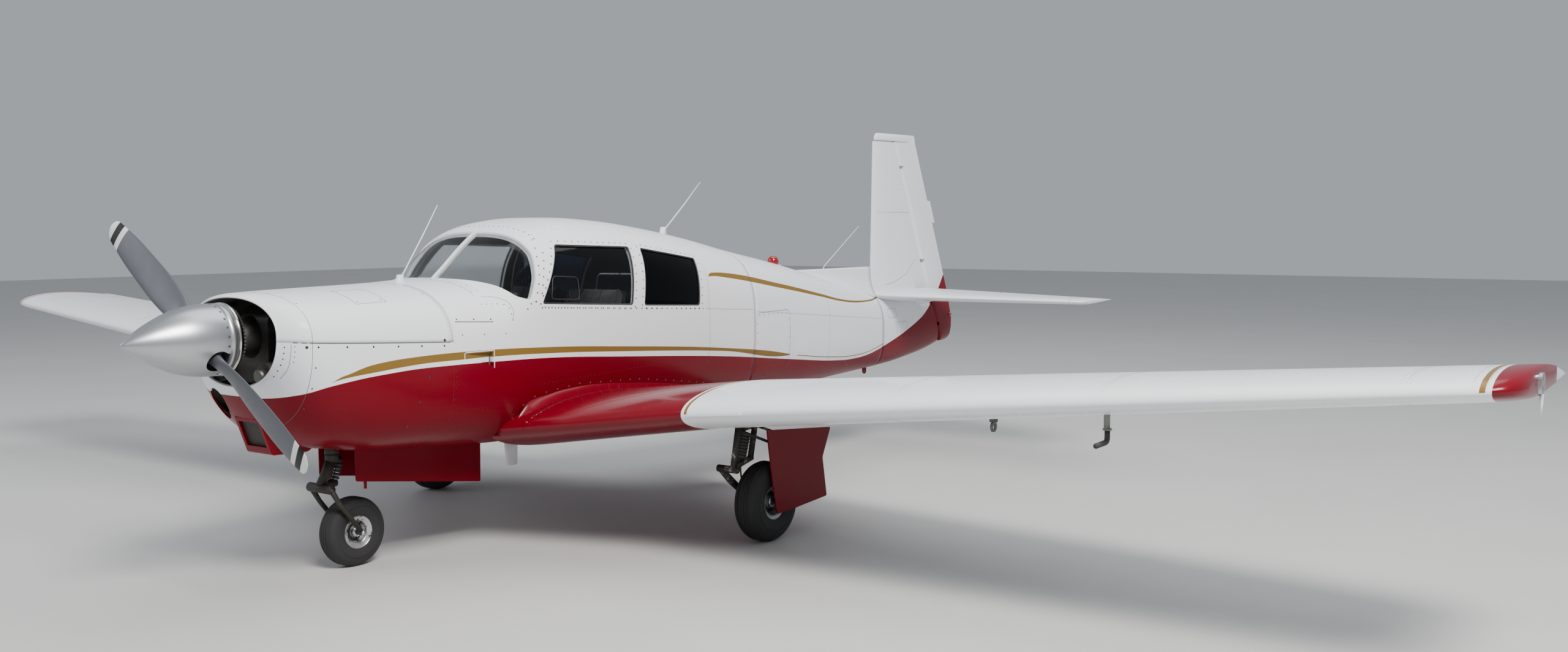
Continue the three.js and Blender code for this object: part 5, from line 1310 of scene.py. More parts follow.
ring_lug = rounded([(6.038, 0.66), (6.040, 0.600), (6.060, 0.585), (6.080, 0.600), (6.082, 0.66)], 0.012, 6)
tie_plate = side_prism(ring_lug, -0.006, 0.006, "tie_down_lug", [hull_paint])
lug_pieces.append(combine(
    tie_plate, [rod("cutter", (-0.02, 6.060, 0.606), (0.02, 6.060, 0.606), 0.011, 24)], "DIFFERENCE"))
joined("tail_cone_fittings", lug_pieces, "airframe")

cone_skin = skin_tree(cone)
ACCESS_PANEL = [(4.115, 0.742), (4.590, 0.742), (4.575, 1.178), (4.115, 1.178)]
cone_spots, cone_lines = [], []
for side in (-1, 1):
    panel_line = rounded(ACCESS_PANEL, 0.050, 6)
    cone_lines.append((laid(cone_skin, panel_line + panel_line[:1], 0.02, side), 0.0028))
    inner_line = rounded(shrunk(ACCESS_PANEL, 0.018), 0.040, 6)
    cone_spots += drawn(cone_skin, side, [
        (inner_line + inner_line[:1], 0.062, 0.0052),
        ([(4.62, 1.49), (4.62, 0.60)], 0.030, 0.0020),
        ([(5.18, 1.38), (5.18, 0.62)], 0.030, 0.0020),
        ([(5.65, 1.28), (5.65, 0.64)], 0.030, 0.0020),
        ([(6.085, 1.19), (6.085, 0.66)], 0.028, 0.0020),
        ([(4.12, 1.195), (6.08, 1.030)], 0.034, 0.0019),
        ([(4.12, 0.900), (6.08, 0.800)], 0.034, 0.0019),
        ([(4.12, 1.430), (5.55, 1.230)], 0.034, 0.0019),
    ])
    cone_lines += drawn(cone_skin, side, [
        ([(4.1040, 1.55), (4.1040, 0.60)], 0.03, 0.0020),
        ([(5.18, 1.38), (5.18, 0.62)], 0.03, 0.0012),
        ([(4.12, 1.188), (6.08, 1.023)], 0.05, 0.0012),
    ])
seams("tail_cone_seams", "airframe", cone_lines)
studs("tail_cone_rivets", "airframe", cone_spots)


# Wings, flaps and ailerons
# Tapered aluminium wings with a laminar section and a swept glove at the root. Each flap and
# aileron has a rounded nose that turns in a cove, on three brackets with pins.

LEAD, TRAIL_ROOT, TRAIL_SWEEP = 2.130, 4.050, 0.1772
END_GAP, MOVING_GAP = 0.014, 0.008
PIN_RADIUS, PIN_BORE = 0.0038, 0.0046
# x, leading edge station, its height, thickness ratio, pitch in degrees
WING_ROWS = [
    [0.380, 1.830, 0.668, 0.132, 2.4], [0.620, 1.895, 0.696, 0.132, 2.4], [1.000, 2.010, 0.742, 0.136, 2.3],
    [1.500, LEAD, 0.80445, 0.143, 2.1], [3.320, LEAD, 0.97972, 0.135, 1.6],
    [5.180, LEAD, 1.15883, 0.122, 1.0],
    [5.235, 2.141, 1.16413, 0.123, 1.0], [5.270, 2.155, 1.16750, 0.124, 1.0],
    [5.293, 2.175, 1.16971, 0.126, 1.0], [5.310, 2.200, 1.17135, 0.127, 1.0],
    [5.320, 2.223, 1.17231, 0.128, 1.0], [5.328, 2.250, 1.17309, 0.128, 1.0],
    [5.333, 2.278, 1.17357, 0.124, 1.0], [5.335, 2.300, 1.17376, 0.118, 1.0],
]
WING_CAMBER = 0.018
EDGE_HALF = 0.0015


def trail_at(x):
    return TRAIL_ROOT - TRAIL_SWEEP * x


def row_at(rows, place):
    """The straight line between the table's rows, as the sheet is bent."""
    table = np.array(rows)
    return [np.interp(place, table[:, 0], table[:, k]) for k in range(1, table.shape[1])]


def section(chord, thickness, camber, count=44):
    """Chord steps and heights round a section, from the trailing edge over the top and back."""
    back = (1 - np.cos(np.linspace(0, math.pi, count))) / 2
    back = back ** 1.15
    poly = 0.2969 * np.sqrt(back) - 0.126 * back - 0.3516 * back**2 + 0.2843 * back**3 - 0.1036 * back**4
    half = np.maximum(EDGE_HALF, 5 * thickness * chord * poly)
    mean = 4 * camber * chord * back * (1 - back)
    half[0] = 0.0
    upper = list(zip(back * chord, mean + half))
    lower = list(zip(back * chord, mean - half))[1:]
    return upper[::-1] + lower


def wing_ring(x, rows=WING_ROWS, camber=WING_CAMBER, trail=trail_at):
    lead, height, thickness, pitch = row_at(rows, x)
    slope = math.radians(pitch)
    cos, sin = math.cos(slope), math.sin(slope)
    return [
        (x, lead + b * cos + u * sin + NOSE_Y, height - b * sin + u * cos)
        for b, u in section(trail(x) - lead, thickness, camber)
    ]


def mirrored(obj, name):
    """The same piece on the other side."""
    twin = copy_of(obj, name)
    for vertex in twin.data.vertices:
        vertex.co.x = -vertex.co.x
    twin.data.flip_normals()
    return twin


wing_livery, _, wing_livery_out = new_group("wing_livery", [], [("Colour", "Color")])
wing_spot = shader_node(wing_livery, "SeparateXYZ", shader_node(wing_livery, "TexCoord", out=3)).node.outputs
span = calc(wing_livery, "ABSOLUTE", wing_spot[0])
back_y = wing_spot[1]


def band(tree, value, low, high):
    return calc(
        tree, "MULTIPLY", calc(tree, "GREATER_THAN", value, low), calc(tree, "LESS_THAN", value, high))


root_red = calc(wing_livery, "LESS_THAN", span, 1.478)
tip_red = calc(
    wing_livery, "MULTIPLY", calc(wing_livery, "GREATER_THAN", span, 5.238),
    calc(wing_livery, "LESS_THAN", back_y, 2.862 + NOSE_Y))
reds = calc(wing_livery, "MAXIMUM", root_red, tip_red)
golds = calc(
    wing_livery, "MAXIMUM", band(wing_livery, span, 1.494, 1.511), band(wing_livery, span, 5.197, 5.217))
on_top = shader_node(wing_livery, "NewGeometry", out=1)
upward = calc(wing_livery, "GREATER_THAN", shader_node(wing_livery, "SeparateXYZ", on_top, out=2), 0.05)
golds = calc(wing_livery, "MULTIPLY", golds, upward)
wing_livery.links.new(
    mix_colour(wing_livery, reds, mix_colour(wing_livery, golds, WHITE, GOLD), RED),
    wing_livery_out["Colour"])
wing_paint = painted(
    "wing_paint", wing_livery, 0.05, 0.24, 0.03, Coat_Weight=0.15, Coat_Roughness=0.05,
    Specular_IOR_Level=0.28)


def hinge_station(x):
    return LEAD + 0.76 * (trail_at(x) - LEAD)


def hinge_radius(x):
    return 0.057 - 0.0068 * x


def hinge_point(x):
    return at(x, hinge_station(x), 0.6968 + 0.1047 * (x - 0.700))


def plan_prism(points, z0, z1, name="cutter"):
    """A prism upward from an outline of x and stations."""
    count = len(points)
    vertices = [(x, s + NOSE_Y, z) for z in (z0, z1) for x, s in points]
    faces = [tuple(range(count)), tuple(reversed(range(count, 2 * count)))]
    faces += [(i, i + count, (i + 1) % count + count, (i + 1) % count) for i in range(count)]
    return outward(new_object(name, vertices, faces, [], smooth=False))


def aft_plan(x0, x1, ahead):
    return [(x0, hinge_station(x0) - ahead(x0)), (x1, hinge_station(x1) - ahead(x1)), (x1, 4.30), (x0, 4.30)]


wing_xs = steps(*[row[0] for row in WING_ROWS], spacing=0.08)
wing_form = outward(loft("wing_form", [wing_ring(x) for x in wing_xs], [wing_paint]))
FLAP_SPAN, AILERON_SPAN = (0.700, 3.290), (3.303, 5.326)
WHEEL_WELL = (0.760, 1.420, 2.700, 3.080, 0.50, 0.750)
wing = copy_of(wing_form, "wing_left_skin")
coves = [
    plan_prism(
        aft_plan(FLAP_SPAN[0] - END_GAP, FLAP_SPAN[1] + END_GAP, lambda x: hinge_radius(x) + MOVING_GAP), 0.3,
        1.7),
    plan_prism(aft_plan(AILERON_SPAN[0] - END_GAP, 5.45, lambda x: hinge_radius(x) + MOVING_GAP), 0.3, 1.7),
]
hull_rings = [
    body_arc(s, 0, 2 * math.pi, 129, -0.0003)[:-1]
    for s in steps(1.790, 1.870, 2.110, 2.350, 2.860, 3.690, CONE_START, 4.30)]
hull_form = outward(loft("hull_form", hull_rings, []))
combine(wing, coves + [box_solid(*WHEEL_WELL), hull_form], "DIFFERENCE")
smooth_like(wing, copy_of(wing_form, "form"))

surfaces = {}
for title, (x0, x1) in (("flap", FLAP_SPAN), ("aileron", AILERON_SPAN)):
    skin = combine(
        copy_of(wing_form, title + "_left_skin"), [plan_prism(aft_plan(x0, x1, lambda x: 0.0), 0.3, 1.7)],
        "INTERSECT")
    r0, r1 = hinge_radius(x0) - 0.004, hinge_radius(x1) - 0.004
    nose_tube = tube_solid("nose", hinge_point(x0 - 0.02), hinge_point(x1 + 0.02), r0, 48, r1, [wing_paint])
    combine(nose_tube, [box_solid(x0, x1, 2.0, 4.3, 0.3, 1.7)], "INTERSECT")
    combine(skin, [nose_tube], "UNION")
    slots, pins, arms = [], [], []
    for t in (0.12, 0.5, 0.88):
        x = x0 + (x1 - x0) * t
        size = hinge_radius(x) + 0.030
        _, py, pz = hinge_point(x)
        s = py - NOSE_Y
        slots.append(box_solid(x - 0.013, x + 0.013, s - size, s + 0.018, pz - size, pz + size))
        pins.append(tube_solid(
            "pin", hinge_point(x - 0.017), hinge_point(x + 0.017), PIN_RADIUS, 16, materials=[stud_metal]))
        ahead, behind = s - hinge_radius(x) - 0.030, s + 0.010
        arm_line = [(ahead, pz - 0.008), (behind, pz - 0.009), (behind, pz + 0.009), (ahead, pz + 0.008)]
        arm_line = rounded(arm_line, 0.008, 6)
        arm = side_prism(arm_line, x - 0.004, x + 0.004, "bracket", [inside_metal])
        arms.append(combine(
            arm, [tube_solid("cutter", hinge_point(x - 0.012), hinge_point(x + 0.012), PIN_BORE, 20)],
            "DIFFERENCE"))
    combine(skin, slots, "DIFFERENCE")
    smooth_like(skin, copy_of(wing_form, "form"), limit=0.9)
    surfaces[title] = (skin, pins, arms)

for title in ("flap", "aileron"):
    skin, pins, arms = surfaces[title]
    right_skin = mirrored(skin, title + "_right_skin")
    right_pins = [mirrored(p, "pin") for p in pins]
    right_arms = [mirrored(a, "bracket") for a in arms]
    for side, piece, pin_set, arm_set in (
        ("left", skin, pins, arms), ("right", right_skin, right_pins, right_arms)):
        node = title + "_" + side
        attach(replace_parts(piece, node), node)
        joined(node + "_pins", pin_set, node)
        joined(node + "_brackets", arm_set, "airframe")
wing_right = mirrored(wing, "wing_right_skin")
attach(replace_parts(wing, "wing_left"), "airframe")
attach(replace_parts(wing_right, "wing_right"), "airframe")


# Wing root fillets
# A thin concave fairing closes the corner between the wing's upper skin and the fuselage. It is
# screwed down along both edges.

# station, inner x, height there, outer x, height of the wing there
FILLET_ROWS = [
    [1.885, 0.530, 0.712, 0.590, 0.690], [1.960, 0.530, 0.800, 0.620, 0.752],
    [2.120, 0.535, 0.846, 0.630, 0.806], [2.350, 0.540, 0.870, 0.635, 0.833],
    [2.860, 0.520, 0.850, 0.625, 0.816], [3.160, 0.500, 0.815, 0.610, 0.780],
    [3.530, 0.445, 0.765, 0.575, 0.714], [3.800, 0.380, 0.708, 0.535, 0.652],
]
FILLET_SINK = 0.006
fillet_at = smooth_rows(FILLET_ROWS)
fillet_stations = steps(1.885, 1.960, 2.120, 2.350, 2.860, 3.160, 3.530, 3.800, spacing=0.04)


def fillet_curve(station, sink):
    inner, top, outer, wing_z = fillet_at(station)
    curve = []
    for a in np.linspace(0, math.pi / 2, 15):
        share, rise = 1 - math.cos(a) ** 2.94, math.sin(a) ** 2.94
        x = outer - (outer - inner) * share - sink
        curve.append((x, station + NOSE_Y, wing_z - 0.004 + (top - wing_z + 0.004) * rise - sink))
    return curve


fillet_left = shell(
    "fillet_left_sheet", [fillet_curve(s, 0.0) for s in fillet_stations],
    [fillet_curve(s, FILLET_SINK) for s in fillet_stations],
    False, [wing_paint, wing_paint])
outward(fillet_left)
fillet_right = mirrored(fillet_left, "fillet_right_sheet")
for obj, node in ((fillet_left, "wing_fillet_left"), (fillet_right, "wing_fillet_right")):
    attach(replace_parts(obj, node), "airframe")

# Rivets and seams of the wings and fillets, the stall strips and the tie-down fittings
RIBS = [1.90, 2.68, 3.10, 3.71, 4.30, 4.92]
for tag, piece, fillet, sign in (("left", wing, fillet_left, 1), ("right", wing_right, fillet_right, -1)):
    tree = skin_tree(piece, fillet)
    spots, lines = [], []
    fillet_edge = [
        (sign * (float(fillet_at(s)[2]) - 0.006), s)
        for s in (1.90, 1.96, 2.04, 2.12, 2.35, 2.86, 3.16, 3.53, 3.78)]
    outer_edge = [(x + sign * 0.012, s) for x, s in fillet_edge]
    lines.append((laid(tree, outer_edge, 0.03, "top"), 0.0022))
    hull_edge = [
        (s, float(fillet_at(s)[1]) + 0.012)
        for s in (1.895, 1.93, 1.96, 2.04, 2.12, 2.35, 2.86, 3.16, 3.53, 3.78)]
    glints = laid(skin_tree(cabin), hull_edge, 0.085, sign)
    glints += laid(tree, [(sign * 0.600, 1.90), (sign * 0.632, 1.975)], 0.03, "top")
    studs(f"fillet_{tag}_screws", "airframe", [(glints, 0.0050)], polished)
    spots.append((laid(tree, fillet_edge, 0.045, "top"), 0.0040))
    spots.append((laid(tree, [(x + sign * 0.030, s) for x, s in fillet_edge], 0.030, "top"), 0.0020))
    for x in RIBS:
        behind = hinge_station(x) - hinge_radius(x) - 0.03
        for view in ("top", "under"):
            spots.append((laid(tree, [(sign * x, LEAD + 0.05), (sign * x, behind)], 0.032, view), 0.0019))
    for x in (2.68, 3.71, 4.92):
        behind = hinge_station(x) - hinge_radius(x) - 0.012
        for view in ("top", "under"):
            lines.append((
                laid(tree, [(sign * (x + 0.02), LEAD + 0.004), (sign * (x + 0.02), behind)], 0.05, view),
                0.0014))
            spots.append((
                laid(tree, [(sign * (x + 0.035), LEAD + 0.05), (sign * (x + 0.035), behind)], 0.032, view),
                0.0019))
    for share in (0.22, 0.66):
        for view in ("top", "under"):
            run = [(sign * x, LEAD + share * (trail_at(x) - LEAD)) for x in (0.80, 1.5, 3.3, 5.15)]
            spots.append((laid(tree, run, 0.045, view), 0.0019))
    for x in (5.170, 5.222):
        lines.append((
            laid(tree, [(sign * x, LEAD + 0.004), (sign * x, hinge_station(x) - 0.035)], 0.04, "top"),
            0.0012))
    seams(f"wing_{tag}_seams", "airframe", lines)
    studs(f"wing_{tag}_rivets", "airframe", spots)
    hatch_tree = skin_tree(piece)
    for hx, hs in ((1.75, 2.62), (3.40, 2.60), (4.55, 2.58)):
        ring = [
            (sign * hx + 0.062 * math.cos(a), hs + 0.062 * math.sin(a))
            for a in np.linspace(0, 2 * math.pi, 33)]
        seams(f"wing_{tag}_hatch_{hx:.0f}", "airframe", [(laid(hatch_tree, ring, 0.012, "under"), 0.0018)])
    strip_line = [
        Vector(at(sign * x, LEAD - 0.0045, 0.80445 + 0.0963 * (x - 1.5) - 0.005))
        for x in np.linspace(1.52, 1.86, 8)]
    strip = tube_solid(
        f"stall_strip_{tag}", strip_line[0], strip_line[-1], 0.0075, 4, materials=[white_trim], smooth=False)
    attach(strip, "airframe")
    bolt = rod(
        "bolt", (sign * 2.95, 2.700, 0.818), (sign * 2.95, 2.700, 0.905), 0.0205, 24, materials=[cast_alloy])
    ring_plate = rod(
        "ring", (sign * 2.945, 2.700, 0.795), (sign * 2.955, 2.700, 0.795), 0.026, 28, materials=[cast_alloy])
    combine(
        ring_plate, [rod("cutter", (sign * 2.93, 2.700, 0.792), (sign * 2.97, 2.700, 0.792), 0.013, 24)],
        "DIFFERENCE")
    joined(f"tie_down_{tag}", [bolt, ring_plate], "airframe")


# Tailplane and elevators
# A thin symmetrical tailplane in white, with elevators that wrap round its ends as balance horns.
# The gap between them is open and shows the dark nose of each elevator.

plain_white = painted(
    "plain_white_paint", WHITE, 0.06, 0.26, 0.04, Coat_Weight=0.2, Coat_Roughness=0.08,
    Specular_IOR_Level=0.3)

STAB_HEIGHT, STAB_LEAD, STAB_SPAN = 1.195, 6.150, 1.682
HORN_START, ELEVATOR_ROOT = 1.690, 0.090


def stab_trail(x):
    return 7.215 - 0.32 * abs(x)


def stab_hinge(x):
    return 6.805 - 0.225 * abs(x)


def stab_radius(x):
    return 0.040 - 0.0115 * abs(x)


def stab_pivot(x):
    return at(x, stab_hinge(x), STAB_HEIGHT)


def stab_ring(x, lead=STAB_LEAD, thickness=0.088):
    return [
        (x, lead + b + NOSE_Y, STAB_HEIGHT + u) for b, u in section(stab_trail(x) - lead, thickness, 0.0, 36)]


stab_form = outward(loft(
    "stab_form", [stab_ring(x) for x in steps(-STAB_SPAN, 0, STAB_SPAN, spacing=0.12)], [plain_white]))
tailplane = copy_of(stab_form, "tailplane_skin")
front_line = [(x, stab_hinge(x) - stab_radius(x) - MOVING_GAP) for x in (STAB_SPAN, 0, -STAB_SPAN)]
keep = [
    (-2.0, 6.0), (2.0, 6.0),
    (2.0, front_line[0][1] - 0.071)] + front_line + [(-2.0, front_line[2][1] - 0.071)]
combine(tailplane, [plan_prism(keep, 1.0, 1.4)], "INTERSECT")
smooth_like(tailplane, copy_of(stab_form, "form"))
bpy.data.objects.remove(stab_form)
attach(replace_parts(tailplane, "stabilizer"), "tail_unit")

elevator_form = outward(loft("elevator_form", (
    [stab_ring(x) for x in steps(0.060, STAB_SPAN, 1.730, spacing=0.1)]
    + [
        stab_ring(1.752, 6.153, 0.086), stab_ring(1.766, 6.160, 0.082), stab_ring(1.777, 6.171, 0.074),
        stab_ring(1.785, 6.184, 0.062), stab_ring(1.790, 6.200, 0.045)]
), [plain_white]))
elevator = copy_of(elevator_form, "elevator_left_skin")
elevator_plan = [
    (ELEVATOR_ROOT, stab_hinge(ELEVATOR_ROOT)), (HORN_START, stab_hinge(HORN_START)), (HORN_START, 6.0),
    (2.0, 6.0), (2.0, 7.4),
    (0.178, 7.4), (0.178, 7.180), (0.120, 6.990),
]
combine(elevator, [plan_prism(elevator_plan, 1.0, 1.4)], "INTERSECT")
elevator_nose = rod(
    "nose", (ELEVATOR_ROOT, stab_hinge(ELEVATOR_ROOT), STAB_HEIGHT),
    (HORN_START + 0.004, stab_hinge(HORN_START), STAB_HEIGHT),
    stab_radius(ELEVATOR_ROOT), 48, stab_radius(HORN_START), [plain_white])
combine(elevator, [elevator_nose], "UNION")
elevator_pins, elevator_arms = [], []
for x in (0.250, 0.900, 1.550):
    s, size = stab_hinge(x), stab_radius(x) + 0.020
    combine(
        elevator,
        [box_solid(x - 0.012, x + 0.012, s - size, s + 0.016, STAB_HEIGHT - size, STAB_HEIGHT + size)],
        "DIFFERENCE")
    elevator_pins.append(tube_solid(
        "pin", stab_pivot(x - 0.015), stab_pivot(x + 0.015), PIN_RADIUS, 16, materials=[stud_metal]))
    ahead, behind = s - stab_radius(x) - 0.030, s + 0.009
    arm_line = rounded([
        (ahead, STAB_HEIGHT - 0.006), (behind, STAB_HEIGHT - 0.008),
        (behind, STAB_HEIGHT + 0.008), (ahead, STAB_HEIGHT + 0.006)], 0.007, 6)
    arm = side_prism(arm_line, x - 0.004, x + 0.004, "bracket", [inside_metal])
    elevator_arms.append(combine(
        arm, [rod("cutter", (x - 0.012, s, STAB_HEIGHT), (x + 0.012, s, STAB_HEIGHT), PIN_BORE, 20)],
        "DIFFERENCE"))
smooth_like(elevator, elevator_form, limit=0.9)
elevator_right = mirrored(elevator, "elevator_right_skin")
right_pins, right_arms = [mirrored(p, "pin") for p in elevator_pins], [
    mirrored(a, "bracket") for a in elevator_arms]
for node, skin, pin_set in (
    ("elevator_left", elevator, elevator_pins), ("elevator_right", elevator_right, right_pins)):
    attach(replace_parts(skin, node), node)
    joined(node + "_pins", pin_set, node)
joined("tailplane_brackets", elevator_arms + right_arms, "tail_unit")

tail_tree = skin_tree(tailplane)
tail_spots, tail_lines = [], []
for sign in (-1, 1):
    for view in ("top", "under"):
        for x in (0.42, 0.78, 1.14, 1.50):
            rib = [(sign * x, STAB_LEAD + 0.03), (sign * x, stab_hinge(x) - 0.065)]
            tail_spots.append((laid(tail_tree, rib, 0.030, view), 0.0018))
        for share in (0.20, 0.52):
            run = [(sign * x, STAB_LEAD + share * (stab_trail(x) - STAB_LEAD)) for x in (0.16, 1.66)]
            tail_spots.append((laid(tail_tree, run, 0.036, view), 0.0018))
    end_rib = [(sign * 1.655, STAB_LEAD + 0.01), (sign * 1.655, stab_hinge(1.655) - 0.05)]
    tail_lines.append((laid(tail_tree, end_rib, 0.04, "top"), 0.0012))
seams("tailplane_seams", "tail_unit", tail_lines)
studs("tailplane_rivets", "tail_unit", tail_spots)
for node, skin, sign in (("elevator_left", elevator, 1), ("elevator_right", elevator_right, -1)):
    skin_map = skin_tree(skin)
    ribs = [
        [(sign * x, stab_hinge(x) + 0.02), (sign * x, stab_trail(x) - 0.02)]
        for x in np.linspace(0.24, 1.66, 10)]
    ribs.append([(sign * 0.22, stab_hinge(0.22) + 0.025), (sign * 1.68, stab_hinge(1.68) + 0.025)])
    studs(
        node + "_rivets", node,
        [(laid(skin_map, rib, 0.026, view), 0.0017) for rib in ribs for view in ("top", "under")])


# Fin, rudder and tail body
# The fin stands upright with its leading edge almost vertical. It pivots with the tailplane as one
# unit for trim; the rudder carries a balance horn above the fin and ends in a painted foot.

TAIL_ROWS = [
    [6.124, 0.148, 1.190, 0.643, 0.928, 2.3, 2.5], [6.400, 0.122, 1.190, 0.660, 0.935, 2.3, 2.4],
    [6.700, 0.098, 1.180, 0.692, 0.945, 2.3, 2.3], [6.790, 0.090, 1.125, 0.703, 0.948, 2.3, 2.3],
    [7.000, 0.070, 1.115, 0.737, 0.950, 2.3, 2.2], [7.190, 0.050, 1.095, 0.782, 0.950, 2.3, 2.2],
]
FIN_SEAM, FIN_TOP = 1.262, 2.395


def rudder_hinge(z):
    return 7.167 - 0.428 * (z - 0.800)


def rudder_radius(z):
    return 0.044 - 0.0095 * (z - 0.800)


def rudder_pivot(z):
    return at(0, rudder_hinge(z), z)


def rudder_trail(z):
    return 7.323 - 0.43 * (z - 1.192)


def fin_lead(z):
    return 6.148 + 0.0288 * (z - 1.420)


def upright_ring(z, lead, trail, thickness, count=36):
    return [(u, lead + b + NOSE_Y, z) for b, u in section(trail - lead, thickness, 0.0, count)]


def rudder_room():
    """The space behind the fin in which the rudder turns."""
    low, high = 0.5, 2.7
    ahead = [(rudder_hinge(z) - rudder_radius(z) - MOVING_GAP, z) for z in (low, high)]
    return side_prism(ahead + [(7.6, high), (7.6, low)], -0.3, 0.3)


tail_at = smooth_rows(TAIL_ROWS)
tail_form = outward(loft("tail_form", [
    body_arc(s, 0, 2 * math.pi * (1 - 1 / 120), 120, at=tail_at) for s in steps(
        6.124, 6.400, 6.700, 6.790, 7.000, 7.190, spacing=0.035)], [hull_paint]))
tail_skin = copy_of(tail_form, "tail_body_skin")
elevator_start = stab_hinge(0) - stab_radius(0) - MOVING_GAP
room = [box_solid(x0, x1, elevator_start, 7.3, 1.128, 1.2622) for x0, x1 in ((-0.4, -0.062), (0.062, 0.4))]
combine(tail_skin, [rudder_room()] + room, "DIFFERENCE")
smooth_like(tail_skin, tail_form)
fin_form = outward(loft(
    "fin_form",
    [
        upright_ring(z, fin_lead(z), rudder_trail(z), 0.085)
        for z in steps(1.100, FIN_SEAM, FIN_TOP, spacing=0.08)],
    [plain_white]))
fin_foot = combine(
    copy_of(fin_form, "fin_foot"), [box_solid(-0.2, 0.2, 6.0, 7.4, 1.05, FIN_SEAM - 0.0003)], "INTERSECT")
combine(fin_foot, [rudder_room()], "DIFFERENCE")
smooth_like(fin_foot, copy_of(fin_form, "form"))
fin = combine(copy_of(fin_form, "fin_skin"), [box_solid(-0.2, 0.2, 6.0, 7.4, FIN_SEAM, 2.6)], "INTERSECT")
combine(fin, [rudder_room()], "DIFFERENCE")
smooth_like(fin, fin_form)
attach(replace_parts(fin, "fin"), "tail_unit")
tail_skin = joined("tail_body_skin", [tail_skin, fin_foot], "tail_unit")
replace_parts(tail_skin, "tail_body")

# height, trailing edge station, share of the full thickness
RUDDER_ROWS = [
    [0.775, 7.265, 0.45], [0.780, 7.295, 0.62], [0.790, 7.330, 0.80], [0.805, 7.357, 0.92],
    [0.825, 7.378, 1.0], [0.880, 7.398, 1.0], [0.960, 7.400, 1.0], [1.192, 7.323, 1.0], [2.398, 6.804, 1.0],
]


def rudder_ring(z):
    trail, share = row_at(RUDDER_ROWS, z)
    radius, hinge = rudder_radius(z) * share, rudder_hinge(z)
    ring = [
        (radius * math.sin(a), hinge + radius * math.cos(a) + NOSE_Y, z)
        for a in np.linspace(math.pi / 2, 3 * math.pi / 2, 21)]
    left = [
        (-radius + (radius - 0.002) * t ** 1.15, hinge + (trail - hinge) * t + NOSE_Y, z)
        for t in np.linspace(0.1, 1, 12)]
    return ring + left + [(-x, y, z) for x, y, _ in reversed(left)]


rudder_zs = [row[0] for row in RUDDER_ROWS[:6]] + steps(0.880, 0.960, 1.192, 2.398, spacing=0.08)[1:]
rudder_form = outward(loft("rudder_form", [rudder_ring(z) for z in rudder_zs], [hull_paint]))
rudder = copy_of(rudder_form, "rudder_skin")
horn_rows = [
    (2.406, 0.97), (2.408, 1.0), (2.428, 0.97), (2.440, 0.88), (2.450, 0.74), (2.457, 0.55), (2.461, 0.32),
    (2.462, 0.15)]
horn_rings = []
for z, share in horn_rows:
    lead, trail = 6.195 + (1 - share) * 0.060, 6.800 - (1 - share) * 0.030
    horn_rings.append(upright_ring(z, lead, trail, 0.085 * share))
horn = outward(loft("rudder_horn", horn_rings, [plain_white]))
neck = side_prism(
    [(rudder_hinge(2.38), 2.38), (6.795, 2.38), (6.790, 2.42), (rudder_hinge(2.42), 2.42)], -0.008, 0.008,
    "neck", [plain_white])
rudder_pins, rudder_arms = [], []
for z in (0.920, 1.450, 2.200):
    s, size = rudder_hinge(z), rudder_radius(z) + 0.020
    combine(rudder, [box_solid(-size, size, s - size, s + 0.022, z - 0.014, z + 0.014)], "DIFFERENCE")
    rudder_pins.append(tube_solid(
        "pin", rudder_pivot(z - 0.018), rudder_pivot(z + 0.018), PIN_RADIUS, 16, materials=[stud_metal]))
    plate = box_solid(
        -0.007, 0.007, s - rudder_radius(z) - 0.030, s + 0.006, z - 0.004, z + 0.004, "bracket",
        [inside_metal])
    rudder_arms.append(combine(
        plate, [tube_solid("cutter", rudder_pivot(z - 0.012), rudder_pivot(z + 0.012), 0.0048, 20)],
        "DIFFERENCE"))
smooth_like(rudder, rudder_form, limit=0.8)
rudder_tree = skin_tree(rudder)
rudder = joined("rudder_skin", [rudder, horn, neck], "rudder")
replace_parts(rudder, "rudder")
joined("rudder_pins", rudder_pins, "rudder")
joined("rudder_brackets", rudder_arms, "tail_unit")

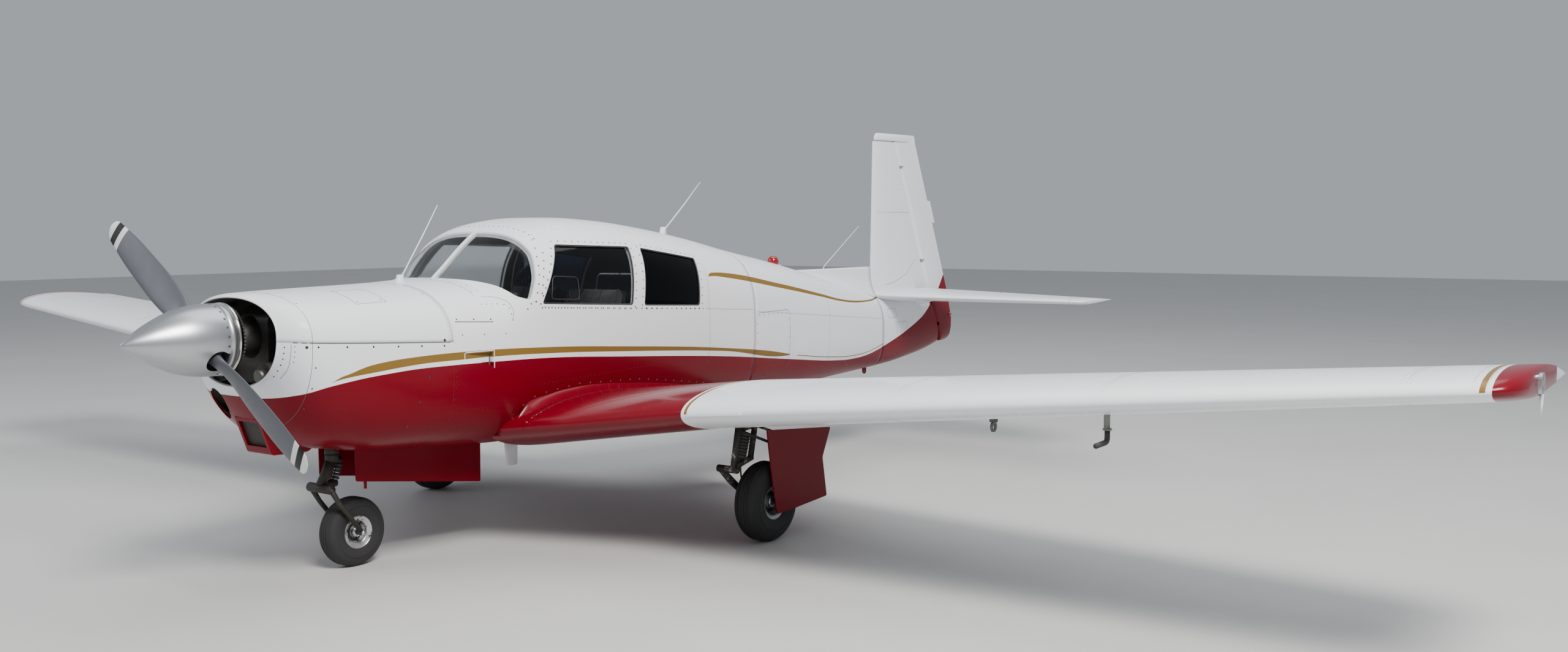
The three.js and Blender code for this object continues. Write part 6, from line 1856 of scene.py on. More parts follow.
# A fixed trim tab, the lines of the rudder's ribs and its rivets
tab = outward(new_object("rudder_tab", [
    (x, s + NOSE_Y, z) for z in (1.76, 1.94) for s, x in (
        (rudder_trail(z) - 0.004, -0.0022), (rudder_trail(z) - 0.004, 0.0022),
        (rudder_trail(z) + 0.042, 0.0012), (rudder_trail(z) + 0.042, -0.0012))
], [
    (3, 2, 1, 0), (4, 5, 6, 7), (0, 1, 5, 4), (1, 2, 6, 5), (2, 3, 7, 6),
    (3, 0, 4, 7)], [plain_white], smooth=False))
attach(tab, "rudder")
fin_tree, foot_tree = skin_tree(fin), skin_tree(tail_skin)
rudder_spots, fin_spots, fin_lines, foot_spots, foot_lines = [], [], [], [], []
for side in (-1, 1):
    for z in (0.99, 1.14, 1.30, 1.56, 1.72, 1.88, 2.04, 2.30):
        rudder_spots.append((
            laid(rudder_tree, [(rudder_hinge(z) + 0.025, z), (rudder_trail(z) - 0.03, z)], 0.024, side),
            0.0016))
    fin_lines += drawn(fin_tree, side, [
        ([(fin_lead(1.845) + 0.012, 1.845), (rudder_hinge(1.845) - 0.06, 1.845)], 0.04, 0.0020),
        ([(6.30, 1.275), (6.42, 1.29), (6.60, 1.35), (6.72, 1.44)], 0.03, 0.0026),
    ])
    for z in (1.45, 1.65, 1.825, 1.865, 2.03, 2.20, 2.37):
        fin_spots.append((
            laid(fin_tree, [(fin_lead(z) + 0.03, z), (rudder_hinge(z) - 0.065, z)], 0.028, side), 0.0018))
    for share in (0.22, 0.55):
        run = [(fin_lead(z) + share * (rudder_trail(z) - fin_lead(z)), z) for z in (1.30, 2.36)]
        fin_spots.append((laid(fin_tree, run, 0.034, side), 0.0018))
    foot_lines += drawn(foot_tree, side, [
        (
            rounded([(6.33, 0.84), (6.52, 0.85), (6.52, 0.98), (6.33, 0.98)], 0.03, 5) + [(6.345, 0.84)],
            0.02, 0.0018),
        (
            rounded([(6.20, 1.02), (6.34, 1.02), (6.34, 1.09), (6.20, 1.09)], 0.02, 5) + [(6.215, 1.02)],
            0.02, 0.0018),
    ])
    foot_spots += drawn(foot_tree, side, [
        ([(6.15, 1.15), (6.15, 0.68)], 0.028, 0.0018),
        ([(6.62, 1.12), (6.62, 0.70)], 0.030, 0.0018),
        ([(6.18, 0.76), (6.98, 0.84)], 0.034, 0.0018),
    ])
seams("fin_seams", "tail_unit", fin_lines)
seams("tail_body_seams", "tail_unit", foot_lines)
studs("fin_rivets", "tail_unit", fin_spots)
studs("tail_body_rivets", "tail_unit", foot_spots)
studs("rudder_rivets", "rudder", rudder_spots)


# Cabin floor, panel and controls
# A carpeted floor, and a padded coaming over a panel of plain round dials, with two yokes. All of it
# is dark, so it shows through the windows as little more than outlines.


def room_form(inset):
    """The inside of the cabin as a closed form, for trimming what is fitted to it."""
    places = steps(FIREWALL + 0.0144, 1.790, 2.110, 2.860, 3.690, 4.0596)
    rings = [body_arc(s, 0, 2 * math.pi, 65, inset)[:-1] for s in places]
    return outward(loft("cutter", rings, []))


def bent(points, radius=0.03, segments=6):
    """A path with its corners rounded."""
    points = [np.array(p, float) for p in points]
    path = [points[0]]
    for before, corner, after in zip(points, points[1:], points[2:]):
        a, b = before - corner, after - corner
        reach = min(radius, 0.45 * np.linalg.norm(a), 0.45 * np.linalg.norm(b))
        a, b = corner + a / np.linalg.norm(a) * reach, corner + b / np.linalg.norm(b) * reach
        path += [
            (1 - t) ** 2 * a + 2 * t * (1 - t) * corner + t**2 * b for t in np.linspace(0, 1, segments + 1)]
    return path + [points[-1]]


def pipe(name, path, radius, materials, sides=16):
    """A round bar along a path; radius is one value or one for each point."""
    points = [Vector(p) for p in path]
    radii = [radius] * len(points) if isinstance(radius, float) else radius
    side = (points[1] - points[0]).orthogonal().normalized()
    rings = []
    for i, (p, r) in enumerate(zip(points, radii)):
        along = (points[min(i + 1, len(points) - 1)] - points[max(i - 1, 0)]).normalized()
        side = (side - along * side.dot(along)).normalized()
        other = along.cross(side)
        turns = np.linspace(0, 2 * math.pi, sides, endpoint=False)
        rings.append([p + (side * math.cos(a) + other * math.sin(a)) * r for a in turns])
    return outward(loft(name, rings, materials))


carpet = mottled(
    "carpet", (900.0, 2.0, 0.7), (0.010, 0.010, 0.012), (0.045, 0.045, 0.050), relief=(0.6, 0.002),
    Roughness=0.95)

crinkle_black = mottled(
    "crinkle_black", (420.0, 3.0, 0.6), (0.010, 0.010, 0.010), (0.040, 0.040, 0.042), (0.3, 0.45),
    (0.5, 0.0008))

dial_white = mottled("dial_marks", (60.0, 2.0, 0.5), (0.50, 0.50, 0.46), (0.75, 0.75, 0.70), Roughness=0.5)

FLOOR_TOP = 0.6803          # a hair above the carpet, where pedals and seat rails stand
deck = box_solid(-0.60, 0.60, FIREWALL + 0.0144, 4.0596, 0.660, 0.680, "cabin_floor_sheet", [carpet])
combine(deck, [room_form(0.0284)], "INTERSECT")
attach(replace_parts(deck, "cabin_floor"), "airframe")

board_outline = rounded(
    [
        (1.800, 1.440), (1.780, 1.400), (1.880, 1.330), (1.890, 1.000), (1.915, 1.000), (1.920, 1.340),
        (1.935, 1.385)],
    0.012, 4)
board = side_prism(board_outline, -0.60, 0.60, "panel_board", [crinkle_black])
combine(board, [room_form(0.0284)], "INTERSECT")
pedal_pieces = []
for x in (-0.38, -0.23, 0.23, 0.38):
    pedal_pieces += [
        box_solid(x - 0.040, x + 0.040, 1.600, 1.610, 0.770, 0.860, "pedal_plate", [black_rubber_and_hole_shade]),
        pipe(
            "pedal_arm", [at(x, 1.608, 0.800), at(x, 1.640, 0.720), at(x, 1.645, FLOOR_TOP)], 0.009,
            [stud_metal]),
    ]
joined("rudder_pedals", pedal_pieces, "airframe")
panel_pieces = [
    board,
    pipe(
        "coaming_roll",
        [at(x, 1.930, 1.388 + 0.004 * math.cos(2.4 * x)) for x in np.linspace(-0.50, 0.50, 25)], 0.015,
        [crinkle_black])]


def board_face(z):
    """The station of the sloping board's rear face at a height."""
    return 1.915 + (z - 1.0) * 0.015


# x, height and radius of each dial
DIALS = [
    (0.13, 1.285, 0.038), (0.22, 1.285, 0.038), (0.31, 1.285, 0.038), (0.13, 1.190, 0.038),
    (0.22, 1.190, 0.038), (0.31, 1.190, 0.038), (0.40, 1.240, 0.030), (-0.15, 1.285, 0.028),
    (-0.22, 1.285, 0.028), (-0.29, 1.285, 0.028), (-0.36, 1.285, 0.028), (-0.15, 1.210, 0.028),
    (-0.22, 1.210, 0.028), (-0.40, 1.210, 0.024),
]
for x, z, radius in DIALS:
    face = board_face(z)
    panel_pieces.append(rod(
        "dial_face", (x, face - 0.003, z), (x, face + 0.003, z), radius, 28, materials=[crinkle_black]))
    rim = [
        (face - 0.002, radius * 1.10), (face + 0.008, radius * 1.08), (face + 0.008, radius * 0.95),
        (face + 0.0025, radius * 0.95)]
    panel_pieces.append(turned_y("dial_rim", rim, z, [crinkle_black], 28, x))
    for i in range(12):
        turn = 2 * math.pi * i / 12
        way, across = np.array([math.cos(turn), 0, math.sin(turn)]), np.array([
            -math.sin(turn), 0, math.cos(turn)])
        middle = np.array(at(x, face + 0.0036, z))
        corners = [
            middle + way * r + across * w for r,
            w in (
                (radius * 0.76, -0.0007), (radius * 0.76, 0.0007), (radius * 0.90, 0.0007),
                (radius * 0.90, -0.0007))]
        panel_pieces.append(new_object("dial_mark", corners, [(0, 1, 2, 3)], [dial_white]))
    panel_pieces.append(pipe(
        "dial_hand", [at(x, face + 0.0045, z), at(x + radius * 0.30, face + 0.0045, z + radius * 0.62)],
        0.0011, [dial_white], 6))
for row in range(5):
    z = 1.045 + row * 0.052
    face = board_face(z)
    panel_pieces.append(box_solid(
        -0.083, 0.083, face - 0.004, face + 0.006, z - 0.023, z + 0.023, "radio", [crinkle_black]))
    for x in (-0.066, 0.066):
        panel_pieces.append(rod(
            "knob", (x, face + 0.006, z), (x, face + 0.022, z), 0.008, 16, 0.0065, [crinkle_black]))
for x, colour in ((-0.045, crinkle_black), (0.0, dial_white), (0.045, crinkle_black)):
    panel_pieces.append(rod(
        "lever_rod", (x, 1.915, 1.015), (x, 1.975, 1.010), 0.0045, 12, materials=[stud_metal]))
    panel_pieces.append(rod("lever_knob", (x, 1.975, 1.010), (x, 2.000, 1.009), 0.012, 16, 0.009, [colour]))
for side in (-1, 1):
    x = side * 0.240
    panel_pieces += [
        pipe("yoke_shaft", [at(x, 1.900, 1.180), at(x, 2.060, 1.190)], 0.010, [stud_metal]),
        pipe("yoke_hub", [at(x, 2.058, 1.178), at(x, 2.060, 1.222)], 0.016, [crinkle_black]),
        pipe("yoke_bar", bent([
            at(x - 0.122, 2.052, 1.290), at(x - 0.128, 2.056, 1.215), at(x, 2.060, 1.205),
            at(x + 0.128, 2.056, 1.215), at(x + 0.122, 2.052, 1.290)], 0.05, 10), 0.012, [crinkle_black]),
    ]
panel_assembly = joined("panel_assembly", panel_pieces, "airframe")
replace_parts(panel_assembly, "instrument_panel")


# Seats
# Two front seats and a rear bench. Charcoal cloth is sewn over foam on a bent steel pan, with piping
# along the edges and two sewn channels down each cushion.

seat_cloth, cloth_tree, cloth_shader = new_material("seat_cloth", Roughness=0.92, Sheen_Weight=0.25)
cloth_place = shader_node(cloth_tree, "TexCoord", out=3)
threads = shader_node(cloth_tree, "TexVoronoi", cloth_place, None, 520.0)
worn_cloth = shader_node(cloth_tree, "TexNoise", cloth_place, None, 9.0, 4.0, 0.6)
cloth_base = mix_colour(cloth_tree, threads, (0.012, 0.012, 0.014, 1), (0.050, 0.050, 0.055, 1))
cloth_tree.links.new(
    mix_colour(
        cloth_tree, calc(cloth_tree, "MULTIPLY", worn_cloth, 0.25), cloth_base, (0.07, 0.065, 0.06, 1)),
    cloth_shader.inputs["Base Color"])
cloth_tree.links.new(bump(cloth_tree, 0.5, 0.001, threads), cloth_shader.inputs["Normal"])
piping = mottled(
    "seat_piping", (300.0, 2.0, 0.5), (0.008, 0.008, 0.009), (0.030, 0.030, 0.032), Roughness=0.7)

SWELL_LIMIT = 0.016
VOXEL = 0.009


def points_of(mesh):
    places = np.zeros(len(mesh.vertices) * 3)
    mesh.vertices.foreach_get("co", places)
    return places.reshape(-1, 3)


def swollen(obj):
    """The form as a foam pad: cloth under pressure from inside, with its movement capped."""
    remesh = obj.modifiers.new("remesh", "REMESH")
    remesh.mode, remesh.voxel_size = "VOXEL", VOXEL
    settle(obj)
    start = points_of(obj.data)
    cloth = obj.modifiers.new("cloth", "CLOTH")
    cloth.settings.use_pressure = True
    cloth.settings.uniform_pressure_force = 4.0
    cloth.settings.effector_weights.gravity = 0.0
    for step in range(1, 21):
        bpy.context.scene.frame_set(step)
    blown = points_of(obj.evaluated_get(bpy.context.evaluated_depsgraph_get()).to_mesh())
    moved = blown - start
    far = np.linalg.norm(moved, axis=1, keepdims=True)
    moved *= np.minimum(1.0, SWELL_LIMIT / np.maximum(far, 1e-9))
    obj.modifiers.clear()
    bpy.context.scene.frame_set(1)
    obj.data.vertices.foreach_set("co", (start + moved).ravel())
    finer = obj.modifiers.new("finer", "SUBSURF")
    finer.levels = 1
    settle(obj)
    return obj


def pressed_seam(obj, line, across, reach=0.014, depth=0.007):
    """Sinks the cloth along sewn lines at these places on X, over the stretch of stations in line."""
    mesh = obj.data
    places = points_of(mesh)
    normals = np.array([v.normal for v in mesh.vertices])
    first, last = line
    for x in across:
        share = np.clip(1 - np.abs(places[:, 0] - x) / reach, 0, 1) ** 2
        share *= (places[:, 1] > first + NOSE_Y) & (places[:, 1] < last + NOSE_Y)
        places -= normals * (share * depth)[:, None]
    mesh.vertices.foreach_set("co", places.ravel())
    mesh.update()


def pad(name, outline, x0, x1, seam_xs):
    """A cushion from its side outline: pulled-in sides, sewn channels and piping round both edges."""
    full = rounded(outline, 0.035, 6)
    thin = SWELL_LIMIT * 0.7
    start = side_prism(
        rounded(shrunk(outline, thin), 0.035, 6), x0 + thin, x1 - thin, name, [seat_cloth, piping])
    swollen(start)
    for polygon in start.data.polygons:
        polygon.use_smooth = True
    stations = [s for s, z in outline]
    pressed_seam(start, (min(stations) + 0.03, max(stations) - 0.02), seam_xs)
    tree = skin_tree(start)
    cords = []
    for x in (x0 + 0.020, x1 - 0.020):
        loop = []
        for s, z in full[::2]:
            place, normal, _, _ = tree.find_nearest(Vector(at(x, s, z)))
            loop.append(place + normal * 0.001)
        loop.append(loop[0])
        cords.append(pipe("piping", loop, 0.0035, [piping], 8))
    start = joined(name, [start] + cords, "airframe")
    return start


pan_steel = mottled(
    "seat_pan_enamel", (30.0, 4.0, 0.6), (0.02, 0.02, 0.022), (0.07, 0.07, 0.072), Metallic=0.2,
    Roughness=0.5)


def seat_frame(name, node, x0, x1, foot_xs, feet, pan, back):
    """The sheet pan and back plate under the pads, with two feet on the floor rails."""
    pieces = [
        side_prism(rounded(pan, 0.01, 4), x0, x1, "seat_pan", [pan_steel]),
        side_prism(rounded(back, 0.008, 4), x0, x1, "back_plate", [pan_steel]),
    ]
    low, high = feet
    for x in foot_xs:
        pieces.append(box_solid(x, x + 0.020, low, high, FLOOR_TOP, 0.690, "seat_rail", [stud_metal]))
        for s in (low + 0.03, high - 0.03):
            pieces.append(pipe(
                "seat_leg", [at(x + 0.010, s, 0.688), at(x + 0.010, s + 0.01, 0.835)], 0.010, [pan_steel],
                12))
        pieces.append(pipe(
            "leg_brace", [at(x + 0.010, low + 0.03, 0.700), at(x + 0.010, high - 0.03, 0.825)], 0.006,
            [pan_steel], 10))
    frame_piece = joined(name, pieces, "airframe")
    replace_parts(frame_piece, node)


front_cushion = [(2.190, 0.848), (2.650, 0.828), (2.690, 0.850), (2.690, 0.955), (2.200, 0.990)]
front_back = [(2.690, 0.800), (2.760, 0.805), (2.846, 1.385), (2.792, 1.418), (2.690, 0.990)]
left_cushion = pad("seat_left_cushion", front_cushion, 0.030, 0.460, (0.165, 0.325))
left_back = pad("seat_left_backrest", front_back, 0.030, 0.460, (0.165, 0.325))
for twin_of, name in ((left_cushion, "seat_right_cushion"), (left_back, "seat_right_backrest")):
    twin = mirrored(twin_of, name)
    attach(twin, "airframe")
bench_cushion = [(3.070, 0.848), (3.510, 0.828), (3.550, 0.850), (3.540, 0.955), (3.080, 0.990)]
bench_back = [(3.500, 0.805), (3.565, 0.810), (3.655, 1.325), (3.596, 1.345), (3.510, 0.990)]
pad("rear_bench_cushion", bench_cushion, -0.415, 0.415, (-0.27, -0.135, 0.0, 0.135, 0.27))
pad("rear_bench_backrest", bench_back, -0.395, 0.395, (-0.27, -0.135, 0.0, 0.135, 0.27))
front_pan, front_plate = [
    (2.195, 0.830), (2.640, 0.808), (2.700, 0.770), (2.705, 0.800), (2.650, 0.826),
    (2.200, 0.846)], [(2.755, 0.79), (2.768, 0.79), (2.852, 1.370), (2.842, 1.372)]
rear_pan, rear_plate = [
    (3.075, 0.830), (3.500, 0.808), (3.560, 0.800), (3.560, 0.812), (3.510, 0.826),
    (3.080, 0.846)], [(3.560, 0.795), (3.572, 0.795), (3.664, 1.320), (3.654, 1.322)]
seat_frame(
    "seat_left_frame", "seat_front_left", 0.045, 0.445, (0.060, 0.330), (2.24, 2.60), front_pan, front_plate)
seat_frame(
    "seat_right_frame", "seat_front_right", -0.445, -0.045, (-0.350, -0.080), (2.24, 2.60), front_pan,
    front_plate)
seat_frame(
    "rear_bench_frame", "seat_rear", -0.390, 0.390, (-0.300, 0.280), (3.10, 3.45), rear_pan, rear_plate)


# Main gear
# A welded triangle of enamelled tube hangs from the wing and carries the wheel on a trailing lever.
# A stack of rubber discs between them is the spring. It is greasy, and dirt has stuck to it.


def greasy(name, colour, grime, **settings):
    """Enamel under grease and dirt; grime is how much of it is covered."""
    made, tree, shader = new_material(name, **settings)
    spot_place = shader_node(tree, "TexCoord", out=3)
    broad_dirt = shader_node(tree, "TexNoise", spot_place, None, 11.0, 5.0, 0.65)
    fine_dirt = shader_node(tree, "TexNoise", spot_place, None, 90.0, 3.0, 0.6)
    cover = shader_node(
        tree, "MapRange", calc(tree, "MULTIPLY", broad_dirt, calc(tree, "ADD", fine_dirt, 0.5)),
        0.62 - grime * 0.5, 0.72 - grime * 0.4, 0.0, 1.0)
    tree.links.new(mix_colour(tree, cover, colour, (0.022, 0.018, 0.013, 1)), shader.inputs["Base Color"])
    tree.links.new(calc(tree, "MULTIPLY_ADD", cover, 0.30, 0.32), shader.inputs["Roughness"])
    tree.links.new(bump(tree, 0.4, 0.001, fine_dirt), shader.inputs["Normal"])
    return made


gear_enamel = greasy("gear_enamel", (0.42, 0.42, 0.40, 1), 0.62)
# Near-black enamel for the nose gear and brakes; on the wheel rims it also paints the dish dark as shade.
dark_enamel_and_shade = greasy("dark_enamel_and_painted_shade", (0.055, 0.050, 0.045, 1), 0.72)
rim_silver = greasy("rim_silver", (0.50, 0.51, 0.52, 1), 0.12, Metallic=0.75)

MAIN_X, MAIN_STATION, MAIN_RADIUS = 1.385, 2.960, 0.222
TRUSS_X, LEVER_X = MAIN_X - 0.025, MAIN_X - 0.118


def main_axle(x):
    """A place on the main axle's line."""
    return at(x, MAIN_STATION, MAIN_RADIUS)


gear_pieces = [
    pipe("front_tube", [at(TRUSS_X, 2.765, 0.742), at(TRUSS_X, 2.700, 0.430)], 0.019, [gear_enamel]),
    pipe("rear_tube", [at(TRUSS_X, 2.915, 0.742), at(TRUSS_X, 2.850, 0.470)], 0.017, [gear_enamel]),
    pipe("top_tube", [at(TRUSS_X, 2.735, 0.742), at(TRUSS_X, 2.945, 0.742)], 0.020, [gear_enamel]),
    pipe("cross_tube", [at(TRUSS_X, 2.745, 0.640), at(TRUSS_X, 2.895, 0.650)], 0.012, [gear_enamel]),
    pipe("foot_tube", [at(TRUSS_X, 2.700, 0.440), at(TRUSS_X, 2.860, 0.478)], 0.017, [gear_enamel]),
    box_solid(TRUSS_X - 0.004, TRUSS_X + 0.004, 2.745, 2.905, 0.650, 0.735, "gusset", [gear_enamel]),
    pipe(
        "lever_pivot", [at(MAIN_X + 0.005, 2.700, 0.430), at(LEVER_X - 0.012, 2.700, 0.430)], 0.020,
        [gear_enamel], 24),
    pipe(
        "pivot_bolt", [at(MAIN_X + 0.014, 2.700, 0.430), at(LEVER_X - 0.018, 2.700, 0.430)], 0.009,
        [stud_metal], 6),
    pipe(
        "lever", [at(LEVER_X, 2.700, 0.430), at(LEVER_X, 2.790, 0.352), main_axle(LEVER_X)],
        [0.017, 0.021, 0.017], [gear_enamel], 20),
    pipe("axle", [main_axle(LEVER_X - 0.014), main_axle(MAIN_X + 0.052)], 0.0196, [stud_metal], 24),
    pipe("brake_disc", [main_axle(LEVER_X + 0.023), main_axle(LEVER_X + 0.029)], 0.062, [barrel_steel], 48),
    box_solid(
        LEVER_X + 0.008, LEVER_X + 0.040, MAIN_STATION - 0.066, MAIN_STATION - 0.030, 0.190, 0.262,
        "brake_caliper", [dark_enamel_and_shade]),
    pipe(
        "brake_hose",
        bent(
            [
                at(LEVER_X + 0.02, 2.925, 0.262), at(LEVER_X + 0.02, 2.86, 0.350),
                at(TRUSS_X - 0.03, 2.80, 0.44), at(TRUSS_X - 0.022, 2.80, 0.60)],
            0.05, 8),
        0.005, [black_rubber_and_hole_shade], 10),
    pipe("spring_rod", [at(TRUSS_X, 2.737, 0.452), at(TRUSS_X, 2.798, 0.648)], 0.010, [stud_metal]),
]
spring_low, spring_high = np.array(at(TRUSS_X, 2.745, 0.488)), np.array(at(TRUSS_X, 2.790, 0.620))
for i in range(8):
    a, b = (spring_low + (spring_high - spring_low) * t for t in (i / 8 + 0.008, (i + 1) / 8 - 0.008))
    half = a + (b - a) * 0.5
    gear_pieces.append(pipe(
        "spring_disc", [a, a * 0.8 + b * 0.2, half, a * 0.2 + b * 0.8, b],
        [0.036, 0.0405, 0.042, 0.0405, 0.036], [black_rubber_and_hole_shade], 28))
    if i:
        gear_pieces.append(pipe(
            "spring_plate", [a - (b - a) * 0.12, a - (b - a) * 0.02], 0.0405, [stud_metal], 28))
gear_left = joined("main_gear_left_truss", gear_pieces, "airframe")
gear_right = mirrored(gear_left, "main_gear_right_truss")
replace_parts(gear_left, "gear_leg_left")
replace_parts(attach(gear_right, "airframe"), "gear_leg_right")

# The gear door hangs outside the wheel on two struts, painted red all over
red_paint = painted(
    "red_paint", RED, 0.03, 0.30, 0.04, Coat_Weight=0.04, Coat_Roughness=0.08, Specular_IOR_Level=0.10)
DOOR_OUTLINE = [
    (2.842, 0.640), (3.448, 0.590), (3.368, 0.425), (3.410, 0.195), (3.110, 0.172), (2.932, 0.163),
    (2.890, 0.353)]
panel = side_prism(rounded(DOOR_OUTLINE, 0.012, 4), 1.477, 1.485, "main_gear_left_door", [red_paint])
combine(panel, [copy_of(wing_form, "cutter")], "DIFFERENCE")
stiffeners = [
    side_prism(
        rounded([(2.93, 0.55), (3.33, 0.525), (3.33, 0.505), (2.93, 0.53)], 0.006, 3), 1.466, 1.477,
        "stiffener", [red_paint]),
    side_prism(
        rounded([(2.97, 0.24), (3.33, 0.26), (3.33, 0.24), (2.97, 0.22)], 0.006, 3), 1.466, 1.477,
        "stiffener", [red_paint]),
]
struts = []
for leg_at, door_at in (((2.745, 0.640), (2.900, 0.560)), ((2.895, 0.650), (3.100, 0.560))):
    start, end = at(TRUSS_X + 0.012, *leg_at), at(MAIN_X + 0.092, *door_at)
    struts.append(pipe("door_strut", [start, end], 0.008, [gear_enamel], 12))
    struts.append(box_solid(
        1.462, 1.478, door_at[0] - 0.018, door_at[0] + 0.018, door_at[1] - 0.016, door_at[1] + 0.016,
        "strut_bracket", [gear_enamel]))
door_left = joined("main_gear_left_door", [panel] + stiffeners + struts, "airframe")
door_right = mirrored(door_left, "main_gear_right_door")
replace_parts(door_left, "gear_door_left")
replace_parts(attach(door_right, "airframe"), "gear_door_right")
bpy.data.objects.remove(wing_form)


# Wheels
# Ribbed aircraft tyres on split rims of cast alloy, bolted through, with a dished face and a dust
# cap. The rubber is dusty in patches and has a raised line round each side.

tyre_rubber, tyre_tree, tyre_shader = new_material("tyre_rubber")
tyre_place = shader_node(tyre_tree, "TexCoord", out=3)
tyre_dust = shader_node(tyre_tree, "TexNoise", tyre_place, None, 14.0, 5.0, 0.6)
tyre_grain = shader_node(tyre_tree, "TexNoise", tyre_place, None, 260.0, 2.0, 0.6)
tyre_tree.links.new(
    mix_colour(tyre_tree, tyre_dust, (0.008, 0.008, 0.009, 1), (0.028, 0.027, 0.027, 1)),
    tyre_shader.inputs["Base Color"])
tyre_tree.links.new(calc(tyre_tree, "MULTIPLY_ADD", tyre_dust, 0.3, 0.58), tyre_shader.inputs["Roughness"])
tyre_tree.links.new(bump(tyre_tree, 0.3, 0.0008, tyre_grain), tyre_shader.inputs["Normal"])


def turned_x(name, profile, centre, materials, sides=96, face_materials=None):
    """A closed profile of x and radius, turned about a line along X through the centre."""
    turns = np.linspace(0, 2 * math.pi, sides, endpoint=False)
    vertices = [
        (centre[0] + x, centre[1] + r * math.cos(a), centre[2] + r * math.sin(a)) for a in turns for x,
        r in profile]
    count = len(profile)
    faces, slots = [], []
    for i in range(sides):
        j = (i + 1) % sides
        for k in range(count):
            n = (k + 1) % count
            faces.append((i * count + k, i * count + n, j * count + n, j * count + k))
            slots.append(face_materials[k] if face_materials else 0)
    return outward(new_object(name, vertices, faces, materials, slots))


def soft_line(points, radius, segments=4):
    """An open line of x and radius with its corners rounded."""
    return [tuple(p) for p in bent([(x, r, 0) for x, r in points], radius, segments)]


def tyre(name, node, body, centre, radius, half, bead, grooves):
    side_line = soft_line([
        (half * 0.62, bead), (half * 0.66, bead + 0.010), (half * 0.88, bead + 0.024),
        (half * 0.985, (bead + radius) / 2 - 0.004),
        (
            half, (bead + radius) / 2
            + 0.004), (
                half * 0.94,
                radius - 0.030), (half * 0.76, radius - 0.010), (half * 0.42, radius - 0.001)], 0.010)
    side_line = [(x, r) for x, r, _ in side_line]
    ridge = (bead + radius) / 2 + 0.012
    tread = []
    for x in grooves:
        tread += [
            (x + 0.0042, radius - 0.0003), (x + 0.0026, radius - 0.0050), (x - 0.0026, radius - 0.0050),
            (x - 0.0042, radius - 0.0003)]
    profile = side_line + tread + [(-x, r) for x, r in reversed(side_line)]
    piece = turned_x(name, profile, centre, [tyre_rubber])
    lines = []
    for side in (-1, 1):
        x = side * half * 0.985
        ring = [
            (x - 0.001, ridge - 0.0015), (x + side * 0.0022, ridge), (x - 0.001, ridge + 0.0015),
            (x - side * 0.004, ridge)]
        lines.append(turned_x("side_line", ring, centre, [tyre_rubber], 72))
    piece = joined(name, [piece] + lines, body)
    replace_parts(piece, node)


def hub(name, node, body, centre, half, bead, axle, outer_side):
    """A split rim: flanges over the beads, a dished face with lightening holes, and a dust cap. The dish is
    coloured dark as painted shade, and each lightening hole is a black disc of painted shade.
    """
    edge, lip = half * 0.62, bead + 0.020
    face = soft_line([
        (edge * 0.55, axle + 0.0006), (edge * 0.80, axle + 0.0006), (edge * 0.80, axle + 0.012),
        (edge * 0.42, axle + 0.018),
        (edge * 0.36, bead * 0.72), (edge * 0.80, bead - 0.008), (edge + 0.004, bead - 0.004),
        (edge + 0.013, lip - 0.003),
        (edge + 0.016, lip), (edge + 0.013, lip + 0.002), (edge + 0.006, lip - 0.003), (
            edge - 0.001, bead - 0.0003)], 0.004)
    face = [(x, r) for x, r, _ in face]
    profile = face + [(-x, r) for x, r in reversed(face)]
    mid_radii = [(a[1] + b[1]) / 2 for a, b in zip(profile, profile[1:] + profile[:1])]
    # the faces of the dish take the dark material as painted shade
    dish = [1 if axle + 0.016 < r < bead * 0.76 else 0 for r in mid_radii]
    rim = turned_x("rim", profile, centre, [rim_silver, dark_enamel_and_shade], face_materials=dish)
    pieces = [rim]
    for side in (-1, 1):
        base = centre[0] + side * edge * 0.45
        for i in range(6):
            turn = 2 * math.pi * i / 6 + 0.3
            y, z = math.cos(turn), math.sin(turn)
            hole_r, bolt_r = bead * 0.56, bead * 0.80
            spot = (centre[1] + y * hole_r, centre[2] + z * hole_r)
            # each lightening hole is a black disc just under the face: painted shade, not an opening
            pieces.append(pipe(
                "hole_shade_disc", [(base - side * 0.004, *spot), (base - side * 0.0005 + side * 0.0035, *spot)],
                bead * 0.13, [black_rubber_and_hole_shade], 16))
            bolt = (centre[1] + math.cos(turn + 0.5) * bolt_r, centre[2] + math.sin(turn + 0.5) * bolt_r)
            pieces.append(pipe(
                "rim_bolt", [(base, *bolt), (base + side * 0.011, *bolt)], 0.0045, [stud_metal], 6))
    cap_at = centre[0] + outer_side * edge * 0.80
    radii = [axle + 0.013, axle + 0.012, axle + 0.006, 0.002]
    depths = [-0.004, 0.006, 0.012, 0.014]
    cap_line = [(cap_at + outer_side * d, centre[1], centre[2]) for d in depths]
    pieces.append(pipe("dust_cap", cap_line, radii, [polished], 32))
    piece = joined(name, pieces, body)
    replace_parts(piece, node)
    return piece


NOSE_WHEEL_STATION, NOSE_RADIUS = 1.225, 0.180


def nose_axle(x):
    """A place on the nose axle's line."""
    return at(x, NOSE_WHEEL_STATION, NOSE_RADIUS)


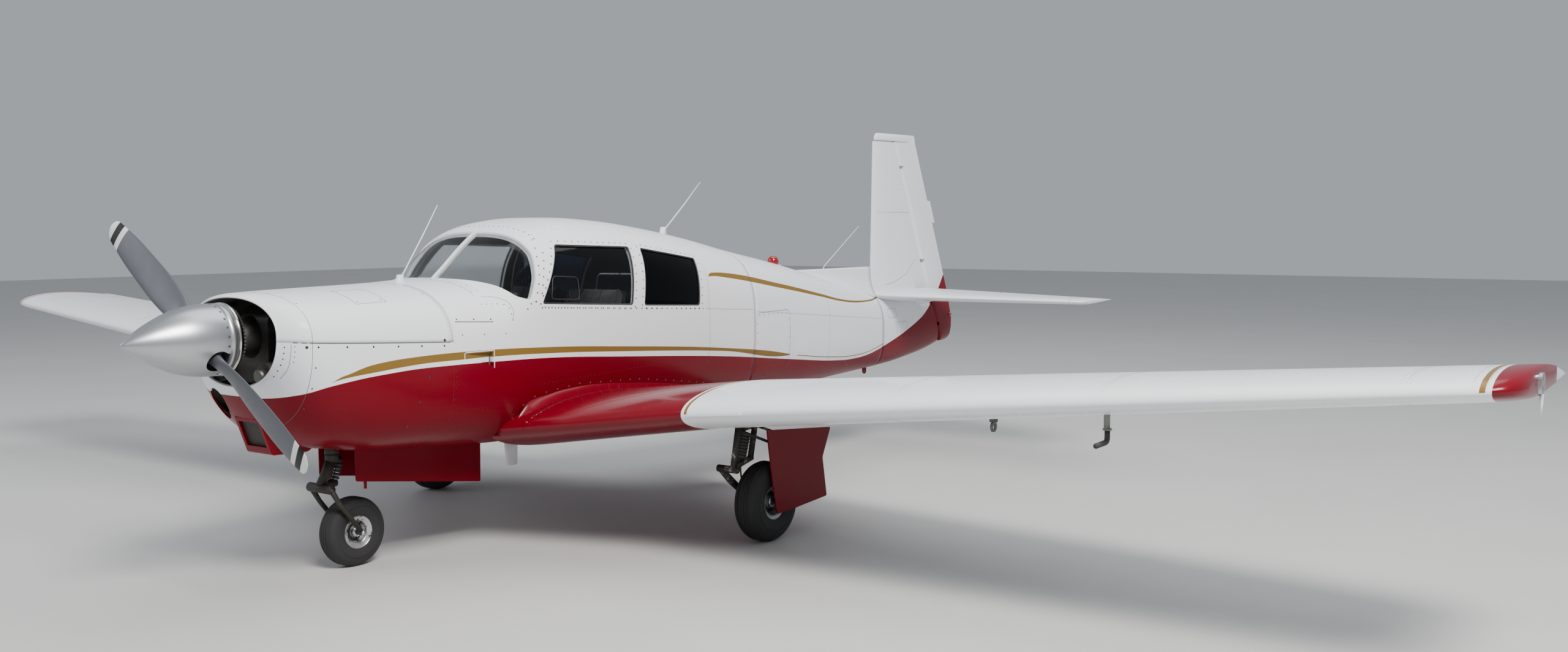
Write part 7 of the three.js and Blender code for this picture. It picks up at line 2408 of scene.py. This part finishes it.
nose_centre = nose_axle(0.0)
tyre(
    "nose_tyre_ribbed", "nose_wheel_tyre", "nose_wheel", nose_centre, NOSE_RADIUS, 0.063, 0.064,
    (0.018, 0.0, -0.018))
for title, side in (("left", 1), ("right", -1)):
    centre = main_axle(side * MAIN_X)
    wheel = "main_wheel_" + title
    tyre(
        "main_tyre_" + title, wheel + "_tyre", wheel, centre, MAIN_RADIUS, 0.077, 0.077,
        (0.030, 0.010, -0.010, -0.030))
    hub("main_rim_" + title, wheel + "_hub", wheel, centre, 0.077, 0.077, 0.020, side)
hub("nose_rim", "nose_wheel_hub", "nose_wheel", nose_centre, 0.063, 0.064, 0.015, 1)


# Nose gear and its doors
# A short leg and fork of dark greasy castings turn in a trunnion tube under the engine mount. The
# wheel trails behind the fork's elbow on two arms. A long door hangs beside the bay on each side.

STEER = 1.110
trunnion_pieces = [
    pipe(
        "trunnion", [at(0, STEER, 0.6003), at(0, STEER, 0.620), at(0, STEER, 0.740), at(0, STEER, 0.760)],
        [0.037, 0.034, 0.034, 0.030], [dark_enamel_and_shade], 32),
    pipe("trunnion_cross", [at(-0.120, STEER, 0.740), at(0.120, STEER, 0.740)], 0.010, [dark_enamel_and_shade]),
    pipe(
        "steering_rod",
        [at(0.030, STEER + 0.03, 0.640), at(0.075, STEER + 0.20, 0.690), at(0.085, FIREWALL - 0.001, 0.760)],
        0.006, [stud_metal], 12),
]
for side in (-1, 1):
    trunnion_pieces.append(pipe(
        "trunnion_arm", [at(side * 0.110, STEER, 0.740), at(side * 0.200, FIREWALL - 0.0003, 0.800)], 0.014,
        [dark_enamel_and_shade]))
trunnion = joined("nose_trunnion_assembly", trunnion_pieces, "airframe")
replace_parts(trunnion, "nose_gear_trunnion")

ARM_X, ELBOW = 0.083, 1.040
fork_pieces = [
    pipe(
        "steering_collar", [at(0, STEER, 0.5997), at(0, STEER, 0.590), at(0, STEER, 0.560)],
        [0.036, 0.034, 0.034], [dark_enamel_and_shade], 32),
    pipe(
        "leg_casting", [at(0, STEER, 0.575), at(0, 1.078, 0.515), at(0, ELBOW, 0.440)], [0.028, 0.024, 0.028],
        [dark_enamel_and_shade], 24),
    pipe("spring_strut", [at(0, STEER + 0.045, 0.560), at(0, 1.120, 0.452)], 0.016, [rim_silver], 24),
    pipe("spring_lug", [at(0, STEER, 0.570), at(0, STEER + 0.050, 0.560)], 0.020, [dark_enamel_and_shade]),
    pipe(
        "fork_bridge", [at(-ARM_X - 0.006, ELBOW, 0.430), at(ARM_X + 0.006, ELBOW, 0.430)], 0.024,
        [dark_enamel_and_shade], 28),
    pipe(
        "bridge_bolt", [at(-ARM_X - 0.014, ELBOW, 0.430), at(ARM_X + 0.014, ELBOW, 0.430)], 0.010,
        [stud_metal], 6),
    pipe("strut_foot", [at(0, ELBOW, 0.440), at(0, 1.130, 0.450)], 0.022, [dark_enamel_and_shade]),
    pipe("nose_axle", [nose_axle(-ARM_X - 0.012), nose_axle(ARM_X + 0.012)], 0.0146, [stud_metal], 24),
]
strut_top, strut_end = np.array(at(0, STEER + 0.045, 0.560)), np.array(at(0, 1.120, 0.452))
for i in range(5):
    low, high = (strut_top + (strut_end - strut_top) * t for t in (0.14 + i * 0.15, 0.25 + i * 0.15))
    fork_pieces.append(pipe(
        "spring_disc", [low, low * 0.5 + high * 0.5, high], [0.020, 0.0235, 0.020], [black_rubber_and_hole_shade], 24))
for side in (-1, 1):
    fork_pieces.append(pipe(
        "fork_arm", [at(side * ARM_X, ELBOW, 0.430), at(side * ARM_X, 1.090, 0.350), nose_axle(side * ARM_X)],
        [0.015, 0.0125, 0.013], [dark_enamel_and_shade], 20))
    fork_pieces.append(pipe(
        "axle_nut", [nose_axle(side * (ARM_X + 0.010)), nose_axle(side * (ARM_X + 0.018))], 0.016, [polished],
        6))
fork = joined("nose_fork_assembly", fork_pieces, "nose_fork")
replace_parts(fork, "nose_gear_fork")

belly_stations = steps(0.66, 0.76, 1.0, FIREWALL, 1.790, 2.110, spacing=0.05)
for side, title in ((1, "left"), (-1, "right")):
    x0, x1 = sorted((side * 0.147, side * 0.152))
    leaf = side_prism(
        rounded([(1.140, 0.640), (1.975, 0.590), (1.972, 0.348), (1.142, 0.466)], 0.012, 4), x0, x1,
        "nose_door_" + title, [red_paint])
    belly = outward(loft(
        "cutter", [body_arc(s, 0, 2 * math.pi, 97, -0.0003)[:-1] for s in belly_stations], []))
    combine(leaf, [belly], "DIFFERENCE")
    inner = side * 0.147
    ribs = [
        box_solid(*sorted((inner, inner - side * 0.010)), s, s + 0.012, 0.42, 0.56, "door_rib", [red_paint])
        for s in (1.20, 1.55, 1.90)]
    door = joined("nose_door_" + title, [leaf] + ribs, "airframe")
    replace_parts(door, "nose_gear_door_" + title)


# Exhaust, step, antennas and lights
# Small pieces round the airframe: a stub of heat-stained tailpipe, a step for the cabin door, white
# whip antennas, a belly blade, the pitot mast, a red beacon and the tip lights.

burnt_steel = mottled(
    "burnt_steel", (22.0, 5.0, 0.65), (0.035, 0.024, 0.018), (0.24, 0.19, 0.15), (0.35, 0.35), Metallic=0.8)

tail_pipe = pipe(
    "tail_pipe", bent([at(0.060, 1.262, 1.010), at(0.100, 1.300, 0.760), at(0.108, 1.440, 0.560)], 0.05, 8),
    0.027, [burnt_steel], 32)
combine(tail_pipe, [rod("cutter", (0.1048, 1.380, 0.648), (0.1092, 1.470, 0.516), 0.0235, 32)], "DIFFERENCE")
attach(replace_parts(tail_pipe, "exhaust_pipe"), "airframe")

step_pieces = [
    pipe(
        "step_tube",
        bent([at(-0.300, 3.560, 0.640), at(-0.405, 3.612, 0.450), at(-0.420, 3.620, 0.415)], 0.02, 5), 0.012,
        [gear_enamel]),
    box_solid(-0.470, -0.380, 3.590, 3.650, 0.408, 0.419, "step_plate", [gear_enamel]),
    box_solid(-0.466, -0.384, 3.594, 3.646, 0.4185, 0.420, "step_grip", [black_rubber_and_hole_shade]),
]
step_piece = joined("step_assembly", step_pieces, "airframe")
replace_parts(step_piece, "boarding_step")


def blade_mast(name, stations, heights, half_width, materials, x=0.0):
    """A streamlined blade between two heights; each end has its first and last station."""
    rings = []
    for (s0, s1), z in zip(stations, heights):
        turns = np.linspace(0, 2 * math.pi, 28, endpoint=False)
        chord = (s1 - s0) / 2
        middle = NOSE_Y + s0 + chord
        rings.append([
            (x + half_width * math.sin(a) * (1 + 0.35 * math.cos(a)), middle - chord * math.cos(a), z)
            for a in turns])
    return outward(loft(name, rings, materials))


# foot and tip of each whip on the centre line: station, height
WHIPS = [((1.561, 1.448), (1.834, 1.869)), ((3.687, 1.690), (4.074, 2.038))]
for i, ((s0, z0), (s1, z1)) in enumerate(WHIPS):
    foot = blade_mast(
        "whip_foot", [(s0 - 0.040, s0 + 0.050), (s0 - 0.020, s0 + 0.036), (s0 - 0.006, s0 + 0.030)],
        (z0 - 0.016, z0 + 0.014, z0 + 0.052), 0.017, [white_trim])
    whip = pipe(
        "whip_rod",
        [at(0, s0 + 0.005, z0 + 0.02), at(0, s0 * 0.4 + s1 * 0.6, z0 * 0.4 + z1 * 0.6), at(0, s1, z1)],
        [0.0045, 0.0034, 0.0022], [white_trim], 12)
    joined(f"whip_antenna_{i}", [foot, whip], "airframe")
rear_foot = blade_mast("whip_foot", [(5.462, 5.516), (5.478, 5.500)], (1.345, 1.385), 0.012, [white_trim])
rear_rod = pipe(
    "whip_rod", bent([at(0, 5.488, 1.350), at(0, 5.500, 1.432), at(0, 5.983, 1.736)], 0.04, 6), 0.0028,
    [white_trim], 12)
joined("whip_antenna_2", [rear_foot, rear_rod], "airframe")
belly_blade = blade_mast(
    "belly_blade", [(2.288, 2.402), (2.296, 2.396), (2.308, 2.392), (2.316, 2.388)],
    (0.560, 0.475, 0.384, 0.374), 0.009, [white_trim])
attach(belly_blade, "airframe")

red_glass = mottled(
    "red_glass", (40.0, 2.0, 0.5), (0.30, 0.004, 0.004), (0.50, 0.010, 0.008), Roughness=0.08,
    Transmission_Weight=0.5, Coat_Weight=0.5)
clear_lens = mottled(
    "clear_lens", (120.0, 2.0, 0.5), (0.05, 0.05, 0.06), (0.20, 0.20, 0.22), Roughness=0.06, Coat_Weight=0.6)

beacon_foot = blade_mast("beacon_foot", [(4.790, 4.975), (4.812, 4.955)], (1.440, 1.468), 0.045, [white_trim])
dome_radii = [0.040, 0.040, 0.036, 0.026, 0.012, 0.002]
dome_path = [at(0, 4.880, z) for z in (1.460, 1.492, 1.510, 1.522, 1.529, 1.531)]
beacon_dome = pipe("beacon_dome", dome_path, dome_radii, [red_glass], 32)
joined("beacon", [beacon_foot, beacon_dome], "airframe")

PITOT_X, PITOT_S, PITOT_TOP = 3.715, 2.290, 1.020
mast = blade_mast(
    "pitot_mast", [(PITOT_S - 0.022, PITOT_S + 0.022)] * 3, (PITOT_TOP, PITOT_TOP - 0.060, PITOT_TOP - 0.124),
    0.011, [inside_metal], PITOT_X)
collar = pipe(
    "pitot_collar", [at(PITOT_X, PITOT_S, PITOT_TOP - 0.124), at(PITOT_X, PITOT_S, PITOT_TOP - 0.132)], 0.020,
    [inside_metal], 20)
head = pipe("pitot_head", bent([
    at(PITOT_X, PITOT_S, PITOT_TOP - 0.130), at(PITOT_X, PITOT_S, PITOT_TOP - 0.182), at(
        PITOT_X, PITOT_S - 0.115, PITOT_TOP - 0.186)], 0.022, 6), 0.012, [black_rubber_and_hole_shade], 20)
joined("pitot_tube", [mast, collar, head], "airframe")

for side, title in ((1, "left"), (-1, "right")):
    x0, x1 = side * 5.3352, side * 5.349
    lamp_pieces = [
        side_prism(
            rounded([(2.440, 1.135), (2.510, 1.135), (2.510, 1.215), (2.440, 1.215)], 0.030, 6),
            *sorted((side * 5.328, x1)), "lamp_body", [polished]),
        side_prism(
            rounded([(2.510, 1.120), (2.545, 1.140), (2.545, 1.200), (2.510, 1.215)], 0.010, 4),
            *sorted((side * 5.325, x0)), "lamp_plate", [inside_metal]),
    ]
    for z in (1.155, 1.193):
        lamp_pieces.append(pipe(
            "lamp_lens", [at(side * 5.345, 2.473, z), at(side * 5.3505, 2.473, z)], [0.015, 0.012],
            [clear_lens], 24))
    lamp_pieces.append(pipe(
        "tip_wick",
        [at(side * 5.337, 2.520, 1.150), at(side * 5.337, 2.516, 1.090), at(side * 5.337, 2.520, 1.050)],
        [0.008, 0.006, 0.003], [white_trim], 12))
    joined("tip_lamp_" + title, lamp_pieces, "airframe")

tail_lamp = pipe(
    "tail_lamp", [at(0, 7.352, 0.985), at(0, 7.380, 0.984), at(0, 7.392, 0.983)], [0.018, 0.016, 0.006],
    [red_glass], 24)
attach(tail_lamp, "rudder")


# Floor, light and camera
# A plain pale floor under soft studio light. The camera stands where the photograph was taken
# from: ahead of the left wing, a little under two metres up.

CAMERA_PLACE = Vector((6.315, -7.244, 1.781))
YAW, PITCH, ROLL = math.radians(36.439), math.radians(-4.078), math.radians(-0.167)
FOCAL_PIXELS = 2413.3
IMAGE_WIDTH = 2560

floor_paint = mottled("floor_paint", (0.8, 6.0, 0.6), (0.50, 0.50, 0.49), (0.58, 0.58, 0.57), Roughness=0.55)
FLOOR = 40.0
floor = new_object(
    "floor", [(-FLOOR, -FLOOR, 0), (FLOOR, -FLOOR, 0), (FLOOR, FLOOR, 0), (-FLOOR, FLOOR, 0)], [(0, 1, 2, 3)],
    [floor_paint])

world = bpy.data.worlds.new("studio")
bpy.context.scene.world = world
world.use_nodes = True
world.node_tree.nodes["Background"].inputs[0].default_value = (0.86, 0.92, 1.0, 1)
world.node_tree.nodes["Background"].inputs[1].default_value = 0.45


def soft_light(name, place, target, size, power, colour):
    data = bpy.data.lights.new(name, "AREA")
    data.shape, data.size, data.size_y = "RECTANGLE", size[0], size[1]
    data.energy, data.color = power, colour
    obj = bpy.data.objects.new(name, data)
    obj.location = place
    obj.rotation_euler = (Vector(target) - Vector(place)).to_track_quat("-Z", "Y").to_euler()
    bpy.context.scene.collection.objects.link(obj)
    return obj


soft_light("key_light", (9.0, -6.0, 11.0), (0, 0, 1.0), (4.5, 4.5), 2900, (1.0, 0.97, 0.93))
soft_light("fill_light", (-10.0, -9.0, 7.0), (0, 0, 1.0), (9.0, 7.0), 500, (0.93, 0.96, 1.0))
soft_light("top_light", (0.0, 3.0, 12.0), (0, 1.0, 1.0), (10.0, 10.0), 700, (1.0, 1.0, 1.0))

forward = Vector((-math.sin(YAW) * math.cos(PITCH), math.cos(YAW) * math.cos(PITCH), math.sin(PITCH)))
level = Vector((math.cos(YAW), math.sin(YAW), 0))
right = math.cos(ROLL) * level + math.sin(ROLL) * level.cross(forward)
camera_up = right.cross(forward)
camera_data = bpy.data.cameras.new("camera")
camera_data.sensor_width = 36.0
camera_data.lens = FOCAL_PIXELS / IMAGE_WIDTH * camera_data.sensor_width
camera_data.clip_end = 200.0
camera = bpy.data.objects.new("camera", camera_data)
turn = Matrix((right, camera_up, -forward)).transposed()
camera.matrix_world = Matrix.Translation(CAMERA_PLACE) @ turn.to_4x4()
bpy.context.scene.collection.objects.link(camera)
bpy.context.scene.camera = camera
